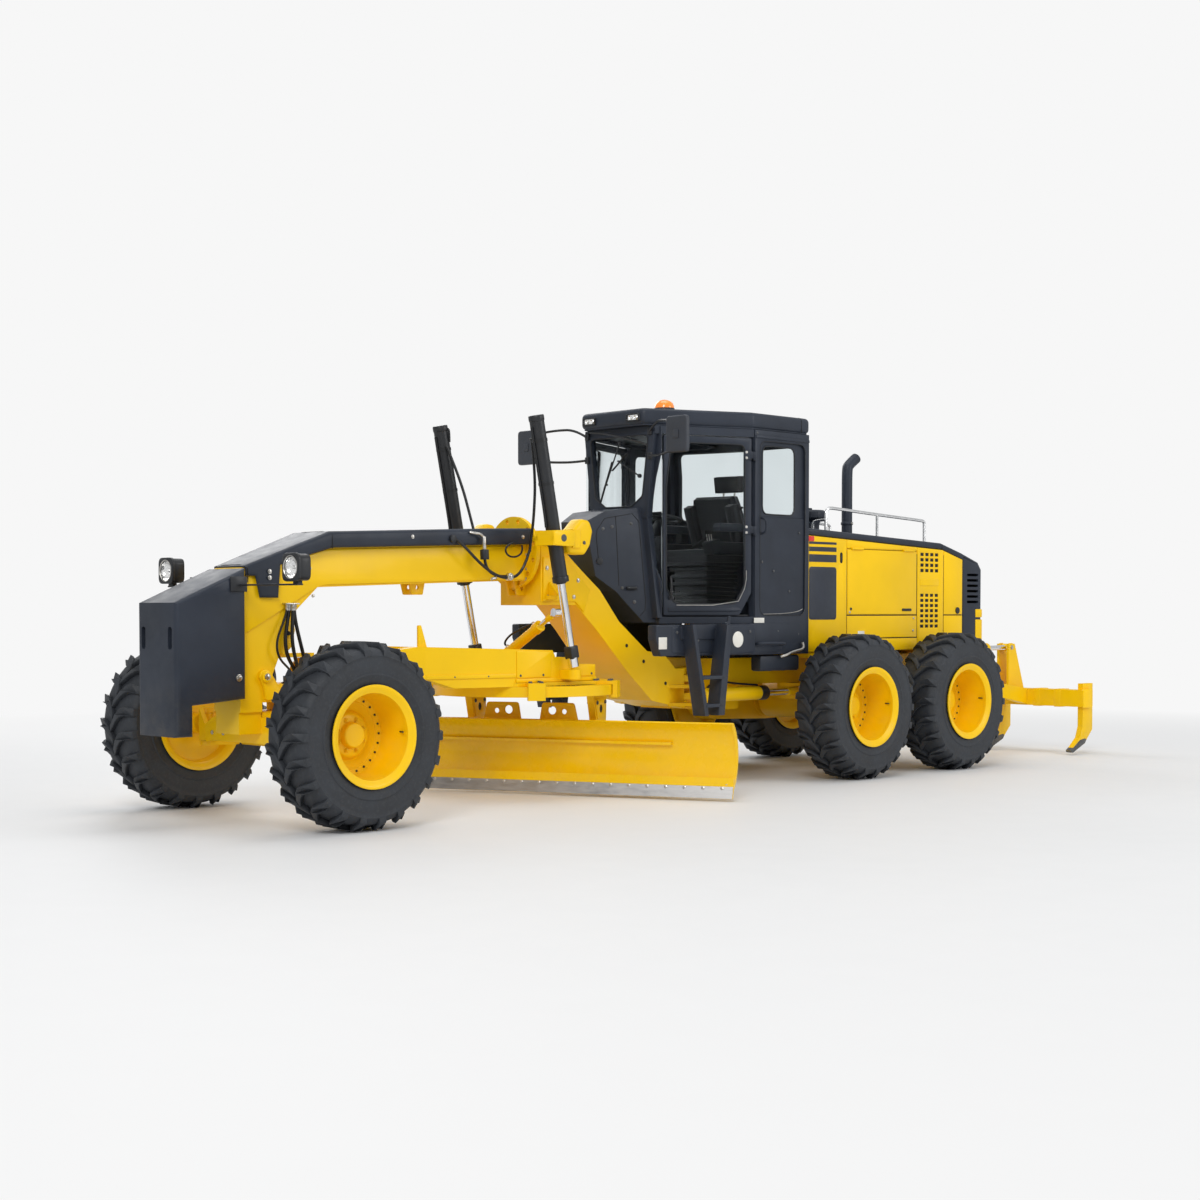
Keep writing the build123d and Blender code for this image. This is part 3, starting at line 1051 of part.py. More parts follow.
# Cab doors, hinged on the middle posts
DOOR_CORNER_X = 800
DOOR_CORNER_Y = 4612
DOOR_DEPTH = 40
door_along = Vector(-(CAB_HALF - 470), -(DOOR_CORNER_Y - 3815), 0).normalized()
DOOR_WIDTH = 862
for hand, sign in SIDES:
    with BuildPart() as cab_door:
        door_face = Plane(
            origin=place(sign * DOOR_CORNER_X, DOOR_CORNER_Y, 0),
            x_dir=(sign * door_along.X, door_along.Y, 0),
            z_dir=(door_along.Y, -sign * door_along.X, 0),
        )
        outline_points = [(10, 1700), (130, 1502), (DOOR_WIDTH, 1502), (DOOR_WIDTH, 3070), (10, 3070)]
        window_points = [(75, 1760), (165, 1600), (DOOR_WIDTH - 60, 1600), (DOOR_WIDTH - 60, 3010),
                         (75, 3010)]
        plate(door_face, outline_points, sign * DOOR_DEPTH)
        plate(door_face, window_points, sign * DOOR_DEPTH, mode=Mode.SUBTRACT)
        for hinge_z in DOOR_HINGE_Z:
            plate(
                level(hinge_z),
                [(sign * 780, 4590), (sign * 792, 4575), (sign * (DOOR_HINGE_X + 8), DOOR_HINGE_Y - 8),
                 (sign * (DOOR_HINGE_X - 8), DOOR_HINGE_Y + 4), (sign * 785, 4606)],
                DOOR_HINGE_LENGTH,
            )
            disc(level(hinge_z), (sign * DOOR_HINGE_X, DOOR_HINGE_Y), 15, DOOR_HINGE_LENGTH)
            disc(level(hinge_z), (sign * DOOR_HINGE_X, DOOR_HINGE_Y), DOOR_HINGE_PIN + FIT,
                 DOOR_HINGE_LENGTH, mode=Mode.SUBTRACT)
    save(cab_door, "cab_door_" + hand)

with BuildPart() as ladders:
    for _, sign in SIDES:
        # Long side box with brackets to the floor
        block((sign * 800, sign * 900), (3270, 4540), (1160, 1425))
        for arm_y in (4050, 4260):
            block((sign * 560, sign * 801), (arm_y, arm_y + 60), (1370, FLOOR_LOW_Z - FIT))
        # Ladder
        plate(side(sign * 905), [(3560, 1425), (3600, 1425), (3770, 650), (3720, 650)], sign * 140)
        plate(side(sign * 905), [(4000, 1425), (4070, 1425), (3970, 650), (3890, 650)], sign * 140)
        plate(side(sign * 920), [(3590, 1400), (4020, 1400), (3910, 660), (3750, 660)], sign * 110,
              mode=Mode.SUBTRACT)
        for rung_z, start, end in ((960, 3680, 3960), (720, 3730, 3930)):
            block((sign * 905, sign * 1045), (start, end), (rung_z, rung_z + 30))
        block((sign * 895, sign * 920), (3560, 4070), (1300, 1425))
save(ladders, "ladders")

with BuildPart() as mirrors:
    for _, sign in SIDES:
        block((sign * 810, sign * 1050), (3480, 3520), (2870, 3180))
        for arm_z in (2950, 3110):
            bar(place(sign * 385, SCREEN_Y - 20, arm_z), place(sign * 900, 3525, arm_z), 12)
            block((sign * 365, sign * 400), (SCREEN_Y - 30, SCREEN_Y - FIT), (arm_z - 20, arm_z + 20))
save(mirrors, "mirrors")


# Ripper at the rear
BEAM_FRONT_Y = 9700
BEAM_LOW_Z = 510
BEAM_HIGH_Z = 690
BEAM_END_X = 1100
with BuildPart() as ripper:
    block((-BEAM_END_X, BEAM_END_X), (BEAM_FRONT_Y, BEAM_FRONT_Y + 170), (BEAM_LOW_Z, BEAM_HIGH_Z))
    for arm_x in (-RIPPER_ARM_X, RIPPER_ARM_X):
        plate(
            side(arm_x - 40),
            [(RIPPER_HINGE_Y, RIPPER_HINGE_Z + 60), (RIPPER_HINGE_Y, RIPPER_HINGE_Z - 60),
             (BEAM_FRONT_Y + 10, BEAM_LOW_Z + 10),
             (BEAM_FRONT_Y + 10, BEAM_HIGH_Z)],
            80,
        )
        disc(side(arm_x - 40), (RIPPER_HINGE_Y, RIPPER_HINGE_Z), 60, 80)
        disc(side(arm_x - 40), (RIPPER_HINGE_Y, RIPPER_HINGE_Z), RIPPER_PIN_RADIUS + FIT, 80,
             mode=Mode.SUBTRACT)
    for tower_x in (-TOWER_X, TOWER_X):
        for offset in (-75, 50):
            plate(
                side(tower_x + offset),
                [(BEAM_FRONT_Y - 160, BEAM_HIGH_Z - 40), (BEAM_FRONT_Y + 160, BEAM_HIGH_Z - 40),
                 (TOWER_PIN_Y + 60, TOWER_PIN_Z + 40), (TOWER_PIN_Y - 60, TOWER_PIN_Z + 40)],
                25,
            )
            block((tower_x + offset, tower_x + offset + 25), (BEAM_FRONT_Y - 160, BEAM_FRONT_Y + 5),
                  (BEAM_HIGH_Z - 100, BEAM_HIGH_Z))
        disc(side(tower_x - 75), (TOWER_PIN_Y, TOWER_PIN_Z), 48, 30)
        disc(side(tower_x + 45), (TOWER_PIN_Y, TOWER_PIN_Z), 48, 30)
    for tine_x in (-1030, 0, 1030):
        plate(
            side(tine_x - 30),
            [(REAR_REACH - 200, 760), (REAR_REACH, 760), (REAR_REACH, 260), (9800, 120), (9560, 30),
             (9520, 45), (9700, 180),
             (REAR_REACH - 200, 300)],
            60,
        )
save(ripper, "ripper")

ripper_front = Vector(0, FRONT_AXLE_Y + RIPPER_CYL_Y, RIPPER_CYL_Z)
ripper_rear = Vector(0, FRONT_AXLE_Y + TOWER_PIN_Y, TOWER_PIN_Z)
ripper_way = (ripper_rear - ripper_front).normalized()
with BuildPart() as ripper_barrels:
    for cylinder_x in (-TOWER_X, TOWER_X):
        shift = Vector(cylinder_x, 0, 0)
        bar(ripper_front + shift + ripper_way * 85, ripper_front + shift + ripper_way * 800, 52)
        bar(ripper_front + shift + ripper_way * 10, ripper_front + shift + ripper_way * 90, 28)
        disc(side(cylinder_x - 35), (RIPPER_CYL_Y, RIPPER_CYL_Z), 42, 70)
        bar(ripper_front + shift + ripper_way * 95, ripper_front + shift + ripper_way * 801, 28,
            mode=Mode.SUBTRACT)
        disc(side(cylinder_x - 35), (RIPPER_CYL_Y, RIPPER_CYL_Z), 24 + FIT, 70, mode=Mode.SUBTRACT)
save(ripper_barrels, "ripper_barrels")
with BuildPart() as ripper_rods:
    for cylinder_x in (-TOWER_X, TOWER_X):
        shift = Vector(cylinder_x, 0, 0)
        bar(ripper_rear + shift - ripper_way * 800, ripper_rear + shift - ripper_way * 20, 27)
        disc(side(cylinder_x - 35), (TOWER_PIN_Y, TOWER_PIN_Z), 40, 70)
save(ripper_rods, "ripper_rods")
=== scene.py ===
from math import cos, pi, radians, sin, tan
import bpy
from mathutils import Matrix, Vector


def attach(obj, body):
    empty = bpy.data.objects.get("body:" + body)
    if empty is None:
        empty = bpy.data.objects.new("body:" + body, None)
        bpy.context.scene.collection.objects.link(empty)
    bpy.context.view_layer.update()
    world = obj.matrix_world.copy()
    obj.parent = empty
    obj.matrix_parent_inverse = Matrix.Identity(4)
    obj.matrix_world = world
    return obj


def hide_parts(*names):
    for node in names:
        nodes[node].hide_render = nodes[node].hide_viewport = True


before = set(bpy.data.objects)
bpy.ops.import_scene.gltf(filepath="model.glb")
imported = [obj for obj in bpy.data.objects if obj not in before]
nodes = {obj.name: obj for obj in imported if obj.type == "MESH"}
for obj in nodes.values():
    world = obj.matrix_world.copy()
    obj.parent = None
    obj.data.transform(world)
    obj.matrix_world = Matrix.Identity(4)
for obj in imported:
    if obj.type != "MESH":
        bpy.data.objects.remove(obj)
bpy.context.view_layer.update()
axleY = -4.5125  # front axle; lengths along the machine below are metres behind it
sides = ((1, "left"), (-1, "right"))
print("frame loaded", len(nodes), "nodes")


# Helpers for modelling
def at(x, y, z):
    return Vector((x, y + axleY, z))


def deselect():
    if bpy.context.mode != "OBJECT":
        bpy.ops.object.mode_set(mode="OBJECT")
    bpy.ops.object.select_all(action="DESELECT")


def only(obj):
    deselect()
    obj.select_set(True)
    bpy.context.view_layer.objects.active = obj
    return obj


def settle(obj):
    only(obj)
    bpy.ops.object.transform_apply(location=True, rotation=True, scale=True)
    return obj


def useModifier(obj, kind, **values):
    only(obj)
    modifier = obj.modifiers.new(kind.title(), kind)
    for key, value in values.items():
        setattr(modifier, key, value)
    bpy.ops.object.modifier_apply(modifier=modifier.name)
    return obj


def easeEdges(obj, width, segments=2, limit=35):
    return useModifier(obj, "BEVEL", width=width, segments=segments, limit_method="ANGLE",
                       angle_limit=radians(limit))


def cleanMesh(obj, recalculate=True):
    only(obj)
    bpy.ops.object.mode_set(mode="EDIT")
    bpy.ops.mesh.select_all(action="SELECT")
    bpy.ops.mesh.remove_doubles(threshold=0.00002)
    if recalculate:
        bpy.ops.mesh.normals_make_consistent(inside=False)
    bpy.ops.object.mode_set(mode="OBJECT")
    return obj


def block(centre, size, edge=0.004, turn=(0, 0, 0)):
    deselect()
    bpy.ops.mesh.primitive_cube_add(size=1, location=centre, rotation=turn)
    obj = bpy.context.object
    obj.scale = size
    settle(obj)
    return easeEdges(obj, edge) if edge else obj


def span(x, y, z, edge=0.004):
    centre = at((x[0] + x[1]) / 2, (y[0] + y[1]) / 2, (z[0] + z[1]) / 2)
    return block(centre, (abs(x[1] - x[0]), abs(y[1] - y[0]), abs(z[1] - z[0])), edge)


def rod(start, end, radius, sides=20, edge=0, tip=None):
    start, end = Vector(start), Vector(end)
    turn = (end - start).to_track_quat("Z", "Y").to_euler()
    deselect()
    bpy.ops.mesh.primitive_cone_add(vertices=sides, radius1=radius, radius2=radius if tip is None else tip,
                                    depth=(end - start).length, location=(start + end) / 2, rotation=turn)
    obj = settle(bpy.context.object)
    return easeEdges(obj, edge, 2, 50) if edge else obj


def hexBolt(place, way, radius=0.014, depth=0.011):
    way = Vector(way).normalized()
    head = rod(place, place + way * depth, radius, 6, 0.0015)
    washer = rod(place - way * 0.001, place + way * 0.003, radius * 1.3, 16)
    return joinParts([head, washer])


def joinParts(parts):
    deselect()
    for part in parts:
        part.select_set(True)
    bpy.context.view_layer.objects.active = parts[0]
    if len(parts) > 1:
        bpy.ops.object.join()
    return parts[0]


def copyOf(obj, matrix=None):
    twin = obj.copy()
    twin.data = obj.data.copy()
    bpy.context.scene.collection.objects.link(twin)
    if matrix is not None:
        twin.data.transform(matrix)
        if matrix.determinant() < 0:
            twin.data.flip_normals()
    return twin


acrossX = Matrix.Scale(-1, 4, (1, 0, 0))


def sidePlane(x):  # drawn with (y, z)
    return Matrix(((0, 0, 1, x), (1, 0, 0, axleY), (0, 1, 0, 0), (0, 0, 0, 1)))


def acrossPlane(y):  # drawn with (x, z)
    return Matrix(((1, 0, 0, 0), (0, 0, -1, y + axleY), (0, 1, 0, 0), (0, 0, 0, 1)))


def levelPlane(z):  # drawn with (x, y)
    return Matrix(((1, 0, 0, 0), (0, 1, 0, axleY), (0, 0, 1, z), (0, 0, 0, 1)))


def rounded(points, radius, steps=4):
    made = []
    for index, point in enumerate(points):
        corner = Vector(point)
        before = Vector(points[index - 1]) - corner
        after = Vector(points[(index + 1) % len(points)]) - corner
        reach = min(radius / tan(before.angle(after) / 2), before.length * 0.45, after.length * 0.45)
        start = corner + before.normalized() * reach
        end = corner + after.normalized() * reach
        for step in range(steps + 1):
            t = step / steps
            made.append(start * (1 - t) ** 2 + corner * 2 * t * (1 - t) + end * t * t)
    return made


def circleLoop(centre, radius, count=16):
    return [(centre[0] + radius * cos(2 * pi * k / count), centre[1] + radius * sin(2 * pi * k / count))
            for k in range(count)]


def squareLoop(left, low, right, high, radius=0.0):
    points = [(left, low), (right, low), (right, high), (left, high)]
    return rounded(points, radius) if radius else points


def area(loop):
    return sum(loop[k - 1][0] * loop[k][1] - loop[k][0] * loop[k - 1][1] for k in range(len(loop))) / 2


def sheetMetal(plane, loops, thickness, edge=0.002):
    curve = bpy.data.curves.new("outline", "CURVE")
    curve.dimensions = "2D"
    curve.fill_mode = "BOTH"
    curve.extrude = thickness / 2 - edge
    curve.bevel_depth = edge
    curve.bevel_resolution = 1 if edge < 0.01 else 3
    curve.offset = -edge
    for index, loop in enumerate(loops):
        outer = index == 0
        points = list(loop) if (area(loop) > 0) == outer else list(reversed(loop))
        spline = curve.splines.new("POLY")
        spline.points.add(len(points) - 1)
        for point, (u, v) in zip(spline.points, points):
            point.co = (u, v, 0, 1)
        spline.use_cyclic_u = True
    obj = bpy.data.objects.new("outline", curve)
    bpy.context.scene.collection.objects.link(obj)
    obj.matrix_world = plane
    only(obj)
    bpy.ops.object.convert(target="MESH")
    return cleanMesh(settle(bpy.context.object))


def spun(profile, centre, axis, steps=40):
    curve = bpy.data.curves.new("profile", "CURVE")
    curve.dimensions = "3D"
    spline = curve.splines.new("POLY")
    spline.points.add(len(profile) - 1)
    for point, (along, radius) in zip(spline.points, profile):
        point.co = (radius, 0, along, 1)
    spline.use_cyclic_u = profile[0][1] > 0.0001
    obj = bpy.data.objects.new("profile", curve)
    bpy.context.scene.collection.objects.link(obj)
    only(obj)
    bpy.ops.object.convert(target="MESH")
    obj = bpy.context.object
    bpy.ops.object.mode_set(mode="EDIT")
    bpy.ops.mesh.select_all(action="SELECT")
    bpy.ops.mesh.spin(steps=steps, angle=2 * pi, center=(0, 0, 0), axis=(0, 0, 1))
    bpy.ops.object.mode_set(mode="OBJECT")
    turn = Vector(axis).to_track_quat("Z", "Y").to_matrix().to_4x4()
    obj.matrix_world = Matrix.Translation(centre) @ turn
    return cleanMesh(settle(obj))


def pipe(points, radius, order=3, resolution=6, sides=3):
    curve = bpy.data.curves.new("pipe", "CURVE")
    curve.dimensions = "3D"
    curve.bevel_depth = radius
    curve.bevel_resolution = sides
    curve.use_fill_caps = True
    curve.resolution_u = resolution
    spline = curve.splines.new("NURBS")
    spline.points.add(len(points) - 1)
    for point, place in zip(spline.points, points):
        point.co = (*place, 1)
    spline.order_u = order
    spline.use_endpoint_u = True
    obj = bpy.data.objects.new("pipe", curve)
    bpy.context.scene.collection.objects.link(obj)
    only(obj)
    bpy.ops.object.convert(target="MESH")
    return cleanMesh(bpy.context.object)


def tube(places, radius, order=3, resolution=8, sides=2):  # through places on the machine
    return pipe([at(*place) for place in places], radius, order, resolution, sides)


def levelRing(centre, radius, count, start=0.0):
    turns = [2 * pi * (k + start) / count for k in range(count)]
    return [at(*centre) + Vector((radius * cos(turn), radius * sin(turn), 0)) for turn in turns]


def bothSides(parts):
    return parts + [copyOf(part, acrossX) for part in parts]


def removeParts(parts):
    for part in parts:
        bpy.data.objects.remove(part)


def finishPiece(parts, name, body, look, slotName=None, smooth=32):
    obj = only(joinParts(parts) if isinstance(parts, list) else parts)
    obj.name = name
    obj.data.name = name
    bpy.ops.object.shade_smooth_by_angle(angle=radians(smooth))
    obj.data.materials.clear()
    obj.data.materials.append(look)
    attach(obj, body)
    return obj


def finishAll(body, rows):
    for name, parts, look, *smooth in rows:
        finishPiece(parts, name, body, look, None, *smooth)


def finishSides(rows):  # parts made for the left are finished there and mirrored to the right
    for hand, side in sides:
        for title, parts, look, body, smooth in rows:
            copies = [copyOf(part, None if hand > 0 else acrossX) for part in parts]
            finishPiece(copies, title + "-" + side, body + side, look, None, smooth)
    for row in rows:
        removeParts(row[1])


# Finishes
def srgb(red, green, blue):
    return tuple((c / 255 / 12.92 if c < 11 else ((c / 255 + 0.055) / 1.055) ** 2.4)
                 for c in (red, green, blue))


def shade(colour, factor):
    return tuple(min(1, c * factor) for c in colour)


def newLook(name):
    look = bpy.data.materials.new(name)
    look.use_nodes = True
    tree = look.node_tree
    return look, tree, tree.nodes["Principled BSDF"]


def feed(tree, made, inputs):  # sockets are linked, other values set
    for key, value in inputs.items():
        if isinstance(value, bpy.types.NodeSocket):
            tree.links.new(value, made.inputs[key])
        else:
            made.inputs[key].default_value = value
    return made


def node(tree, kind, inputs, settings=None):
    made = tree.nodes.new(kind)
    for key, value in (settings or {}).items():
        setattr(made, key, value)
    return feed(tree, made, inputs)


def onObject(tree, stretch=(1, 1, 1)):
    place = node(tree, "ShaderNodeTexCoord", {})
    mapping = {"Scale": stretch, "Vector": place.outputs["Object"]}
    return node(tree, "ShaderNodeMapping", mapping).outputs["Vector"]


def noise(tree, place, scale, detail=3.0, rough=0.55):
    values = {"Vector": place, "Scale": scale, "Detail": detail, "Roughness": rough}
    return node(tree, "ShaderNodeTexNoise", values).outputs["Fac"]


def mapped(tree, value, low, high, newLow=0, newHigh=1):
    values = {"Value": value, "From Min": low, "From Max": high, "To Min": newLow, "To Max": newHigh}
    return node(tree, "ShaderNodeMapRange", values, {"clamp": True}).outputs["Result"]


def mixed(tree, share, *tones):
    first, second = ((*tone, 1) if isinstance(tone, tuple) else tone for tone in tones)
    return node(tree, "ShaderNodeMix", {"Factor": share, 6: first, 7: second},
                {"data_type": "RGBA"}).outputs[2]


def calculated(tree, operation, first, second):
    return node(tree, "ShaderNodeMath", {0: first, 1: second}, {"operation": operation}).outputs["Value"]


def bumped(tree, shader, height, strength, distance, more=None):
    values = {"Strength": strength, "Distance": distance, "Height": height, **(more or {})}
    feed(tree, shader, {"Normal": node(tree, "ShaderNodeBump", values).outputs["Normal"]})


paintWear = {"patches": (0.35, 0.65), "speckScale": 130, "specks": (0.66, 0.74), "speckTone": 0.55,
             "dustLevel": (0.1, 1.1), "dustScale": 6, "dustShare": (0.42, 0.75),
             "dustTone": srgb(176, 160, 130), "coatRough": 0.12, "peelDepth": 0.002}
spread = (0.3, 0.7)  # the part of a noise that is used


def paint(name, values):
    look, tree, shader = newLook(name)
    place, colour, w = onObject(tree), values["colour"], paintWear
    patches = mapped(tree, noise(tree, place, values["patchScale"]), *w["patches"])
    tone = mixed(tree, patches, shade(colour, values["dark"]), shade(colour, values["light"]))
    specks = mapped(tree, noise(tree, place, w["speckScale"], 2), *w["specks"], 0, values["specks"])
    tone = mixed(tree, specks, tone, shade(colour, w["speckTone"]))
    height = node(tree, "ShaderNodeSeparateXYZ", {"Vector": place}).outputs["Z"]
    dust = mapped(tree, noise(tree, place, w["dustScale"], 5, 0.7), *w["dustShare"], 0, values["dust"])
    film = calculated(tree, "MULTIPLY", mapped(tree, height, *w["dustLevel"], 1, 0), dust)
    rough = mapped(tree, noise(tree, place, 9, 4), *spread, values["rough"] - 0.05, values["rough"] + 0.07)
    feed(tree, shader, {"Base Color": mixed(tree, film, tone, w["dustTone"]), "Roughness": rough,
                        "Coat Weight": values["coat"], "Specular IOR Level": values["shine"],
                        "Coat Roughness": w["coatRough"]})
    edge = node(tree, "ShaderNodeBevel", {"Radius": values["edge"]}, {"samples": 4}).outputs["Normal"]
    peel = noise(tree, place, values["peelScale"], 1)
    bumped(tree, shader, peel, values["peel"], w["peelDepth"], {"Normal": edge})
    return look


def plastic(name, values):
    look, tree, shader = newLook(name)
    place, colour, rough = onObject(tree), srgb(*values["colour"]), values["rough"]
    patches = mapped(tree, noise(tree, place, 4, 4), *spread)
    worn = mapped(tree, noise(tree, place, 25, 3), *spread, rough - 0.06, rough + 0.06)
    feed(tree, shader, {"Base Color": mixed(tree, patches, shade(colour, 0.85), shade(colour, 1.2)),
                        "Roughness": worn})
    bumped(tree, shader, noise(tree, place, values["grain"], 2), values["bump"], 0.001)
    return look


def metal(name, values):
    look, tree, shader = newLook(name)
    colour, rough = values["colour"], values["rough"]
    streaks = mapped(tree, noise(tree, onObject(tree, values["stretch"]), values["streaks"], 4, 0.65),
                     *spread)
    feed(tree, shader, {"Base Color": mixed(tree, streaks, shade(colour, 0.82), shade(colour, 1.1)),
                        "Roughness": mapped(tree, streaks, 0, 1, rough * 0.8, rough * 1.3), "Metallic": 1.0})
    bumped(tree, shader, streaks, 0.05, 0.001)
    return look


tyreTones = {"dark": srgb(34, 37, 42), "light": srgb(48, 52, 58), "worn": srgb(70, 73, 77),
             "rough": (0.55, 0.72)}
clothTones = {"dark": srgb(26, 27, 30), "light": srgb(62, 64, 70), "rough": 0.9, "sheen": 0.35, "bump": 0.35}


def tyreRubber(name, t):
    look, tree, shader = newLook(name)
    place = onObject(tree)
    patches = mapped(tree, noise(tree, place, 5, 5, 0.6), 0.35, 0.68)
    worn = mapped(tree, noise(tree, place, 42, 4, 0.7), 0.5, 0.78, 0, 0.4)
    tone = mixed(tree, worn, mixed(tree, patches, t["dark"], t["light"]), t["worn"])
    feed(tree, shader, {"Base Color": tone, "Roughness": mapped(tree, patches, 0, 1, *t["rough"])})
    bumped(tree, shader, noise(tree, place, 260, 3), 0.25, 0.001)
    return look


def seatCloth(name, t):
    look, tree, shader = newLook(name)
    place = onObject(tree)
    waves = [node(tree, "ShaderNodeTexWave", {"Vector": place, "Scale": scale, "Distortion": bend},
                  {"wave_type": "BANDS", "bands_direction": course}).outputs["Fac"]
             for course, scale, bend in (("DIAGONAL", 90, 1.5), ("X", 110, 1.2))]
    threads = calculated(tree, "MULTIPLY", *waves)
    feed(tree, shader, {"Base Color": mixed(tree, threads, t["dark"], t["light"]), "Roughness": t["rough"],
                        "Sheen Weight": t["sheen"]})
    bumped(tree, shader, threads, t["bump"], 0.0015)
    return look


def clearGlass(name, values):
    look, tree, shader = newLook(name)
    place, tint, rough = onObject(tree), values["tint"], values["rough"]
    haze = mapped(tree, noise(tree, place, 2.5, 4), 0.4, 0.75, rough, rough + 0.03)
    tone = mixed(tree, mapped(tree, noise(tree, place, 1.3, 2), *spread), shade(tint, 0.95), tint)
    feed(tree, shader, {"Base Color": tone, "Roughness": haze, "Transmission Weight": 1.0,
                        "IOR": values["ior"]})
    return look


def glowing(name, values):
    look, tree, shader = newLook(name)
    colour = srgb(*values["colour"])
    ripple = mapped(tree, noise(tree, onObject(tree), 60, 2), *spread)
    feed(tree, shader, {"Base Color": mixed(tree, ripple, shade(colour, 0.8), colour), "Roughness": 0.18,
                        "Coat Weight": 0.6, "Emission Color": (*colour, 1),
                        "Emission Strength": values["strength"]})
    bumped(tree, shader, ripple, 0.2, 0.002)
    return look


def makeLooks(maker, keys, table):
    return [maker(name, dict(zip(keys, row))) for name, row in table.items()]


yellow = srgb(252, 203, 3)
paintKeys = ("colour", "patchScale", "dark", "light", "shine", "specks", "dust", "rough", "coat", "edge",
             "peelScale", "peel")
yellowPaint, bladePaint, darkPaint, blackPaint, greyIron = makeLooks(paint, paintKeys, {
    "yellowPaint": (yellow, 1.4, 0.93, 1.02, 0.22, 0.05, 0.16, 0.38, 0.08, 0.005, 320, 0.05),
    "bladePaint": (yellow, 0.9, 0.93, 1.03, 0.3, 0.04, 0.1, 0.26, 0.3, 0.004, 180, 0.06),
    "darkPaint": (srgb(42, 48, 59), 1.8, 0.8, 1.12, 0.3, 0.06, 0.2, 0.48, 0.05, 0.006, 420, 0.08),
    "blackPaint": (srgb(26, 28, 32), 2.5, 0.8, 1.25, 0.5, 0.08, 0.2, 0.45, 0.1, 0.004, 420, 0.1),
    "greyIron": (srgb(84, 86, 88), 5, 0.7, 1.15, 0.5, 0.2, 0.25, 0.6, 0, 0.004, 120, 0.25),
})
plasticKeys = ("colour", "rough", "grain", "bump")
decalBlue, blackPlastic, darkPlastic, hoseRubber, pureBlack, paleLabel = makeLooks(plastic, plasticKeys, {
    "decalBlue": ((36, 42, 54), 0.38, 500, 0.02),
    "blackPlastic": ((30, 32, 36), 0.5, 600, 0.18),
    "darkPlastic": ((52, 56, 64), 0.5, 500, 0.15),
    "hoseRubber": ((20, 21, 23), 0.42, 260, 0.12),
    "pureBlack": ((12, 12, 13), 0.7, 200, 0.1),
    "paleLabel": ((226, 224, 216), 0.45, 300, 0.03),
})
metalKeys = ("colour", "streaks", "rough", "stretch")
boltSteel, rodChrome, edgeSteel, mirrorSilver, lampReflector, railSteel = makeLooks(metal, metalKeys, {
    "boltSteel": ((0.62, 0.6, 0.56), 70, 0.32, (1, 1, 1)),
    "rodChrome": ((0.86, 0.86, 0.87), 24, 0.12, (1, 1, 0.12)),
    "edgeSteel": ((0.45, 0.44, 0.43), 40, 0.4, (0.2, 0.2, 1)),
    "mirrorSilver": ((0.9, 0.9, 0.92), 2, 0.04, (1, 1, 1)),
    "lampReflector": ((0.93, 0.93, 0.91), 30, 0.16, (1, 1, 1)),
    "railSteel": ((0.8, 0.8, 0.8), 18, 0.24, (1, 1, 1)),
})
windowGlass, lensGlass = makeLooks(clearGlass, ("tint", "rough", "ior"), {
    "windowGlass": ((0.86, 0.9, 0.91), 0.0, 1.12), "lensGlass": ((0.97, 0.97, 0.97), 0.02, 1.3),
})
amber, redLens = makeLooks(glowing, ("colour", "strength"), {
    "amber": ((255, 140, 40), 0.35), "redLens": ((214, 34, 18), 0.2),
})
rubber, cloth = tyreRubber("tyreRubber", tyreTones), seatCloth("seatCloth", clothTones)
print("finishes ready")

nodeLooks = {yellowPaint: ["front_axle", "front_frame", "tie_rod", "drawbar_pivot", "drawbar", "circle",
                           "blade_carrier", "shift_barrel", "rear_frame", "hood_shell", "ripper",
                           "ripper_barrels", "tandem_left", "tandem_right", "lift_yoke_left",
                           "lift_yoke_right", "lean_yoke_left", "lean_yoke_right", "knuckle_left",
                           "knuckle_right", "frame_barrel_left", "frame_barrel_right", "engine_door_left",
                           "engine_door_right"], bladePaint: ["moldboard"],
             darkPaint: ["beam_cover", "front_weight", "hood_top", "cab_body", "cab_roof", "cab_door_left",
                         "cab_door_right", "ladders"], blackPaint: ["lift_barrel_left", "lift_barrel_right",
        "exhaust_and_rails", "mirrors", "headlamps"], blackPlastic: ["cab_interior"],
             greyIron: ["power_unit"], rodChrome: ["lift_rod_left", "lift_rod_right", "shift_rod",
        "ripper_rods", "frame_rod_left", "frame_rod_right"], windowGlass: ["cab_glass"],
             cloth: ["seat_cushions"], rubber: [name for name in nodes if name.startswith("tyre")],}
nodeLooks[yellowPaint] += [name for name in nodes if name.startswith("rim")]
for look, names in nodeLooks.items():
    for name in names:
        nodes[name].data.materials.clear()
        nodes[name].data.materials.append(look)


# Wheels
wheelSizes = {"hubHeight": 0.665, "track": 1.1, "radius": 0.665, "carcass": 0.63, "half": 0.2225,
              "steps": 64, "lugs": 22, "lugBase": 0.0195, "lugDepth": 0.043, "crown": 0.155, "sunk": 0.006,
              "shoulder": 0.062, "nuts": 8, "nutRing": 0.116, "nutFace": -0.06, "rimBolts": 24,
              "boltRing": 0.268, "boltFace": -0.0915}
wheelRows = (("front", 0.0), ("rear_leading", 5.7175), ("rear_trailing", 7.2425))
tyreWall = [(0.19, 0.345), (0.2, 0.372), (0.208, 0.4), (0.2165, 0.428), (0.2195, 0.432), (0.219, 0.442),
            (0.2145, 0.447), (0.2175, 0.49), (0.2185, 0.53), (0.215, 0.56), (0.2185, 0.566),
            (0.2165, 0.575), (0.205, 0.592), (0.186, 0.61), (0.15, 0.622), (0.08, 0.628),
            (0, wheelSizes["carcass"])]
lugPlan = [(-0.012, -0.142), (0.012, -0.118), (0.06, -0.062), (0.112, -0.022), (0.155, -0.012),
           (0.2215, -0.008), (0.2215, 0.058), (0.155, 0.056), (0.1, 0.04), (0.045, -0.006),
           (-0.012, -0.088)]
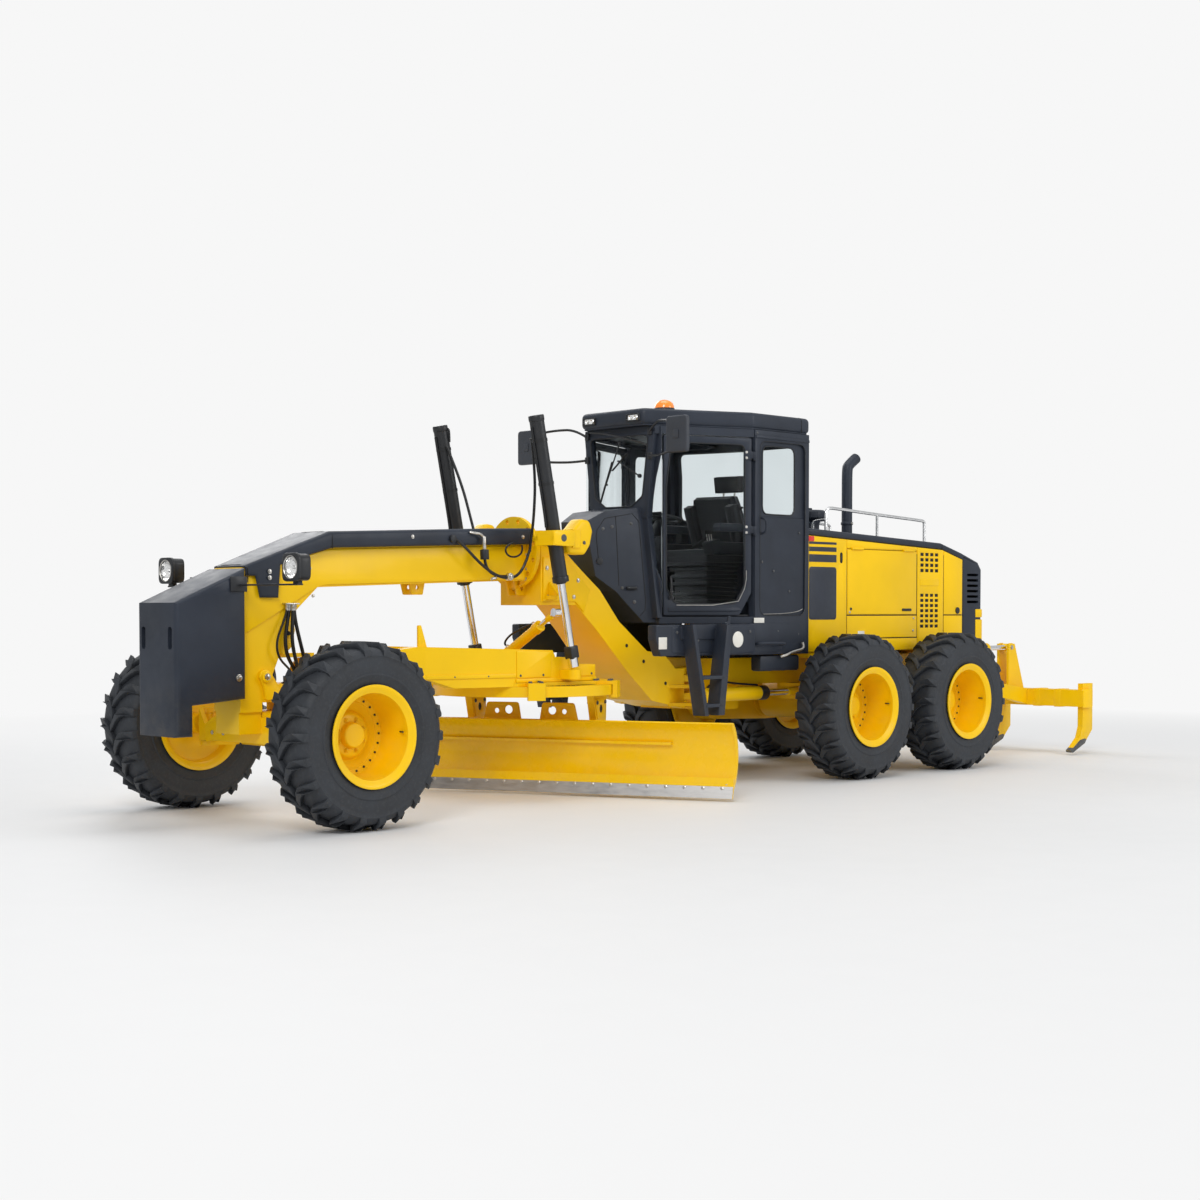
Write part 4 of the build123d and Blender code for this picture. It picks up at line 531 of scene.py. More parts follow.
rimProfile = [(0.2, 0.318), (0.204, 0.348), (0.213, 0.3655), (0.2215, 0.366), (0.2225, 0.358),
              (0.218, 0.34), (0.207, 0.322), (0.2, 0.306), (0.18, 0.304), (0.174, 0.308), (0.15, 0.306),
              (0.02, 0.299), (-0.07, 0.292), (-0.088, 0.287), (-0.094, 0.25), (-0.104, 0.244),
              (-0.108, 0.2), (-0.1, 0.178), (-0.072, 0.16), (-0.064, 0.15), (-0.06, 0.142), (-0.06, 0.097),
              (-0.045, 0.094), (-0.018, 0.088), (-0.011, 0.08), (-0.0085, 0.06), (-0.0085, 0), (-0.13, 0),
              (-0.1325, 0.29), (-0.19, 0.305), (-0.207, 0.322), (-0.222, 0.352), (-0.222, 0.366),
              (-0.213, 0.366), (-0.2, 0.34), (-0.196, 0.318), (0.2, 0.318)]


def wrapOntoTyre(lug, angle, hand):
    s = wheelSizes
    for vertex in lug.data.vertices:
        lateral, around, height = vertex.co
        drop = max(0, abs(lateral) - s["crown"]) / (s["half"] - s["crown"])
        radius = s["carcass"] - s["sunk"] + height - s["shoulder"] * drop ** 1.8
        turn = angle + around / s["radius"]
        vertex.co = (hand * lateral, -radius * cos(turn), radius * sin(turn))
    if hand < 0:
        lug.data.flip_normals()
    return lug


def makeTyre():
    s = wheelSizes
    profile = tyreWall + [(-along, radius) for along, radius in reversed(tyreWall[:-1])]
    parts = [spun(profile, (0, 0, 0), (1, 0, 0), s["steps"])]
    lug = sheetMetal(Matrix.Translation((0, 0, s["lugBase"])), [lugPlan], s["lugDepth"], 0.005)
    step = 2 * pi / s["lugs"]
    for index in range(s["lugs"]):
        parts += [wrapOntoTyre(copyOf(lug), index * step, 1),
                  wrapOntoTyre(copyOf(lug), (index + 0.5) * step, -1)]
    removeParts([lug])
    return joinParts(parts)


def wheelRing(x, radius, count, start=0.0):
    turns = [2 * pi * (k + start) / count for k in range(count)]
    return [Vector((x, radius * cos(turn), radius * sin(turn))) for turn in turns]


def makeRim():
    s = wheelSizes
    parts = [spun(rimProfile, (0, 0, 0), (1, 0, 0), s["steps"])]
    for place in wheelRing(s["nutFace"], s["nutRing"], s["nuts"], 0.5):
        parts += [hexBolt(place, (1, 0, 0), 0.0125, 0.013),
                  rod(place, place + Vector((0.022, 0, 0)), 0.006, 10)]
    return joinParts(parts)


def makeRimBolts():
    s = wheelSizes
    parts = [rod(place, place + Vector((0.006, 0, 0)), 0.0085, 8)
             for place in wheelRing(s["boltFace"], s["boltRing"], s["rimBolts"])]
    valve = rod((0.12, 0.296, 0.02), (0.17, 0.285, 0.02), 0.006, 8)
    return joinParts(parts + [valve])


tyre, rim, rimBolts = makeTyre(), makeRim(), makeRimBolts()
for row, behind in wheelRows:
    for hand, name in sides:
        move = Matrix.Translation(at(hand * wheelSizes["track"], behind, wheelSizes["hubHeight"]))
        if hand < 0:
            move = move @ acrossX
        body, tail = "wheel_" + row + "_" + name, "-" + row + "-" + name
        treaded = finishPiece(copyOf(tyre, move), "tyre" + tail, body, rubber, "tyre_rubber", 40)
        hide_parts("tyre_" + row + "_" + name)
        pressed = finishPiece(copyOf(rim, move), "rim" + tail, body, yellowPaint, "yellow_paint", 30)
        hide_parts("rim_" + row + "_" + name)
        finishPiece(copyOf(rimBolts, move), "rimBolts" + tail, body, blackPaint)
removeParts([tyre, rim, rimBolts])
print("wheels done")


# Front weight, beam cover, headlamps and what hangs on the front frame
def cutFrom(obj, cutter):
    useModifier(obj, "BOOLEAN", operation="DIFFERENCE", object=cutter, solver="EXACT")
    bpy.data.objects.remove(cutter)
    return cleanMesh(obj, False)


weightSizes = {"half": 0.257, "edge": 0.034, "face": -0.925, "slotX": 0.175, "slotLow": 1.27,
               "slotHigh": 1.43, "slotHalf": 0.026, "slotDepth": 0.06, "pinZ": 0.683,
               "sideBolt": (-0.41, 1.06)}


def makeWeight():
    s = weightSizes
    outline = [(-0.925, 0.65), (-0.783, 0.65), (-0.783, 0.87), (-0.341, 0.905), (-0.341, 1.85), (-0.925, 1.6)]
    weight = sheetMetal(sidePlane(0), [outline], 2 * s["half"], s["edge"])
    for hand, _ in sides:
        x = hand * s["slotX"]
        loop = squareLoop(x - s["slotHalf"], s["slotLow"], x + s["slotHalf"], s["slotHigh"], 0.024)
        cutFrom(weight, sheetMetal(acrossPlane(s["face"]), [loop], 2 * s["slotDepth"], 0.001))
    finishPiece(weight, "frontWeight", "front_frame", darkPaint, "dark_paint", 30)
    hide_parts("front_weight")
    trim = []
    for hand, _ in sides:
        x = hand * s["slotX"]
        base = at(x, s["face"] + s["slotDepth"] - 0.002, 1.345)
        trim += [hexBolt(base, (0, -1, 0), 0.024, 0.02),
                 rod(base, base + Vector((0, -0.034, 0)), 0.012, 12),
                 rod(at(x, -0.9245, s["pinZ"]), at(x, -0.921, s["pinZ"]), 0.014, 16, 0, 0.009)]
        y, z = s["sideBolt"]
        trim += [rod(at(hand * s["half"], y, z), at(hand * (s["half"] + 0.009), y, z), 0.026, 24, 0.002),
                 hexBolt(at(hand * (s["half"] + 0.008), y, z), (hand, 0, 0), 0.017, 0.014)]
    finishPiece(trim, "weightBolts", "front_frame", boltSteel)


coverTop = [(-0.32, 1.87), (0.415, 2.14), (2.0, 2.21), (2.465, 2.225)]
coverSkirt = [(2.465, 2.085), (1.7, 2.06), (0.44, 2.01), (0.26, 1.96), (-0.01, 1.875), (-0.03, 1.632),
              (-0.2, 1.632), (-0.235, 1.79), (-0.32, 1.79)]


coverSizes = {"half": 0.25, "nose": 0.21, "inside": 0.476, "edge": 0.03, "sheet": 0.0123, "bend": 0.415,
              "taper": 0.745}


def narrowFront(obj):
    c = coverSizes
    for vertex in obj.data.vertices:
        share = max(0, (c["bend"] + axleY - vertex.co.y) / c["taper"])
        vertex.co.x *= 1 - share * (1 - c["nose"] / c["half"])


def makeCover():
    c = coverSizes
    cover = sheetMetal(sidePlane(0), [coverTop + coverSkirt], 2 * c["half"], c["edge"])
    inside = [(-0.5, 1.78)] + [(y, z - c["sheet"]) for y, z in coverTop] + [(2.6, 2.21), (2.6, 1.3),
            (-0.5, 1.3)]
    cutFrom(cover, sheetMetal(sidePlane(0), [inside], c["inside"], 0.012))
    narrowFront(cover)
    finishPiece(cover, "beamCover", "front_frame", darkPaint, "dark_paint", 30)
    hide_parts("beam_cover")
    seams = []
    for y, z, half in ((0.43, 2.1405, 0.251), (-0.3, 1.878, 0.2165)):
        seams.append(tube([(-half, y, z - 0.13), (-half, y, z - 0.03), (-half + 0.03, y, z),
                           (half - 0.03, y, z), (half, y, z - 0.03), (half, y, z - 0.13)], 0.0035, 2, 2, 1))
    finishPiece(seams, "coverSeams", "front_frame", pureBlack)
    bolts = []
    for hand, _ in sides:
        for z in (1.83, 1.785):
            bolts.append(hexBolt(at(hand * 0.2295, -0.12, z), (hand, 0, 0), 0.013, 0.012))
        bolts += [hexBolt(at(hand * 0.251, 2.36, 2.15), (hand, 0, 0), 0.012, 0.01),
                  hexBolt(at(hand * 0.251, 1.2, 2.12), (hand, 0, 0), 0.012, 0.01)]
    finishPiece(bolts, "coverBolts", "front_frame", boltSteel)


lampSizes = {"x": 0.814, "y": -0.293, "z": 1.848, "half": 0.1, "lens": 0.078, "shell": 0.094, "liner": 0.089}


lampProfiles = {"bowl": [(0.0, 0.077), (0.012, 0.074), (0.03, 0.062), (0.045, 0.04), (0.05, 0.02),
                         (0.05, 0.0), (0.053, 0.0), (0.053, 0.021), (0.048, 0.043), (0.033, 0.065),
                         (0.014, 0.0775), (0.0, 0.08)],
                "bulb": [(0.012, 0.0), (0.013, 0.012), (0.02, 0.016), (0.045, 0.012), (0.045, 0.0)],
                "lens": [(0.0, 0.0), (0.001, 0.03), (0.004, 0.055), (0.009, 0.0765), (0.0125, 0.0765),
                         (0.0075, 0.055), (0.0045, 0.03), (0.0035, 0.0)],
                "ring": [(0.0, 0.0765), (-0.003, 0.079), (-0.002, 0.083), (0.004, 0.084), (0.004, 0.0765),
                         (0.0, 0.0765)],}


def makeHeadlamps():
    s = lampSizes
    housings, bowls, lenses, rings = [], [], [], []
    for hand, _ in sides:
        x, y, z = hand * s["x"], s["y"], s["z"]
        front = y - 0.058
        loop = squareLoop(x - s["half"], z - s["half"], x + s["half"], z + s["half"], 0.05)
        frontRing = sheetMetal(acrossPlane(front + 0.012), [loop, circleLoop((x, z), s["lens"], 40)], 0.024,
                               0.004)
        shellLoop, liner = (squareLoop(x - s[key], z - s[key], x + s[key], z + s[key], radius)
                            for key, radius in (("shell", 0.05), ("liner", 0.046)))
        shell = sheetMetal(acrossPlane(front + 0.064), [shellLoop, liner], 0.09, 0.001)
        back = sheetMetal(acrossPlane(front + 0.103), [shellLoop], 0.014, 0.006)
        arm = sheetMetal(levelPlane(z - 0.12), [[(hand * 0.258, -0.42), (x - hand * 0.03, y - 0.02),
                (x + hand * 0.03, y - 0.02), (x + hand * 0.03, y + 0.03), (x - hand * 0.04, y + 0.03),
                (hand * 0.258, -0.36)]], 0.012, 0.002)
        foot = span((x - 0.03, x + 0.03), (y - 0.015, y + 0.025), (z - 0.118, z - 0.095), 0.003)
        plateOnSide = span((hand * 0.257, hand * 0.269), (-0.48, -0.34), (1.68, 1.79), 0.003)
        housings += [frontRing, shell, back, arm, foot, plateOnSide]
        for turn in range(4):
            angle = pi / 4 + turn * pi / 2
            u, v = x + 0.1023 * cos(angle), z + 0.1023 * sin(angle)
            housings.append(rod(at(u, front + 0.001, v), at(u, front - 0.0005, v), 0.006, 8))
        for parts, shape, depth, steps in ((bowls, "bowl", 0.008, 32), (bowls, "bulb", 0.008, 16),
                                           (lenses, "lens", -0.001, 32), (rings, "ring", 0, 40)):
            parts.append(spun(lampProfiles[shape], at(x, front + depth, z), (0, 1, 0), steps))
    finishPiece(housings, "headlampHousings", "front_frame", blackPaint, "dark_paint", 30)
    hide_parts("headlamps")
    finishAll("front_frame", [
        ("headlampReflectors", bowls, lampReflector),
        ("headlampLenses", lenses, lensGlass),
        ("headlampRings", rings, boltSteel),
    ])


frameShapes = {  # outlines and bolt places with (y, z)
    "beamSide": [(-0.335, 1.36), (0.33, 1.715), (0.4, 1.738), (2.44, 1.806), (2.44, 2.08), (1.7, 2.055),
                 (0.44, 2.005), (0.26, 1.955), (-0.335, 1.78)],
    "ear": rounded([(-0.02, 1.47), (0.13, 1.53), (0.165, 1.4), (0.13, 1.27), (0.06, 1.21), (0.0, 1.25)],
                   0.025),
    "boxSide": [(2.58, 1.62), (2.95, 1.62), (3.05, 1.53), (3.12, 1.72), (2.84, 1.99), (2.58, 1.99)],
    "bolster": rounded([(-0.19, 1.06), (-0.175, 1.1), (-0.14, 1.115), (-0.105, 1.1), (-0.085, 1.05),
                        (0.02, 0.93), (0.03, 0.885), (-0.13, 0.885), (-0.15, 0.98)], 0.02),
    "pin": (0.1, 1.375), "axlePin": (-0.14, 1.06), "beamBolts": ((0.27, 1.86), (0.3, 1.655), (0.12, 1.585)),
    "boxBolts": ((2.62, 1.9), (2.7, 1.7), (2.63, 1.66), (2.93, 1.66), (2.98, 1.8)),
    "neckHoles": ((3.55, 1.24), (3.75, 1.1), (4.02, 0.9)),
}


def makeFrameTrim():
    plates, bolts, holes = [], [], []
    f = frameShapes
    for hand, _ in sides:
        plates += [sheetMetal(sidePlane(hand * 0.176), [f["beamSide"]], 0.012, 0.003),
                   sheetMetal(sidePlane(hand * 0.13), [f["ear"], circleLoop(f["pin"], 0.02, 20)], 0.024,
                              0.003), sheetMetal(sidePlane(hand * 0.256), [f["boxSide"]], 0.012, 0.003),
                   sheetMetal(sidePlane(hand * 0.186), [f["bolster"]], 0.03, 0.004),
                   rod(at(hand * 0.16, *f["axlePin"]), at(hand * 0.225, *f["axlePin"]), 0.042, 28, 0.004)]
        bolts.append(hexBolt(at(hand * 0.225, *f["axlePin"]), (hand, 0, 0), 0.019, 0.012))
        plates.append(rod(at(hand * 0.12, *f["pin"]), at(hand * 0.148, *f["pin"]), 0.034, 24, 0.002))
        # Black discs in the pin bore and in the neck holes are painted shade inside the holes
        holes.append(rod(at(hand * 0.13, *f["pin"]), at(hand * 0.1485, *f["pin"]), 0.017, 18))
        for y, z in f["beamBolts"]:
            bolts.append(hexBolt(at(hand * 0.182, y, z), (hand, 0, 0), 0.011, 0.008))
        for y, z in f["boxBolts"]:
            bolts.append(hexBolt(at(hand * 0.262, y, z), (hand, 0, 0), 0.014, 0.01))
        for y, z in f["neckHoles"]:
            x = 0.25 + 0.05 * min(1, max(0, (y - 3.05) / 0.85))
            holes.append(rod(at(hand * (x - 0.01), y, z), at(hand * (x + 0.0015), y, z), 0.016, 18))
    lugs = []
    for y, z in ((1.395, 1.7), (2.52, 1.7)):
        loop = rounded([(y - 0.09, z + 0.11), (y + 0.09, z + 0.11), (y + 0.06, z - 0.03),
                        (y - 0.05, z - 0.03)], 0.012)
        lugs += [sheetMetal(sidePlane(x), [loop, circleLoop((y, z + 0.03), 0.018)], 0.02, 0.002)
                 for x in (0.05, -0.05)]
    finishAll("front_frame", [
        ("framePlates", plates + lugs, yellowPaint, 30),
        ("frameBolts", bolts, boltSteel),
        ("frameBores", holes, pureBlack),
    ])


def makeFrontHoses():
    hoses, fittings = [], []
    paths = (  # top y, bulge y, low y, low z, x, radius
        (0.05, -0.09, 0.13, 1.03, 0.2, 0.009), (0.075, 0.0, 0.16, 1.02, 0.19, 0.014),
        (0.095, 0.05, 0.14, 1.0, 0.215, 0.014), (0.115, 0.14, 0.2, 1.05, 0.2, 0.014),
    )
    for topY, bulgeY, lowY, lowZ, x, radius in paths:
        for hand, _ in sides:
            hoses.append(tube([(hand * x, topY, 1.575), (hand * x, topY, 1.5),
                               (hand * (x + 0.03), bulgeY, 1.33), (hand * (x + 0.02), bulgeY + 0.06, 1.16),
                               (hand * x, lowY, lowZ + 0.06), (hand * (x - 0.09), lowY - 0.04, lowZ - 0.03),
                               (hand * (x - 0.13), lowY - 0.08, lowZ - 0.04)], radius, 4, 8, 2))
            fittings += [rod(at(hand * x, topY, 1.56), at(hand * x, topY, 1.6), radius * 1.35, 8, 0.001),
                         rod(at(hand * x, topY, 1.545), at(hand * x, topY, 1.565), radius * 1.2, 12)]
    plateOn = span((0.17, 0.235), (0.02, 0.145), (1.59, 1.6), 0.002)
    fittings += [plateOn, copyOf(plateOn, acrossX)]
    finishAll("front_frame", [
        ("columnHoses", hoses, hoseRubber, 40),
        ("columnFittings", fittings, boltSteel),
    ])


def makeLifterTrim():
    hoses, fittings, dark = [], [], []
    for hand, _ in sides:
        x = hand * 0.29
        hoses.append(tube([(x - hand * 0.04, 1.62, 2.115), (x, 1.66, 2.09), (x, 1.79, 1.97),
                           (x, 2.0, 1.83), (x, 2.2, 1.79), (x, 2.33, 1.86),
                           (x + hand * 0.03, 2.37, 2.04)], 0.012, 4, 10, 2))
        fittings.append(rod(at(x, 1.9, 2.14), at(x, 1.905, 2.03), 0.017, 14, 0.002))
        dark.append(rod(at(x, 1.905, 2.035), at(x, 1.91, 1.955), 0.036, 20, 0.004))
        hoses.append(tube([(x, 1.91, 1.96), (x, 1.915, 1.9), (x, 1.97, 1.84), (x, 2.06, 1.82),
                           (x, 2.15, 1.822)], 0.012, 4, 8, 2))
        fittings += [rod(at(x - hand * 0.02, 2.17, 1.82), at(x + hand * 0.026, 2.17, 1.82), 0.03, 24, 0.003),
                     hexBolt(at(x + hand * 0.026, 2.17, 1.82), (hand, 0, 0), 0.018, 0.012),
                     rod(at(x, 1.98, 1.8), at(x, 2.03, 1.81), 0.014, 12, 0.001)]
        hoses.append(tube([(x - hand * 0.02, 2.24, 2.1), (x, 2.12, 2.07), (x, 2.13, 1.99), (x, 2.25, 1.97),
                           (x, 2.33, 2.02), (x - hand * 0.02, 2.33, 2.08)], 0.008, 4, 8, 2))
        dark.append(rod(at(hand * 0.235, 1.6, 2.115), at(hand * 0.275, 1.6, 2.115), 0.03, 20, 0.003))
        fittings.append(tube([(hand * 0.26, 1.78, 2.17), (x, 1.8, 2.165), (x, 1.88, 2.16), (x, 1.9, 2.13)],
                             0.01, 3, 6, 2))
        for z in (2.06, 1.94, 1.86):
            fittings.append(hexBolt(at(hand * 0.16, 2.469, z - 0.05), (0, -1, 0), 0.014, 0.01))
    finishAll("front_frame", [
        ("lifterHoses", hoses, hoseRubber, 40),
        ("lifterFittings", fittings, boltSteel),
        ("lifterSleeves", dark, blackPlastic),
    ])


makeWeight()
makeCover()
makeHeadlamps()
makeFrameTrim()
makeFrontHoses()
makeLifterTrim()
print("front done")


# Cab: roof, windscreen, pillars, doors, side plates, seat, controls, mirrors and ladders
cabSizes = {"half": 0.8, "roofLow": 3.159, "roofHigh": 3.3, "screenY": 3.737,
            "lampX": 0.27, "lampZ": 3.222, "beaconX": 0.3, "beaconY": 4.0}
wheelLook = {"centre": (0, 4.29, 2.37), "foot": (0, 4.17, 1.68), "radius": 0.186, "rim": 0.014}


def onPlane(origin, along, up):
    u = Vector(along).normalized()
    outward = u.cross(Vector(up)).normalized()
    v = outward.cross(u)
    return Matrix(((u.x, v.x, outward.x, origin[0]), (u.y, v.y, outward.y, origin[1]),
                   (u.z, v.z, outward.z, origin[2]), (0, 0, 0, 1)))


def ringPipe(plane, loop, radius, sides=2):
    points = [plane @ Vector((u, v, 0)) for u, v in loop]
    return pipe(points + points[:1], radius, 2, 1, sides)


def makeRoof():
    s = cabSizes
    plan = [(0.384, 3.64), (0.81, 4.61), (0.81, 5.42), (-0.81, 5.42), (-0.81, 4.61), (-0.384, 3.64)]
    low = [(0.37, 3.66), (0.795, 4.61), (0.795, 5.4), (-0.795, 5.4), (-0.795, 4.61), (-0.37, 3.66)]
    shell = sheetMetal(levelPlane((s["roofLow"] + s["roofHigh"]) / 2), [rounded(plan, 0.07)],
                       s["roofHigh"] - s["roofLow"], 0.04)
    lip = sheetMetal(levelPlane(3.158), [rounded(low, 0.05)], 0.014, 0.004)
    hatch = sheetMetal(levelPlane(3.297), [squareLoop(-0.3, 4.3, 0.3, 4.9, 0.06)], 0.02, 0.006)
    ribs = [span((x - 0.02, x + 0.02), (4.98, 5.3), (3.29, 3.304), 0.004)
            for x in (-0.5, -0.25, 0, 0.25, 0.5)]
    roof = joinParts([shell, lip, hatch] + ribs)
    finishPiece(roof, "cabRoof", "rear_frame", darkPaint, "dark_paint", 30)
    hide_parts("cab_roof")
    seams = [tube([(0.8105, 5.28, 3.16), (0.8105, 5.28, 3.262), (0.799, 5.28, 3.289), (0.768, 5.28, 3.301),
                   (-0.768, 5.28, 3.301), (-0.799, 5.28, 3.289), (-0.8105, 5.28, 3.262),
                   (-0.8105, 5.28, 3.16)], 0.0035, 2, 2, 1)]
    rims, faces, lenses = [], [], []
    for hand, _ in sides:
        x, z = hand * s["lampX"], s["lampZ"]
        outer = squareLoop(x - 0.08, z - 0.034, x + 0.08, z + 0.034, 0.014)
        inner = squareLoop(x - 0.066, z - 0.022, x + 0.066, z + 0.022, 0.01)
        rims.append(sheetMetal(acrossPlane(3.636), [outer, inner], 0.026, 0.003))
        faces.append(sheetMetal(acrossPlane(3.64), [inner], 0.01, 0.002))
        for k in (-1, 1):
            faces.append(spun([(0, 0.016), (-0.006, 0.018), (-0.006, 0.015), (0.002, 0.004), (0.002, 0),
                               (0.004, 0), (0.004, 0.016)], at(x + k * 0.032, 3.632, z), (0, 1, 0), 16))
        lenses.append(sheetMetal(acrossPlane(3.627), [inner], 0.004, 0.001))
    finishAll("rear_frame", [
        ("roofSeams", seams, pureBlack),
        ("roofLampRims", rims, blackPlastic),
        ("roofLampFaces", faces, lampReflector),
        ("roofLampLenses", lenses, lensGlass),
    ])
    base = spun([(0, 0.0), (0, 0.098), (0.012, 0.098), (0.02, 0.092), (0.028, 0.09), (0.028, 0)],
                at(s["beaconX"], s["beaconY"], 3.298), (0, 0, 1), 40)
    finishPiece(base, "beaconBase", "rear_frame", blackPlastic)
    dome = [(0.0, 0.0), (0.0, 0.088), (0.022, 0.086), (0.044, 0.076), (0.06, 0.058), (0.07, 0.036),
            (0.076, 0.014), (0.0775, 0.0)]
    finishPiece(spun(dome, at(s["beaconX"], s["beaconY"], 3.325), (0, 0, 1), 40), "beaconDome",
                "rear_frame", amber)


def makeScreen():
    s = cabSizes
    y = s["screenY"]
    outer = [(0.43, 3.1), (-0.43, 3.1), (-0.343, 2.35), (0.343, 2.35)]
    inner = rounded([(0.362, 3.075), (-0.362, 3.075), (-0.292, 2.545), (-0.16, 2.457), (0.16, 2.457),
                     (0.292, 2.545)], 0.05)
    frameParts = [sheetMetal(acrossPlane(y), [outer, inner], 0.01, 0.002)]
    # Corner glass and pillar panels between the posts and the doors
    corner = [(0.4, 3.147), (0.468, 3.147), (0.468, 2.93), (0.4, 2.7), (0.362, 2.5), (0.33, 2.5)]
    foot = [(0.4, 1.93), (0.468, 1.8), (0.468, 1.49), (0.42, 1.49), (0.38, 1.93)]
    pillar = bothSides([sheetMetal(acrossPlane(3.79), [rounded(corner, 0.015)], 0.014, 0.003),
                        sheetMetal(acrossPlane(3.79), [rounded(foot, 0.015)], 0.014, 0.003)])
    finishPiece(frameParts + pillar, "screenFrame", "rear_frame", darkPaint, None, 30)
    gasket = [ringPipe(acrossPlane(y - 0.004), inner, 0.007)]
    finishPiece(gasket, "screenGasket", "rear_frame", blackPlastic)
    pane = [(0.425, 3.13), (0.468, 3.13), (0.468, 1.52), (0.4, 1.9), (0.34, 2.35)]
    panes = bothSides([sheetMetal(acrossPlane(3.789), [pane], 0.005, 0.001)])
    finishPiece(panes, "cornerGlass", "rear_frame", windowGlass)
    arms, blades = [], []
    table = ((0.03, 3.02, -0.13, 2.66, -0.06, 2.86, -0.21, 2.5),
             (0.27, 2.72, 0.02, 2.86, 0.12, 2.92, -0.06, 2.78))
    for px, pz, ax, az, bx, bz, cx, cz in table:
        arms += [rod(at(px, y - 0.006, pz), at(px, y - 0.03, pz), 0.018, 20, 0.003),
                 rod(at(px, y - 0.024, pz), at(ax, y - 0.032, az), 0.007, 10, 0, 0.005)]
        blades += [rod(at(bx, y - 0.03, bz), at(cx, y - 0.03, cz), 0.0055, 8),
                   rod(at(bx, y - 0.018, bz), at(cx, y - 0.018, cz), 0.004, 6),
                   rod(at(ax, y - 0.034, az), at(ax, y - 0.016, az), 0.009, 10)]
    arms.append(tube([(-0.3, y - 0.07, 3.13), (-0.1, y - 0.085, 3.11), (0.12, y - 0.08, 3.06),
                      (0.33, y - 0.03, 3.0), (0.34, y - 0.005, 2.99)], 0.0085))
    finishAll("rear_frame", [
        ("wiperArms", arms, blackPaint),
        ("wiperBlades", blades, hoseRubber),
    ])


def noseX(y, z):
    wide = 0.42 - 0.15 * (z - 1.4) / 1.1
    return 0.15 + (wide - 0.15) * (y - 3.15) / 0.62


def makeNoseTrim():
    lines, bolts = [], []
    for points in (((3.36, 2.34), (3.7, 2.4), (3.7, 1.56), (3.64, 1.5)),
                   ((3.36, 2.34), (3.27, 2.22), (3.29, 2.0)), ((3.47, 1.76), (3.47, 2.36))):
        lines.append(pipe([at(noseX(y, z) + 0.0005, y, z) for y, z in points], 0.003, 2, 4, 1))
    for y, z in ((3.34, 2.25), (3.43, 2.27), (3.5, 1.74), (3.62, 2.3), (3.6, 1.62)):
        spot = at(noseX(y, z), y, z)
        bolts.append(hexBolt(spot, (1, -0.4, 0.06), 0.012, 0.009))
    spot = at(noseX(3.57, 1.74), 3.57, 1.74)
    hinge = rod(spot + Vector((0.004, -0.045, 0)), spot + Vector((0.036, 0.045, 0)), 0.014, 16, 0.002)
    lamp = at(noseX(3.3, 1.97), 3.3, 1.97)
    finishAll("rear_frame", [
        ("noseSeams", bothSides(lines), pureBlack),
        ("noseBolts", bothSides(bolts), greyIron),
    ])
    bump = rod(lamp, lamp + Vector((0.012, -0.005, 0)), 0.03, 24, 0.004)
    finishPiece(bothSides([hinge, bump]), "noseHinges", "rear_frame", blackPlastic)


doorAlong = Vector((-0.33, -0.797, 0)).normalized()
doorOutline = [(0.01, 1.7), (0.13, 1.502), (0.862, 1.502), (0.862, 3.07), (0.01, 3.07)]
doorWindow = [(0.075, 1.765), (0.168, 1.605), (0.755, 1.605), (0.836, 1.74), (0.84, 2.62), (0.79, 3.01),
              (0.075, 3.01)]


def doorPlane(depth):
    inward = doorAlong.cross(Vector((0, 0, 1)))
    return onPlane(at(0.8, 4.612, 0) + inward * depth, doorAlong, (0, 0, 1))


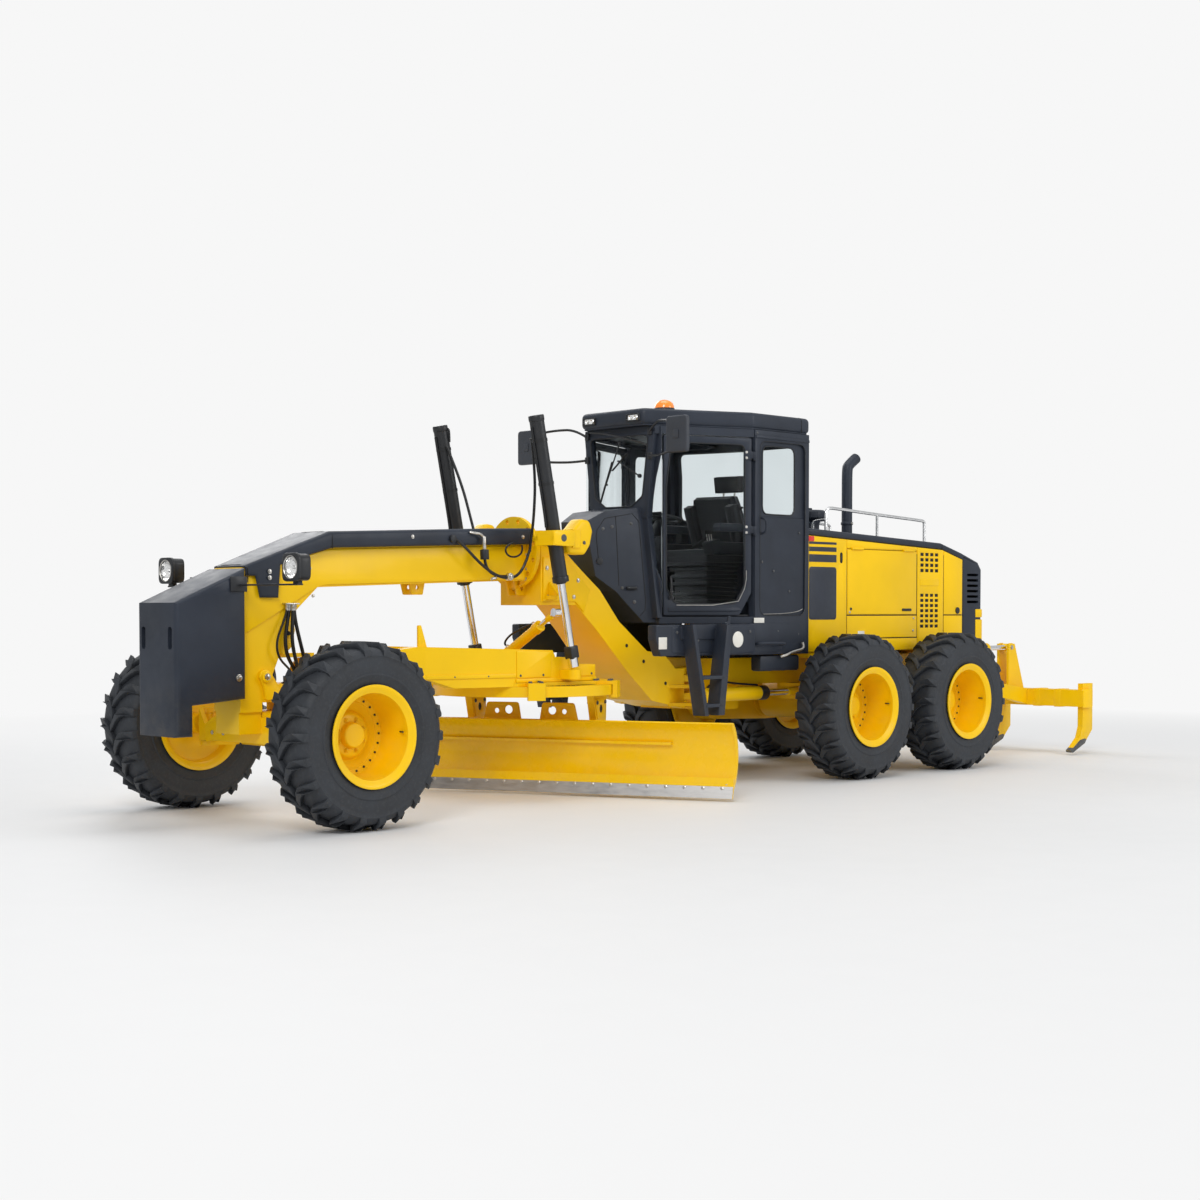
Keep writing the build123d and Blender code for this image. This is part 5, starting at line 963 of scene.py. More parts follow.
def makeDoors():
    window = rounded(doorWindow, 0.06)
    leaf = [sheetMetal(doorPlane(0.02), [rounded(doorOutline, 0.012), window], 0.04, 0.005)]
    rib = rounded([(0.1, 1.55), (0.165, 1.535), (0.82, 1.535), (0.82, 1.575), (0.16, 1.575)], 0.01)
    leaf.append(sheetMetal(doorPlane(-0.001), [rib], 0.008, 0.003))
    for z in (2.23, 2.89):
        lobe = [(0.78, 4.59), (0.792, 4.575), (0.828, 4.608), (0.812, 4.62), (0.785, 4.606)]
        leaf += [sheetMetal(levelPlane(z + 0.03), [lobe], 0.06, 0.003),
                 rod(at(0.82, 4.616, z), at(0.82, 4.616, z + 0.06), 0.015, 20, 0.002),
                 sheetMetal(doorPlane(-0.004), [squareLoop(0.012, z - 0.012, 0.085, z + 0.072, 0.012)],
                            0.012, 0.003)]
    seal = [ringPipe(doorPlane(-0.001), window, 0.006)]
    pane = [(0.07, 1.76), (0.165, 1.6), (0.76, 1.6), (0.842, 1.73), (0.846, 2.62), (0.795, 3.016),
            (0.07, 3.016)]
    panes = [sheetMetal(doorPlane(0.022), [rounded(pane, 0.06)], 0.005, 0.001)]
    outward = -doorAlong.cross(Vector((0, 0, 1)))
    sill = ((0.062, 1.9), (0.062, 1.77), (0.158, 1.592), (0.74, 1.592))
    shine = [pipe([doorPlane(-0.004) @ Vector((u, v, 0)) for u, v in sill], 0.004, 2, 2, 1)]
    for z in (2.235, 2.285, 2.895, 2.945):
        shine.append(hexBolt(doorPlane(-0.01) @ Vector((0.066, z, 0)), outward, 0.009, 0.006))
    low, high = (doorPlane(0) @ Vector((0.8, z, 0)) for z in (1.66, 1.7))
    grip = [rod(low + outward * -0.004, low + outward * 0.016, 0.02, 20, 0.003),
            pipe([low + outward * 0.014, low + outward * 0.03, high + outward * 0.032 + Vector((0, 0, 0.1)),
                  high + outward * 0.012 + Vector((0, 0, 0.14))], 0.009, 3, 8, 2)]
    sets = (("doorLeaf", leaf, darkPaint, "dark_paint"), ("doorSeal", seal, blackPlastic, None),
            ("doorGlass", panes, windowGlass, None), ("doorShine", shine, boltSteel, None),
            ("doorHandle", grip, blackPlastic, None))
    for hand, name in sides:
        body = "cab_door_" + name
        for title, parts, look, slotName in sets:
            copies = [copyOf(part, None if hand > 0 else acrossX) for part in parts]
            made = finishPiece(copies, title + "-" + name, body, look, slotName, 30)
            if title == "doorLeaf":
                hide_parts(body)
    removeParts(leaf + seal + panes + shine + grip)


def makeSidePlates():
    s = cabSizes
    half = s["half"]
    outer = [(4.634, 1.152), (5.389, 1.152), (5.389, 3.148), (4.634, 3.148)]
    recess = squareLoop(4.7, 1.5, 5.335, 3.055, 0.085)
    window = squareLoop(4.75, 2.405, 5.2, 3.015, 0.075)
    panes = [(4.688, 2.378), (5.332, 2.378), (5.332, 3.082), (4.688, 3.082)]
    plates = [sheetMetal(sidePlane(half + 0.004), [outer, recess], 0.018, 0.004),
              sheetMetal(sidePlane(half - 0.012), [panes, window], 0.014, 0.003)]
    step = sheetMetal(sidePlane(half + 0.0135), [[(4.56, 1.152), (5.3, 1.152), (5.3, 1.43), (4.56, 1.43)]],
                      0.006, 0.002)
    plates += [step, span((half + 0.01, half + 0.022), (4.64, 5.385), (3.075, 3.1), 0.004)]
    finishPiece(bothSides(plates), "cabSidePlates", "rear_frame", darkPaint, None, 30)
    seals = [ringPipe(sidePlane(half - 0.004), window, 0.006),
             ringPipe(sidePlane(half + 0.0125), recess, 0.004)]
    finishPiece(bothSides(seals), "cabSideSeals", "rear_frame", blackPlastic)
    edge = tube([(half + 0.002, 4.76, 1.512), (half + 0.002, 5.25, 1.512), (half + 0.002, 5.31, 1.56)],
                0.004, 3, 6, 1)
    shine = []
    recessed, raised = 0.003, 0.012  # how far out the bolts of the window panel and of its rim sit
    for y, z, out in ((4.9, 1.9, recessed), (5.12, 1.72, recessed), (5.26, 2.25, recessed),
                      (4.74, 1.98, recessed), (4.95, 1.36, raised), (5.24, 1.33, raised),
                      (4.66, 3.12, raised)):
        shine.append(hexBolt(at(half + out, y, z), (1, 0, 0), 0.009, 0.007))
    finishAll("rear_frame", [
        ("cabSideEdges", bothSides([edge]), boltSteel),
        ("cabSideBolts", bothSides(shine), greyIron),
    ])
    loops = [tube([(half, 4.72, 2.37), (half + 0.05, 4.73, 2.37), (half + 0.06, 4.74, 2.3),
                   (half + 0.05, 4.73, 2.23), (half, 4.72, 2.23)], 0.011, 3, 6, 2),
             tube([(half, 4.62, 1.245), (half + 0.075, 4.62, 1.25), (half + 0.085, 4.66, 1.255),
                   (half + 0.085, 4.94, 1.25), (half + 0.075, 4.98, 1.245), (half, 4.98, 1.24)], 0.014),
             span((half + 0.006, half + 0.02), (4.6, 5.0), (1.165, 1.225), 0.004)]
    finishPiece(bothSides(loops), "cabHandLoops", "rear_frame", darkPaint, None, 40)
    bars = [tube([(half + 0.01, 5.0, 1.13), (half + 0.05, 5.02, 1.14), (half + 0.055, 5.12, 1.175),
                  (half + 0.055, 5.24, 1.19), (half + 0.05, 5.28, 1.215), (half + 0.045, 5.26, 1.255)],
                 0.012)]
    finishPiece(bothSides(bars), "silverSteps", "rear_frame", boltSteel)
    back = [ringPipe(acrossPlane(5.392), squareLoop(-0.7, 2.41, 0.7, 3.05, 0.06), 0.008)]
    rearFrame = sheetMetal(acrossPlane(5.383),
                           [[(-0.742, 2.378), (0.742, 2.378), (0.742, 3.082), (-0.742, 3.082)],
                            squareLoop(-0.7, 2.41, 0.7, 3.05, 0.06)], 0.012, 0.003)
    finishAll("rear_frame", [
        ("rearWindowSeal", back, blackPlastic),
        ("rearWindowFrame", rearFrame, darkPaint),
    ])


def cushion(centre, size, edge, crown, turn=(0, 0, 0), taper=0):
    pad = block((0, 0, 0), size, 0)
    useModifier(pad, "SUBSURF", levels=4, render_levels=4, subdivision_type="SIMPLE")
    for vertex in pad.data.vertices:
        u, v, w = (vertex.co[k] / (size[k] / 2) for k in range(3))
        lift = crown * (1 - u * u) * (1 - v * v)
        vertex.co.z += lift * (1 if w > 0 else 0)
        for k, value in enumerate((u, v)):
            vertex.co[k] *= 1 - 0.05 * (1 - (1 - abs(w)) ** 2) * abs(value)
        vertex.co.x *= 1 - taper * max(v, 0) ** 2
    pad = easeEdges(pad, edge, 3, 60)
    pad.matrix_world = Matrix.Translation(centre) @ Matrix.Rotation(turn[0], 4, "X")
    return settle(pad)


def seamLoop(centre, size, height, turn, inset=0.02):
    loop = squareLoop(-size[0] / 2 + inset, -size[1] / 2 + inset,
                      size[0] / 2 - inset, size[1] / 2 - inset, 0.05)
    place = Matrix.Translation(centre) @ Matrix.Rotation(turn, 4, "X") @ Matrix.Translation((0, 0, height))
    return ringPipe(place, loop, 0.004)


def makeSeat():
    lean = radians(90 + 16)
    seats = (
        ("seatPad", at(0, 4.85, 2.044), (0.5, 0.455, 0.115), 0.03, 0.014, 0),
        ("seatBack", at(0, 5.06, 2.36), (0.47, 0.5, 0.105), 0.035, 0.02, lean),
        ("headRest", at(0, 5.155, 2.72), (0.27, 0.155, 0.085), 0.03, 0.012, radians(90 + 7)),
    )
    seams = []
    for title, centre, size, edge, crown, turn in seats:
        pad = cushion(centre, size, edge, crown, (turn,), 0.13 if title == "seatBack" else 0)
        finishPiece(pad, title, "rear_frame", cloth, "seat_fabric", 40)
        if title == "seatPad":
            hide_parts("seat_cushions")
        seams.append(seamLoop(centre, size, size[2] / 2 - 0.002, turn, 0.032))
        if title != "headRest":
            way = Matrix.Translation(centre) @ Matrix.Rotation(turn, 4, "X")
            for x in (-0.13, 0.13):
                seams.append(pipe([way @ Vector((x, k * size[1] * 0.4,
                                                 size[2] / 2 + crown * 0.7 * (1 - (0.8 * k) ** 2) - 0.004))
                                   for k in (-1, -0.5, 0, 0.5, 1)], 0.004, 3, 6, 1))
    finishPiece(seams, "seatSeams", "rear_frame", blackPlastic)
    for x, title in ((0.215, "seatBolsterLeft"), (-0.215, "seatBolsterRight")):
        wing = cushion(at(x, 5.0, 2.33), (0.07, 0.4, 0.11), 0.028, 0.01, (lean,))
        finishPiece(wing, title, "rear_frame", cloth, None, 40)
    for x, title in ((0.315, "armRestLeft"), (-0.315, "armRestRight")):
        rest = cushion(at(x, 4.84, 2.3), (0.085, 0.36, 0.07), 0.022, 0.008)
        finishPiece(rest, title, "rear_frame", darkPlastic, None, 40)


def makeControls():
    w = wheelLook
    hard, steel, knobs = [], [], []
    for z, half in ((1.93, 0.2), (1.86, 0.19), (1.79, 0.195), (1.72, 0.19), (1.65, 0.2)):
        hard.append(span((-half, half), (4.68, 5.06), (z - 0.02, z + 0.02), 0.012))
    hard += [span((-0.17, 0.17), (4.7, 5.04), (1.5, 1.96), 0.01),
             span((-0.23, 0.23), (4.63, 5.06), (1.955, 1.99), 0.012)]
    for x in (0.315, -0.315):
        hard += [span((x - 0.05, x + 0.05), (4.66, 5.1), (2.05, 2.17), 0.02),
                 span((x - 0.03, x + 0.03), (4.92, 5.0), (2.16, 2.275), 0.012),
                 sheetMetal(sidePlane(x), [rounded([(4.52, 2.16), (4.66, 2.2), (4.7, 2.08), (4.56, 2.05)],
                0.02)], 0.09, 0.01)]
        for k in range(3):
            foot = at(x + (k - 1) * 0.026, 4.58, 2.17)
            steel.append(rod(foot, foot + Vector((0, -0.015, 0.07)), 0.004, 8))
            knobs.append(rod(foot + Vector((0, -0.015, 0.065)), foot + Vector((0, -0.021, 0.1)), 0.013, 16,
                             0.004, 0.01))
    for z in (2.61, 2.63):
        steel += [rod(at(-0.06, 5.145, z - 0.03), at(-0.06, 5.155, z + 0.04), 0.007, 10),
                  rod(at(0.06, 5.145, z - 0.03), at(0.06, 5.155, z + 0.04), 0.007, 10)]
    foot, centre = at(*w["foot"]), at(*w["centre"])
    way = (centre - foot).normalized()
    hard += [sheetMetal(sidePlane(0), [rounded([(4.08, 1.49), (4.25, 1.49), (4.27, 1.7), (4.26, 2.2),
            (4.16, 2.22), (4.06, 1.72)], 0.03)], 0.13, 0.02), rod(foot, centre, 0.034, 24, 0.004),
             rod(centre - way * 0.02, centre + way * 0.02, 0.05, 28, 0.006)]
    deselect()
    bpy.ops.mesh.primitive_torus_add(major_radius=w["radius"], minor_radius=w["rim"], major_segments=48,
                                     minor_segments=12)
    ring = settle(bpy.context.object)
    facing = way.to_track_quat("Z", "Y").to_matrix().to_4x4()
    reach = w["radius"] - 0.008
    spokes = [rod((0.04 * cos(t), 0.04 * sin(t), 0), (reach * cos(t), reach * sin(t), 0), 0.011, 10)
              for t in (radians(90), radians(210), radians(330))]
    knob = rod((0.15, 0.1, 0.01), (0.15, 0.1, 0.045), 0.017, 16, 0.005)
    steering = joinParts([ring, knob] + spokes)
    steering.matrix_world = Matrix.Translation(centre + way * 0.012) @ facing
    hard.append(settle(steering))
    cluster = block((0, 0, 0), (0.24, 0.05, 0.13), 0.02)
    cluster.matrix_world = Matrix.Translation(at(0, 4.05, 2.36)) @ Matrix.Rotation(radians(-25), 4, "X")
    hard += [settle(cluster),
             rod(at(0, 4.13, 2.2), at(0, 4.06, 2.34), 0.022, 16)]
    for x, y in ((-0.16, 4.0), (-0.05, 3.97), (0.16, 3.99)):
        pedal = block((0, 0, 0), (0.075, 0.012, 0.13), 0.006)
        pedal.matrix_world = Matrix.Translation(at(x, y, 1.6)) @ Matrix.Rotation(radians(35), 4, "X")
        hard.append(settle(pedal))
        steel.append(rod(at(x, y - 0.01, 1.59), at(x, y - 0.06, 1.5), 0.007, 8))
    hard += [span((-0.74, -0.43), (4.7, 5.3), (1.495, 1.92), 0.03),
             sheetMetal(levelPlane(1.5), [rounded([(0.44, 3.83), (0.75, 4.6), (0.75, 5.3), (-0.75, 5.3),
            (-0.75, 4.6), (-0.44, 3.83)], 0.03)], 0.014, 0.003),
             span((0.5, 0.7), (5.1, 5.3), (1.5, 2.1), 0.03),
             sheetMetal(levelPlane(3.125), [rounded([(0.4, 3.85), (0.72, 4.66), (0.72, 5.3), (-0.72, 5.3),
            (-0.72, 4.66), (-0.4, 3.85)], 0.05)], 0.04, 0.01)]
    inside = finishPiece(hard, "cabControls", "rear_frame", blackPlastic, "dark_paint", 35)
    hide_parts("cab_interior")
    finishAll("rear_frame", [
        ("controlSteel", steel, boltSteel),
        ("controlKnobs", knobs, pureBlack),
    ])
    belt = tube([(0.24, 5.06, 2.5), (0.18, 4.985, 2.42), (0.05, 4.955, 2.3), (-0.08, 4.93, 2.2),
                 (-0.2, 4.92, 2.12)], 0.012, 3, 8, 1)
    finishPiece(belt, "seatBelt", "rear_frame", hoseRubber)


def makeMirrors():
    shells, glass, arms = [], [], []
    shells += [sheetMetal(acrossPlane(3.498), [squareLoop(0.81, 2.87, 1.05, 3.18, 0.035)], 0.044, 0.014),
               span((0.9, 0.96), (3.468, 3.48), (2.99, 3.06), 0.003)]
    glass.append(sheetMetal(acrossPlane(3.521), [squareLoop(0.825, 2.885, 1.035, 3.165, 0.025)], 0.003,
                            0.001))
    for z, bow in ((3.12, 0.05), (2.91, -0.03)):
        arms += [tube([(0.395, 3.715, z - 0.02), (0.5, 3.68, z + bow), (0.65, 3.6, z + bow),
                       (0.8, 3.53, z + bow * 0.6), (0.87, 3.505, z), (0.88, 3.5, z - 0.01)], 0.011),
                 span((0.366, 0.41), (3.712, 3.737), (z - 0.05, z + 0.01), 0.004)]
    body = finishPiece(bothSides(shells), "mirrorShells", "rear_frame", darkPlastic, "dark_paint", 35)
    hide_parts("mirrors")
    finishAll("rear_frame", [
        ("mirrorArms", bothSides(arms), blackPaint, 40),
        ("mirrorGlass", bothSides(glass), mirrorSilver),
    ])


def makeLadders():
    parts, bolts, pale = [], [], []
    box = sheetMetal(sidePlane(0.85), [rounded([(3.27, 1.3), (3.27, 1.425), (4.54, 1.425), (4.54, 1.16),
            (3.33, 1.16)], 0.02)], 0.1, 0.008)
    lid = sheetMetal(sidePlane(0.901), [squareLoop(3.46, 1.185, 4.02, 1.405, 0.02)], 0.006, 0.002)
    plateRear = sheetMetal(sidePlane(0.901), [squareLoop(4.1, 1.175, 4.52, 1.41, 0.015)], 0.006, 0.002)
    arms = [span((0.56, 0.801), (y, y + 0.06), (1.37, 1.4295), 0.004) for y in (4.05, 4.26)]
    parts += [box, lid, plateRear] + arms
    front = [(3.56, 1.425), (3.6, 1.425), (3.77, 0.65), (3.72, 0.65)]
    rear = [(4.0, 1.425), (4.07, 1.425), (3.97, 0.65), (3.89, 0.65)]
    for rail in (front, rear):
        parts.append(sheetMetal(sidePlane(0.975), [rail], 0.14, 0.004))
    for z, start, end in ((0.975, 3.68, 3.96), (0.735, 3.73, 3.93)):
        tread = sheetMetal(levelPlane(z), [[(0.905, start), (1.045, start), (1.045, end), (0.905, end)],
                                           squareLoop(0.93, start + 0.03, 1.02, start + 0.09, 0.01),
                                           squareLoop(0.93, end - 0.09, 1.02, end - 0.03, 0.01)], 0.03, 0.004)
        parts.append(tread)
    parts += [span((0.9, 0.92), (3.56, 4.07), (1.3, 1.425), 0.003),
              sheetMetal(sidePlane(1.0), [rounded([(3.99, 1.4), (4.08, 1.43), (4.09, 1.5), (4.06, 1.5),
            (4.05, 1.45)], 0.01)], 0.02, 0.003)]
    ladder = finishPiece(bothSides(parts), "ladderSteps", "rear_frame", darkPaint, "dark_paint", 30)
    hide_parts("ladders")
    for y, z in ((3.52, 1.36), (3.68, 1.22), (3.78, 1.29), (3.9, 1.34), (4.46, 1.36), (4.14, 1.36)):
        bolts.append(hexBolt(at(0.904, y, z), (1, 0, 0), 0.011, 0.009))
    finishPiece(bothSides(bolts), "ladderBolts", "rear_frame", greyIron)
    pale += [rod(at(0.904, 4.3, 1.293), at(0.9055, 4.3, 1.293), 0.07, 40),
             span((0.9, 0.9015), (3.3, 3.4), (1.22, 1.32), 0.0005),
             span((0.813, 0.8145), (4.62, 4.76), (1.435, 1.48), 0.0005)]
    finishPiece(bothSides(pale), "blankPlates", "rear_frame", paleLabel)


makeRoof()
makeScreen()
makeNoseTrim()
makeDoors()
makeSidePlates()
makeSeat()
makeControls()
makeMirrors()
makeLadders()
print("cab done")


# Hood: side panels, doors' skins, cap, tail, exhaust, air cleaner and rails
hoodSizes = {"half": 0.75, "skin": 0.006, "doorFront": 6.036, "doorRear": 7.144, "doorLow": 1.506,
             "doorHigh": 2.124}
capTop = ((5.4, 2.31), (7.58, 2.22), (7.93, 2.13))
tailPitch, sidePitch = 0.068, 0.055  # rows of cooling slots


def capHeight(y):
    (y0, z0), (y1, z1), (y2, z2) = capTop
    return z0 + (z1 - z0) * (y - y0) / (y1 - y0) if y < y1 else z1 + (z2 - z1) * (y - y1) / (y2 - y1)


def grid(left, low, columns, rows, wide, high, gapU, gapV):
    return [squareLoop(left + c * (wide + gapU), low + r * (high + gapV), left + c * (wide + gapU) + wide,
                       low + r * (high + gapV) + high, 0.006) for c in range(columns) for r in range(rows)]


def makeHoodPanels():
    h = hoodSizes
    half, skin = h["half"], h["skin"]
    yellowParts, darkParts, blackParts, shine, reds, blues = [], [], [], [], [], []
    grilles = (grid(7.205, 1.375, 4, 7, 0.055, 0.03, 0.027, 0.021)
               + grid(7.205, 1.925, 4, 4, 0.055, 0.032, 0.027, 0.021))
    front = [(5.41, 1.162), (6.024, 1.162), (6.024, capHeight(6.024) - 0.072),
             (5.41, capHeight(5.41) - 0.072)]
    slot = squareLoop(5.925, 1.99, 5.965, 2.09, 0.018)
    rearTop = [(7.156, 1.162), (7.594, 1.162), (7.594, capHeight(7.594) - 0.073),
               (7.58, capHeight(7.58) - 0.072), (7.156, capHeight(7.156) - 0.072)]
    tailTop = [(7.606, 1.506), (7.925, 1.506), (7.925, capHeight(7.925) - 0.072),
               (7.606, capHeight(7.606) - 0.072)]
    tailLow = [(7.606, 1.162), (7.925, 1.162), (7.925, 1.494), (7.606, 1.494)]
    under = rounded([(6.036, 1.285), (7.144, 1.285), (7.144, 1.494), (6.036, 1.494)], 0.012)
    sill = [(6.03, 1.162), (7.15, 1.162), (7.15, 1.275), (6.03, 1.275)]
    band = [(6.03, 2.136), (7.15, 2.136), (7.15, capHeight(7.15) - 0.072), (6.03, capHeight(6.03) - 0.072)]
    plane = sidePlane(half + skin / 2 - 0.0005)
    for loops in ([front, slot], [rearTop] + grilles, [tailTop], [tailLow], [under], [sill], [band]):
        yellowParts.append(sheetMetal(plane, loops, skin, 0.002))
    cover = sheetMetal(sidePlane(half + skin + 0.001), [squareLoop(7.2, 1.79, 7.51, 1.86, 0.01)], 0.004,
                       0.0015)
    yellowParts.append(cover)
    # Black sheets behind the grille openings and the handle slot, and black strips in the panel gaps, are
    # painted shade where the shaded inside would show
    for box in (((7.2, 7.51), (1.372, 1.715)), ((7.2, 7.51), (1.92, 2.115)), ((5.92, 5.97), (1.985, 2.095)),
                ((6.026, 6.034), (1.17, 2.1)), ((7.146, 7.155), (1.17, 2.1)), ((7.595, 7.605), (1.17, 2.1)),
                ((6.035, 7.145), (1.495, 1.505)), ((6.035, 7.145), (1.275, 1.285)),
                ((7.606, 7.925), (1.495, 1.505))):
        (y0, y1), (z0, z1) = box
        blackParts.append(span((half - 0.002, half + 0.001), (y0, y1), (z0, z1), 0.0005))
    for z0, z1 in ((2.083, 2.125), (1.985, 2.055), (2.15, 2.172)):
        blues.append(sheetMetal(sidePlane(half + skin + 0.0006),
                                [squareLoop(5.462, z0 + 0.01, 5.868, z1 + 0.01, 0.003)], 0.0022, 0.0008))
    blues.append(sheetMetal(sidePlane(half + skin + 0.0006), [squareLoop(5.462, 1.46, 5.868, 1.95, 0.035)],
                            0.0022, 0.0008))
    # The red reflectors take the glowing red lens finish; their emission is a painted glow, as a reflector is
    # no lamp
    reds.append(sheetMetal(sidePlane(half + skin + 0.003), [squareLoop(5.43, 2.185, 5.53, 2.232, 0.008)],
                           0.008, 0.002))
    for y, z in ((6.07, 1.53), (7.09, 1.47), (7.08, 1.35)):
        shine.append(rod(at(half + 0.004, y, z), at(half + 0.012, y, z), 0.012, 20, 0.002))
    darkParts += [rod(at(half + 0.004, 7.84, 1.545), at(half + 0.015, 7.84, 1.545), 0.034, 28, 0.004),
                  sheetMetal(sidePlane(half + 0.004), [squareLoop(5.935, 2.005, 5.955, 2.075, 0.008)],
                             0.012, 0.003)]
    plates = [sheetMetal(sidePlane(half + skin + 0.0005), [squareLoop(6.2, 1.3, 6.3, 1.35, 0.006)], 0.002,
                         0.0008)]
    for sets, title, look in ((yellowParts, "hoodPanels", yellowPaint), (blackParts, "hoodGaps", pureBlack),
                              (blues, "hoodStripes", decalBlue), (reds, "hoodReflectors", redLens),
                              (shine, "hoodLatches", boltSteel), (darkParts, "hoodHandles", blackPlastic),
                              (plates, "hoodPlates", paleLabel)):
        finishPiece(bothSides(sets), title, "rear_frame", look, None, 30)


def makeDoorSkins():
    h = hoodSizes
    half, gap = h["half"], 0.004
    loop = squareLoop(h["doorFront"] + gap, h["doorLow"] + 0.003, h["doorRear"] - gap, h["doorHigh"], 0.01)
    skin = sheetMetal(sidePlane(half + 0.0028), [loop], 0.006, 0.0025)
    latch = rod(at(half + 0.003, 6.09, 1.56), at(half + 0.012, 6.09, 1.56), 0.014, 24, 0.003)
    pull = sheetMetal(sidePlane(half + 0.009), [squareLoop(6.9, 1.54, 7.05, 1.565, 0.01)], 0.012, 0.004)
    finishSides((("engineDoorSkin", [skin], yellowPaint, "engine_door_", 30),
                 ("engineDoorLatch", [latch, pull], blackPlastic, "engine_door_", 32)))


def makeCap():
    h = hoodSizes
    top = [(5.4, 2.31), (7.575, 2.22), (7.93, 2.13), (8.225, 2.04), (8.285, 1.965)]
    profile = [(8.285, 1.165), (7.945, 1.165), (7.945, 2.0605), (7.93, 2.0605), (7.58, 2.1505), (5.4, 2.2405)]
    cap = sheetMetal(sidePlane(0), [list(reversed(top)) + list(reversed(profile))], 2 * h["half"] - 0.002,
                     0.028)
    hollow = [(7.9, 1.1), (8.262, 1.1), (8.262, 1.96), (8.21, 2.005), (7.95, 2.03), (7.9, 2.03)]
    cutFrom(cap, sheetMetal(sidePlane(0), [hollow], 1.45, 0.002))
    for row in range(9):
        z = 1.3 + tailPitch * row
        cutFrom(cap, sheetMetal(acrossPlane(8.28), [squareLoop(-0.56, z, 0.56, z + 0.04, 0.018)], 0.12,
                                0.002))
    for row in range(6):
        z = 1.62 + sidePitch * row
        cutFrom(cap, sheetMetal(sidePlane(0), [squareLoop(8.02, z, 8.22, z + 0.026, 0.012)], 1.6, 0.002))
    made = finishPiece(cap, "hoodCap", "rear_frame", darkPaint, "dark_paint", 30)
    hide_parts("hood_top")
    y = capTop[1][0]
    z = capHeight(y)
    halfLine = [(0.7495, y, z - 0.066), (0.7495, y, z - 0.026), (0.722, y, z + 0.0005)]
    line = halfLine + [(-x, y, z) for x, y, z in reversed(halfLine)]
    finishPiece(tube(line, 0.0035, 2, 2, 1), "capSeams", "rear_frame", pureBlack)
    ribs, shadeSheet = [], []
    for row in range(10):
        z = 1.29 + tailPitch * row
        ribs.append(span((-0.58, 0.58), (8.238, 8.262), (z - 0.012, z + 0.006), 0.003))
    for row in range(6):
        z = 1.615 + sidePitch * row
        for hand, _ in sides:
            ribs.append(span((hand * 0.708, hand * 0.728), (8.0, 8.235), (z - 0.008, z + 0.004), 0.003))
    # A flat black sheet behind the louvre slots is painted shade in the hollow tail
    shadeSheet.append(span((-0.7, 0.7), (7.945, 7.955), (1.2, 2.02), 0.002))
    finishAll("rear_frame", [
        ("tailLouvres", ribs, blackPaint),
        ("tailScreen", shadeSheet, pureBlack),
    ])
    boxes, lids = [], []
    for z0, z1 in ((1.475, 1.56), (1.18, 1.455)):
        boxes.append(span((0.6, 0.757), (8.17, 8.287), (z0, z1), 0.01))
    lids.append(span((0.64, 0.72), (8.284, 8.2885), (1.25, 1.4), 0.001))
    finishAll("rear_frame", [
        ("tailBoxes", bothSides(boxes), yellowPaint, 30),
        ("tailLamps", bothSides(lids), redLens),
    ])


stackSizes = {"exhaustY": 7.0, "exhaustRadius": 0.055, "cleanerY": 6.4, "railX": 0.6}


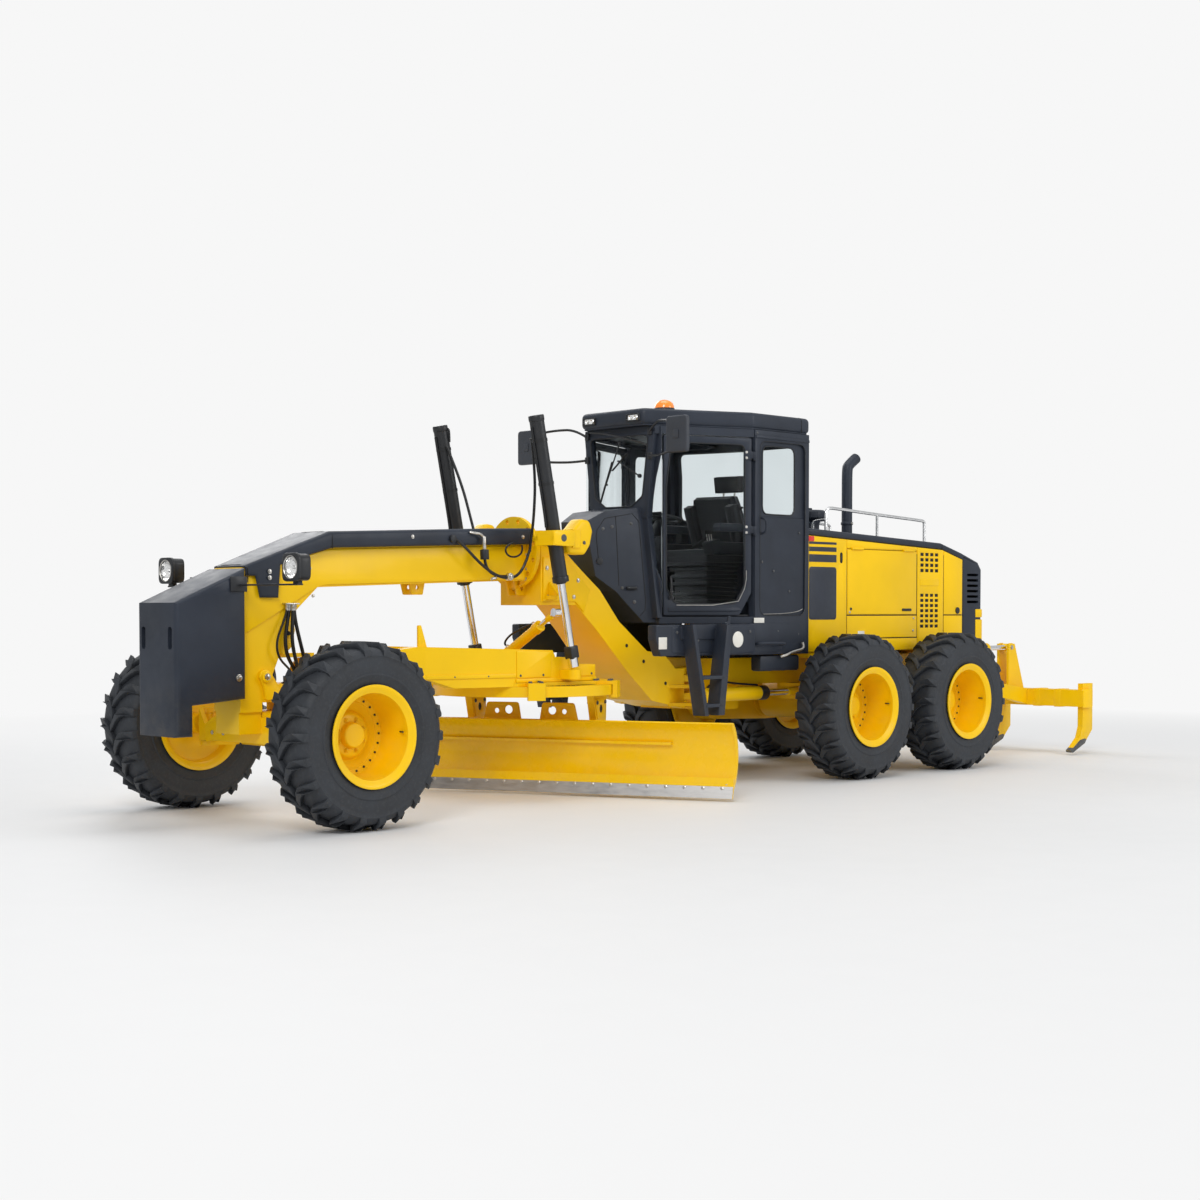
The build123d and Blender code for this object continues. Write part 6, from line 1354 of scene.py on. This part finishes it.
def makeStack():
    s = stackSizes
    foot = capHeight(s["exhaustY"]) + 0.002
    parts = [rod(at(0, s["exhaustY"], foot - 0.002), at(0, s["exhaustY"], foot + 0.03), 0.085, 40, 0.006)]
    bend = [at(0, s["exhaustY"], foot), at(0, s["exhaustY"], 2.7), at(0, s["exhaustY"], 2.96),
            at(0, s["exhaustY"] + 0.02, 3.01), at(0, s["exhaustY"] + 0.145, 3.085)]
    parts += [pipe(bend, s["exhaustRadius"] - 0.001, 3, 12, 6),
              rod(at(0, s["exhaustY"], foot + 0.16), at(0, s["exhaustY"], foot + 0.19), 0.061, 40, 0.004)]
    y = s["cleanerY"]
    base = capHeight(y)
    cleaner = [(0.0, 0.0), (0.0, 0.155), (0.025, 0.16), (0.04, 0.15), (0.05, 0.105), (0.075, 0.098),
               (0.12, 0.098), (0.15, 0.105), (0.176, 0.135), (0.19, 0.168), (0.225, 0.172), (0.25, 0.168),
               (0.268, 0.14), (0.272, 0.0)]
    parts.append(spun(cleaner, at(0, y, base - 0.006), (0, 0, 1), 40))
    for place in levelRing((0, y, base + 0.186), 0.165, 16):
        parts.append(rod(place, place + Vector((0, 0, 0.054)), 0.006, 6))
    parts.append(rod(at(0.0, y, base + 0.266), at(0.0, y, base + 0.285), 0.028, 24, 0.006))
    made = finishPiece(parts, "stackAndCleaner", "rear_frame", darkPaint, "dark_paint", 35)
    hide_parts("exhaust_and_rails")
    # A black disc on the capped pipe end is painted shade standing for the open mouth
    finishPiece(rod(at(0, s["exhaustY"] + 0.1455, 3.0845), at(0, s["exhaustY"] + 0.149, 3.0865), 0.047, 32),
                "stackMouth", "rear_frame", pureBlack)
    bolts = [hexBolt(at(0.062, s["exhaustY"], foot + 0.175), (1, 0, 0), 0.01, 0.012)]
    for place in levelRing((0, y, base + 0.022), 0.14, 4, 0.5):
        bolts.append(hexBolt(place, (0, 0, 1), 0.01, 0.008))
    finishPiece(bolts, "stackBolts", "rear_frame", boltSteel)
    rails = []
    x = s["railX"]
    rails += [tube([(x, 5.905, capHeight(5.9) + 0.002), (x, 5.9, 2.46), (x, 5.93, 2.515), (x, 6.05, 2.512),
                    (x, 6.7, 2.478), (x, 7.4, 2.446), (x, 7.478, 2.44), (x, 7.482, 2.4),
                    (x, 7.482, capHeight(7.48) + 0.002)], 0.0155, 3, 12, 3),
              rod(at(x, 6.7, capHeight(6.7)), at(x, 6.7, 2.476), 0.013, 20)]
    for railY in (5.905, 6.7, 7.482):
        rails.append(rod(at(x, railY, capHeight(railY) - 0.001), at(x, railY, capHeight(railY) + 0.01),
                         0.034, 24, 0.003))
    rails.append(tube([(x, 5.92, 2.4), (x - 0.12, 5.91, 2.4), (x - 0.16, 5.905, 2.37),
                       (x - 0.16, 5.905, capHeight(5.9))], 0.0135, 3, 8, 3))
    finishPiece(bothSides(rails), "hoodRails", "rear_frame", railSteel)


makeHoodPanels()
makeDoorSkins()
makeCap()
makeStack()
print("hood done")


# Working gear: lift cylinders, side shift, drawbar, circle and blade
gearSizes = {"liftX": 0.6, "liftY": 2.387, "liftZ": 2.13, "ballY": 2.6, "ballZ": 1.1, "barrel": 0.06,
             "rod": 0.032, "up": 1.0, "down": 0.362, "circleY": 2.6, "angle": 25, "bladeHalf": 1.855,
             "armAlong": 0.56, "teeth": 72, "toothRing": 0.63}


def liftWay():
    g = gearSizes
    trunnion = at(g["liftX"], g["liftY"], g["liftZ"])
    ball = at(g["liftX"], g["ballY"], g["ballZ"])
    return trunnion, ball, (ball - trunnion).normalized()


def band(start, way, low, high, outer, inner, steps=32):
    profile = [(0, inner), (0, outer), (high - low, outer), (high - low, inner)]
    return spun(profile, start + way * low, way, steps)


def makeLiftCylinders():
    g = gearSizes
    trunnion, ball, down = liftWay()
    top, gland = trunnion - down * g["up"], trunnion + down * g["down"]
    yellowYoke, steel = [], []
    x = g["liftX"]
    outer = [(x - 0.108, g["liftZ"] - 0.06), (x + 0.108, g["liftZ"] - 0.06), (x + 0.108, g["liftZ"] + 0.06),
             (x - 0.108, g["liftZ"] + 0.06)]
    for hand in (-1, 1):
        cheek = [(2.277, 2.07), (2.515, 2.062), (2.515, 2.198), (2.277, 2.19)]
        yellowYoke.append(sheetMetal(sidePlane(x + hand * 0.0915), [rounded(cheek, 0.045)], 0.043, 0.008))
    yellowYoke += [span((x - 0.108, x + 0.108), (2.28, 2.3), (2.07, 2.19), 0.008),
                   sheetMetal(acrossPlane(2.497), [rounded(outer, 0.03)], 0.044, 0.01)]
    horn = [(2.48, 2.06), (2.5, 2.01), (2.68, 2.0), (2.74, 2.08), (2.77, 2.2), (2.73, 2.285), (2.64, 2.295),
            (2.55, 2.21), (2.48, 2.195)]
    yellowYoke.append(sheetMetal(sidePlane(x - 0.01), [rounded(horn, 0.05)], 0.15, 0.03))
    steel += [rod(trunnion + Vector((0.11, 0, 0)), trunnion + Vector((0.117, 0, 0)), 0.03, 28, 0.003),
              hexBolt(at(x + 0.065, 2.66, 2.1), (1, 0, 0), 0.012, 0.01)]
    barrel = [rod(top + down * 0.004, gland - down * 0.002, g["barrel"] - 0.0005, 40, 0.004),
              rod(gland - down * 0.05, gland, g["barrel"] + 0.008, 40, 0.006),
              rod(top, top + down * 0.05, g["barrel"] + 0.004, 40, 0.008),
              rod(trunnion - down * 0.06, trunnion + down * 0.06, g["barrel"] + 0.006, 32, 0.004)]
    side = Vector((0.0, -0.066, -0.012))
    pipes = [pipe([top + down * 0.09 + side, top + down * 0.5 + side, trunnion - down * 0.14 + side,
                   trunnion - down * 0.1 + side * 1.1], 0.011, 3, 6, 2)]
    guard = pipe([top + down * 0.14 + Vector((-0.055, 0.03, 0)),
                  top + down * 0.05 + Vector((-0.072, 0.035, 0)),
                  top + down * 0.02 + Vector((-0.05, 0.04, 0)),
                  top + down * 0.02 + Vector((-0.01, 0.045, 0))], 0.01, 3, 6, 2)
    clips = [band(top, down, d, d + 0.024, g["barrel"] + 0.004, g["barrel"] - 0.002) for d in (0.19, 0.54)]
    hose = tube([(0.32, 2.372, 2.03), (0.33, 2.37, 2.09), (0.39, 2.355, 2.3), (0.47, 2.3, 2.66),
                 (0.53, 2.2, 2.93)], 0.012)
    collar = [rod(ball - down * 0.12, ball - down * 0.02, 0.044, 28, 0.006)]
    square = block((0, 0, 0), (0.088, 0.088, 0.105), 0.01)
    facing = down.to_track_quat("Z", "Y").to_matrix().to_4x4()
    square.matrix_world = Matrix.Translation(ball - down * 0.105) @ facing
    collar.append(settle(square))
    chrome = rod(gland - down * 0.02, ball - down * 0.1, g["rod"] + 0.0006, 40)
    wiper = rod(gland - down * 0.002, gland + down * 0.012, g["rod"] + 0.012, 32, 0.004)
    finishSides((("liftYoke", yellowYoke, yellowPaint, "lift_yoke_", 35),
                 ("liftYokeBolts", steel, greyIron, "lift_yoke_", 35),
                 ("liftBarrel", barrel + [wiper], blackPaint, "lift_barrel_", 35),
                 ("liftPipes", pipes + clips + [guard, hose], hoseRubber, "lift_barrel_", 35),
                 ("liftCollar", collar, blackPaint, "lift_rod_", 35),
                 ("liftChrome", [chrome], rodChrome, "lift_rod_", 35)))


def makeShiftCylinder():
    low, high = at(-0.345, 2.65, 1.135), at(0.34, 2.65, 1.53)
    way = (high - low).normalized()
    barrel = [band(low, way, 0.078, 0.563, 0.0435, 0.041), band(low, way, 0.5, 0.566, 0.05, 0.041),
              band(low, way, 0.07, 0.12, 0.049, 0.041),
              rod(low + way * 0.02, low + way * 0.076, 0.027, 24, 0.003)]
    barrel.append(rod(low + Vector((0, -0.026, 0)), low + Vector((0, 0.026, 0)), 0.0405, 32, 0.004))
    finishPiece(barrel, "shiftBarrel", "shift_barrel", yellowPaint, None, 35)
    upward = Vector((-way.z, 0, way.x))
    hoses = [pipe([low + way * 0.12 + upward * 0.05, low + way * 0.08 + upward * 0.09,
                   low + way * 0.18 + upward * 0.12, low + way * 0.34 + upward * 0.1,
                   low + way * 0.5 + upward * 0.06], 0.009, 3, 8, 2)]
    fittings = [rod(low + way * 0.5 + upward * 0.04, low + way * 0.5 + upward * 0.07, 0.014, 12, 0.002),
                rod(low + way * 0.12 + upward * 0.035, low + way * 0.12 + upward * 0.062, 0.014, 12, 0.002)]
    finishAll("shift_barrel", [
        ("shiftHoses", hoses, hoseRubber),
        ("shiftFittings", fittings, boltSteel),
    ])
    finishPiece(rod(high - way * 0.13, high - way * 0.055, 0.0255, 24, 0.004), "shiftRodNeck", "shift_rod",
                yellowPaint, None, 35)


def beamX(y):
    table = ((0.52, 0.095), (1.25, 0.34), (2.05, 0.5), (2.95, 0.5))
    for (y0, x0), (y1, x1) in zip(table, table[1:]):
        if y <= y1:
            return x0 + (x1 - x0) * (y - y0) / (y1 - y0)
    return table[-1][1]


def makeDrawbarTrim():
    g = gearSizes
    strips, bolts, dark = [], [], []
    # Flange along the foot of each side beam
    for start, end in (((0.1, 0.56), (0.345, 1.25)), ((0.345, 1.25), (0.505, 2.05))):
        a, b = at(start[0], start[1], 0.985 if start[1] < 1 else 0.975), at(end[0], end[1], 0.975)
        along = (b - a).normalized()
        plane = onPlane(a, along, (0, 0, 1))
        length = (b - a).length
        strips.append(sheetMetal(plane @ Matrix.Translation((0, 0, -0.004)),
                                 [[(0, 0.03), (length, 0.03), (length, 0.062), (0, 0.062)]], 0.02, 0.004))
    strips.append(span((0.498, 0.515), (2.05, 2.95), (0.962, 0.994), 0.004))
    for plate in ([(2.06, 1.0), (2.44, 1.0), (2.44, 1.21), (2.3, 1.215), (2.06, 1.222)],
                  [(2.7, 1.0), (2.94, 1.0), (2.94, 1.085), (2.7, 1.09)]):
        strips.append(sheetMetal(sidePlane(0.503), [rounded(plate, 0.012)], 0.008, 0.003))
    for y in (0.9, 1.2, 1.5, 1.8, 2.1, 2.35, 2.75, 2.9):
        x = beamX(y)
        bolts.append(hexBolt(at(x + 0.006, y, 1.02), (1, -0.2 if y < 2.05 else 0, 0), 0.008, 0.006))
    # Raised rib on the near side member
    outline = [(1.205, 1.22), (1.3, 1.235), (1.235, 1.43), (1.205, 1.43)]
    fin = sheetMetal(sidePlane(0.3), [rounded(outline, 0.012)], 0.02, 0.003)
    finishPiece(bothSides(strips) + [fin], "drawbarFlanges", "drawbar", yellowPaint, None, 30)
    shoes = []
    for turn in (35, 145, 215, 325):
        t = radians(turn)
        out = Vector((cos(t), sin(t), 0))
        for k in (-1, 1):
            for r in (0.62, 0.74):
                side = Vector((-sin(t), cos(t), 0))
                shoes.append(hexBolt(at(0, g["circleY"], 0.9605) + out * r + side * k * 0.045, (0, 0, 1),
                                     0.016, 0.014))
    for place in levelRing((0, 2.08, 1.07), 0.108, 10):
        shoes.append(hexBolt(place, (0, 0, 1), 0.01, 0.008))
    finishPiece(bothSides(bolts) + shoes, "drawbarBolts", "drawbar", greyIron)
    dark = [rod(at(0, 2.08, 1.13), at(0, 2.08, 1.158), 0.06, 28, 0.008),
            rod(at(0, 2.08, 1.15), at(0.0, 2.08, 1.2), 0.045, 24, 0.006)]
    dark.append(tube([(0.04, 2.1, 1.19), (0.12, 2.2, 1.2), (0.2, 2.3, 1.08), (0.3, 2.4, 1.0),
                      (0.36, 2.5, 0.985)], 0.012))
    finishPiece(dark, "circleMotor", "drawbar", blackPaint, None, 35)


def bladeWays():  # along and ahead of the blade
    turn = radians(gearSizes["angle"])
    return Vector((cos(turn), sin(turn), 0)), Vector((sin(turn), -cos(turn), 0))


def onBlade(sideways, forward, z):
    along, ahead = bladeWays()
    return at(0, gearSizes["circleY"], z) + along * sideways + ahead * forward


def makeCircleTrim():
    g = gearSizes
    teeth = [rod(place, place + Vector((0, 0, 0.071)), 0.018, 6)
             for place in levelRing((0, g["circleY"], 0.852), g["toothRing"], g["teeth"])]
    finishPiece(teeth, "circleTeeth", "circle", greyIron, None, 30)
    along, ahead = bladeWays()
    webs, bolts, holes = [], [], []
    web = rounded([(-0.38, 0.8), (-0.12, 0.8), (-0.175, 0.63), (-0.37, 0.63)], 0.03)
    for position in (-g["armAlong"], g["armAlong"]):
        for k in (-1, 1):
            plane = onPlane(onBlade(position + k * 0.034, 0, 0), ahead, (0, 0, 1))
            webs.append(sheetMetal(plane, [web, circleLoop((-0.26, 0.715), 0.035, 24)], 0.008, 0.003))
            # Black discs set into the web holes are painted shade inside the holes
            holes.append(rod(*(onBlade(position + k * depth, -0.26, 0.715) for depth in (0.029, 0.0335)),
                             0.034, 24))
            for forward in (-0.16, -0.35):
                bolts.append(hexBolt(onBlade(position + k * 0.038, forward, 0.77), along * k, 0.014, 0.011))
    finishAll("circle", [
        ("circleWebs", webs, yellowPaint, 30),
        ("circleBolts", bolts, greyIron),
        ("circleHoles", holes, pureBlack),
    ])


bladeOutlines = {"end": [(0.058, 0.1), (-0.012, 0.18), (-0.052, 0.27), (-0.06, 0.33), (-0.05, 0.41),
                         (-0.012, 0.52), (0.068, 0.62), (0.055, 0.63), (-0.03, 0.54), (-0.078, 0.42),
                         (-0.088, 0.33), (-0.078, 0.25), (-0.03, 0.15), (0.03, 0.095)],
                 "rib": [(-0.05, -0.09), (0.015, -0.02), (0.05, -0.013), (-0.005, -0.055), (-0.04, -0.1)],
                 "edge": [(0.0735, 0.024), (0.0885, 0.024), (0.0655, 0.12), (0.05, 0.12)]}
tipPin = {"along": 0.66, "ahead": -0.21, "z": 0.33}


def makeBladeTrim():
    g, up = gearSizes, (0, 0, 1)
    along, ahead = bladeWays()
    bolts = [rod(onBlade(k * 0.16, 0.0605, 0.103), onBlade(k * 0.16, 0.0725, 0.106), 0.014, 14, 0.002)
             for k in range(-11, 12)]
    ribs = []
    for k in (-1, 1):
        plane = onPlane(onBlade(k * (g["bladeHalf"] - 0.012), 0, 0), ahead, up)
        ribs.append(sheetMetal(plane, [bladeOutlines["end"]], 0.022, 0.004))
        for z in (0.09, 0.13):
            forward = 0.077 - (z - 0.02) * 0.24
            bolts.append(hexBolt(onBlade(k * (g["bladeHalf"] - 0.06), forward, z), ahead, 0.012, 0.009))
    for k in (-6, -5, -4, -1, 0, 1, 4, 5, 6):
        plane = onPlane(onBlade(k * 0.28, -0.02, 0.635), ahead, up)
        ribs.append(sheetMetal(plane, [bladeOutlines["rib"]], 0.014, 0.003))
    finishAll("moldboard", [
        ("bladeBolts", bolts, boltSteel),
        ("bladeRibs", ribs, bladePaint, 30),
    ])
    level = onPlane(onBlade(0, 0, 0), ahead, up)
    strip = sheetMetal(level, [bladeOutlines["edge"]], 2 * g["bladeHalf"] - 0.004, 0.002)
    finishPiece(strip, "bladeEdge", "moldboard", edgeSteel, None, 30)
    pin, forward, z = tipPin.values()
    tip = [rod(onBlade(k * pin, forward, z), onBlade(k * (pin + 0.025), forward, z), 0.034, 24, 0.003)
           for k in (-1, 1)]
    tip += [hexBolt(onBlade(k * (pin + 0.024), forward, z), along * k, 0.018, 0.012) for k in (-1, 1)]
    finishPiece(tip, "tipPins", "blade_carrier", boltSteel)
    tilt = [rod(onBlade(0, -0.24, 0.345), onBlade(0, -0.175, 0.56), 0.035, 28, 0.005),
            rod(onBlade(0, -0.26, 0.28), onBlade(0, -0.24, 0.35), 0.028, 20, 0.003)]
    for k in (-1, 1):
        outline = rounded([(k * 0.06, 0.46), (k * 0.11, 0.765), (k * 0.4, 0.765), (k * 0.47, 0.46)], 0.03)
        holes = [circleLoop((k * 0.2, 0.7), 0.036, 24), circleLoop((k * 0.31, 0.69), 0.022, 20)]
        tilt.append(sheetMetal(onPlane(onBlade(0, -0.14, 0), along, up), [outline] + holes, 0.02, 0.004))
    finishPiece(tilt, "tipCylinder", "blade_carrier", yellowPaint, None, 35)


makeLiftCylinders()
makeShiftCylinder()
makeDrawbarTrim()
makeCircleTrim()
makeBladeTrim()
print("gear done")


# Axles, hubs, frame steering, tandems and ripper
rearSizes = {"steerX": 0.5, "steerZ": 0.79, "frontPin": 4.24, "rearPin": 5.65, "axle": 6.48, "lead": 5.7175,
             "trail": 7.2425, "reach": 0.17, "hub": 0.665, "inner": 0.62, "outer": 0.835}


def makeFrameSteering():
    r = rearSizes
    barrels, dark, steel = [], [], []
    x, z = r["steerX"], r["steerZ"]
    start, end = at(x, r["frontPin"] + 0.07, z), at(x, 5.14, z)
    way = Vector((0, 1, 0))
    barrels += [rod(start, end, 0.063, 36, 0.004),
                rod(start, start + way * 0.03, 0.068, 36, 0.005),
                rod(at(x, r["frontPin"], z - 0.061), at(x, r["frontPin"], z + 0.061), 0.0525, 32, 0.005)]
    dark += [rod(end - way * 0.1, end + way * 0.002, 0.0665, 36, 0.006),
             rod(end, end + way * 0.012, 0.042, 28, 0.004)]
    steel.append(rod(at(x, 4.42, z + 0.055), at(x, 4.42, z + 0.085), 0.016, 14, 0.002))
    dark.append(tube([(x, 4.42, z + 0.08), (x - 0.02, 4.46, z + 0.12), (x - 0.06, 4.6, z + 0.115),
                      (x - 0.05, 4.85, z + 0.085), (x - 0.02, 5.06, z + 0.072)], 0.009))
    rods = [rod(at(x, r["rearPin"], z - 0.041), at(x, r["rearPin"], z + 0.041), 0.0485, 32, 0.004),
            rod(at(x, 5.46, z), at(x, 5.62, z), 0.042, 28, 0.005)]
    finishSides((("steerBarrel", barrels, yellowPaint, "frame_barrel_", 35),
                 ("steerGland", dark, blackPaint, "frame_barrel_", 35),
                 ("steerFitting", steel, boltSteel, "frame_barrel_", 35),
                 ("steerEye", rods, yellowPaint, "frame_rod_", 35)))


def makeFrontAxleTrim():
    strips, bolts = [], []
    beam = [(-0.6, 0.56), (0.6, 0.56), (0.6, 0.67), (0.3, 0.76), (-0.3, 0.76), (-0.6, 0.67)]
    strips += [sheetMetal(acrossPlane(-0.142), [rounded(beam, 0.03)], 0.01, 0.003),
               rod(at(0, -0.2, 0.715), at(0, -0.145, 0.715), 0.06, 32, 0.004)]
    for x in (-0.5, -0.35, 0.35, 0.5):
        bolts.append(hexBolt(at(x, -0.147, 0.62), (0, -1, 0), 0.013, 0.01))
    finishPiece(strips[0], "axleFace", "front_axle", yellowPaint, None, 30)
    finishPiece(strips[1], "axlePin", "front_frame", yellowPaint, None, 30)
    finishPiece(bolts, "axleBolts", "front_axle", boltSteel)


def makeTandemTrim():
    r = rearSizes
    for hand, name in sides:
        plates, bolts = [], []
        x = hand * r["inner"]
        lead, axle, trail, reach = r["lead"], r["axle"], r["trail"], r["reach"]
        outline = [(lead, 0.475), (axle, 0.452), (trail, 0.475), (trail + reach, 0.56), (trail + reach, 0.77),
                   (trail, 0.855), (axle, 0.893), (lead, 0.855), (lead - reach, 0.77), (lead - reach, 0.56)]
        plates.append(sheetMetal(sidePlane(hand * (r["outer"] + 0.001)),
                                 [rounded(outline, 0.05), circleLoop((r["lead"], r["hub"]), 0.113, 32),
                                  circleLoop((r["trail"], r["hub"]), 0.113, 32)], 0.012, 0.004))
        cover = squareLoop(6.2, 0.56, 6.76, 0.79, 0.04)
        plates.append(sheetMetal(sidePlane(hand * (r["outer"] + 0.009)), [cover], 0.012, 0.004))
        for y, z in ((6.23, 0.59), (6.23, 0.76), (6.73, 0.59), (6.73, 0.76), (6.48, 0.59), (6.48, 0.76)):
            bolts.append(hexBolt(at(hand * (r["outer"] + 0.014), y, z), (hand, 0, 0), 0.011, 0.009))
        for k in range(9):
            y = 5.85 + k * 0.1575
            z = 0.893 - 0.038 * abs(y - r["axle"]) / 0.7625 - 0.018
            bolts.append(hexBolt(at(hand * (r["outer"] + 0.006), y, z), (hand, 0, 0), 0.008, 0.007))
        plates.append(rod(at(x, r["axle"], r["hub"]), at(x - hand * 0.012, r["axle"], r["hub"]), 0.19, 40,
                          0.003))
        finishPiece(plates, "tandemPlates-" + name, "tandem_" + name, yellowPaint, None, 30)
        finishPiece(bolts, "tandemBolts-" + name, "tandem_" + name, boltSteel)


def makeRipperTrim():
    plates, bolts, dark = [], [], []
    for tine in (-1.03, 0.0, 1.03):
        shank = [(9.752, 0.758), (9.948, 0.758), (9.948, 0.27), (9.9, 0.21), (9.815, 0.14), (9.79, 0.16),
                 (9.74, 0.24), (9.752, 0.3)]
        plates.append(sheetMetal(sidePlane(tine), [rounded(shank, 0.02)], 0.064, 0.006))
        point = [(9.83, 0.155), (9.8, 0.17), (9.7, 0.155), (9.518, 0.052), (9.53, 0.03), (9.56, 0.025),
                 (9.8, 0.115)]
        dark.append(sheetMetal(sidePlane(tine), [point], 0.07, 0.006))
        for z in (0.56, 0.65):
            bolts.append(rod(at(tine - 0.045, 9.85, z), at(tine + 0.045, 9.85, z), 0.015, 16, 0.002))
        plates.append(span((tine - 0.055, tine + 0.055), (9.86, 9.885), (0.5, 0.7), 0.006))
    for x in (-1.095, 1.095):
        plates.append(sheetMetal(sidePlane(x), [squareLoop(9.69, 0.5, 9.88, 0.7, 0.02)], 0.02, 0.004))
    for x in (-0.78, -0.52, 0.52, 0.78):
        plates.append(span((x - 0.045, x + 0.045), (9.695, 9.876), (0.503, 0.697), 0.008))
        bolts.append(hexBolt(at(x, 9.876, 0.6), (0, 1, 0), 0.014, 0.01))
    for x in (-0.19, 0.19):
        bolts += [hexBolt(at(x + 0.075, 9.6, 1.14), (1, 0, 0), 0.02, 0.012),
                  hexBolt(at(x - 0.075, 9.6, 1.14), (-1, 0, 0), 0.02, 0.012)]
    finishAll("ripper", [
        ("ripperPlates", plates, yellowPaint, 30),
        ("ripperBolts", bolts, boltSteel),
        ("ripperPoints", dark, greyIron, 30),
    ])
    low, high = at(0, 8.42, 1.12), at(0, 9.6, 1.14)
    way = (high - low).normalized()
    glands, eyes = [], []
    for x in (-0.19, 0.19):
        move = Vector((x, 0, 0))
        glands += [rod(low + move + way * 0.76, low + move + way * 0.802, 0.058, 32, 0.005),
                   rod(low + move + way * 0.085, low + move + way * 0.12, 0.057, 32, 0.005)]
        eyes.append(rod(high + move + Vector((-0.036, 0, 0)), high + move + Vector((0.036, 0, 0)), 0.041,
                        28, 0.004))
    finishPiece(glands, "ripperGlands", "ripper_barrels", yellowPaint, None, 35)
    finishPiece(eyes, "ripperEyes", "ripper_rods", yellowPaint, None, 35)
    tail, tailBolts = [], []
    for x in (-0.62, 0.62):
        tail.append(span((x - 0.06, x + 0.06), (8.358, 8.368), (0.7, 1.2), 0.003))
        for z in (0.76, 0.95, 1.14):
            tailBolts.append(hexBolt(at(x, 8.367, z), (0, 1, 0), 0.013, 0.01))
    finishAll("rear_frame", [
        ("tailPads", tail, yellowPaint, 30),
        ("tailBolts", tailBolts, boltSteel),
    ])


def makeUnderCab():
    parts, dark = [], []
    for hand, _ in sides:
        dark.append(tube([(hand * 0.33, 4.75, 1.0), (hand * 0.36, 4.66, 0.92), (hand * 0.3, 4.6, 0.86),
                          (hand * 0.22, 4.64, 0.82)], 0.014))
        parts.append(span((hand * 0.66, hand * 0.78), (4.75, 5.3), (1.0, 1.142), 0.02))
    finishAll("rear_frame", [
        ("underHoses", dark, hoseRubber),
        ("batteryBoxes", parts, darkPaint, 30),
    ])


makeFrameSteering()
makeFrontAxleTrim()
makeTandemTrim()
makeRipperTrim()
makeUnderCab()
print("rear done")


# Floor, light and camera
stageValues = {"floorTone": 0.8, "fadeStart": 5.5, "fadeEnd": 14, "skyTone": 0.93, "skyLight": 0.58}


def makeStage():
    deselect()
    bpy.ops.mesh.primitive_circle_add(vertices=64, radius=120, fill_type="NGON", location=(0, 0, -0.0005))
    floor = bpy.context.object
    floor.name = "floor"
    look, tree, shader = newLook("paleFloor")
    s, place = stageValues, onObject(tree)
    grain = mapped(tree, noise(tree, place, 3, 4), *spread)
    tone = mixed(tree, grain, (s["floorTone"] * 0.985,) * 3, (s["floorTone"],) * 3)
    feed(tree, shader, {"Base Color": tone, "Roughness": 0.6, "Specular IOR Level": 0.2})
    glow = node(tree, "ShaderNodeEmission", {"Color": (s["skyTone"],) * 3 + (1,), "Strength": 1.0})
    far = node(tree, "ShaderNodeVectorMath", {0: place}, {"operation": "LENGTH"})
    fade = mapped(tree, far.outputs["Value"], s["fadeStart"], s["fadeEnd"])
    rays = node(tree, "ShaderNodeLightPath", {})
    seen = calculated(tree, "MULTIPLY", fade, rays.outputs["Is Camera Ray"])
    blend = {"Fac": seen, 1: shader.outputs["BSDF"], 2: glow.outputs["Emission"]}
    surface = node(tree, "ShaderNodeMixShader", blend).outputs["Shader"]
    feed(tree, tree.nodes["Material Output"], {"Surface": surface})
    floor.data.materials.append(look)


def makeSky():
    world = bpy.data.worlds.new("studio")
    bpy.context.scene.world = world
    world.use_nodes = True
    tree = world.node_tree
    light = feed(tree, tree.nodes["Background"],
                 {"Color": (0.97, 0.985, 1.0, 1), "Strength": stageValues["skyLight"]})
    seen = node(tree, "ShaderNodeBackground",
                {"Color": (stageValues["skyTone"],) * 3 + (1,), "Strength": 1.0})
    rays = node(tree, "ShaderNodeLightPath", {})
    either = calculated(tree, "MAXIMUM", rays.outputs["Is Camera Ray"], rays.outputs["Is Transmission Ray"])
    blend = {"Fac": either, 1: light.outputs["Background"], 2: seen.outputs["Background"]}
    surface = node(tree, "ShaderNodeMixShader", blend).outputs["Shader"]
    feed(tree, tree.nodes["World Output"], {"Surface": surface})


lampTable = (  # name, place, aim, width, watts
    ("keyLamp", (13, -18, 15), (0, -1, 1), 9, 1900),
    ("fillLamp", (14, 6, 7), (0, 1, 1), 7, 560),
    ("backLamp", (-12, 3, 9), (0, 0, 1), 8, 560),
    ("topLamp", (0, 0, 13), (0, 0, 0), 9, 420),
)


def makeLamps():
    for name, place, aim, width, watts in lampTable:
        light = bpy.data.lights.new(name, "AREA")
        light.shape = "DISK"
        light.size = width
        light.energy = watts
        lamp = bpy.data.objects.new(name, light)
        bpy.context.scene.collection.objects.link(lamp)
        lamp.location = place
        lamp.rotation_euler = (Vector(aim) - Vector(place)).to_track_quat("-Z", "Y").to_euler()


cameraValues = {"place": (11.564, -12.4415, 1.544), "aim": (0, -1.0125, 1.0), "lens": 55.575,
                "shiftUp": 0.0605}


def makeCamera():
    view = bpy.data.cameras.new("photoCamera")
    view.lens = cameraValues["lens"]
    view.sensor_width = 36
    view.shift_y = cameraValues["shiftUp"]
    view.clip_end = 300
    camera = bpy.data.objects.new("photoCamera", view)
    bpy.context.scene.collection.objects.link(camera)
    camera.location = cameraValues["place"]
    aim = Vector(cameraValues["aim"]) - Vector(cameraValues["place"])
    camera.rotation_euler = aim.to_track_quat("-Z", "Y").to_euler()
    bpy.context.scene.camera = camera


makeStage()
makeSky()
makeLamps()
makeCamera()
bpy.context.scene.view_settings.view_transform = "Standard"
print("scene done")
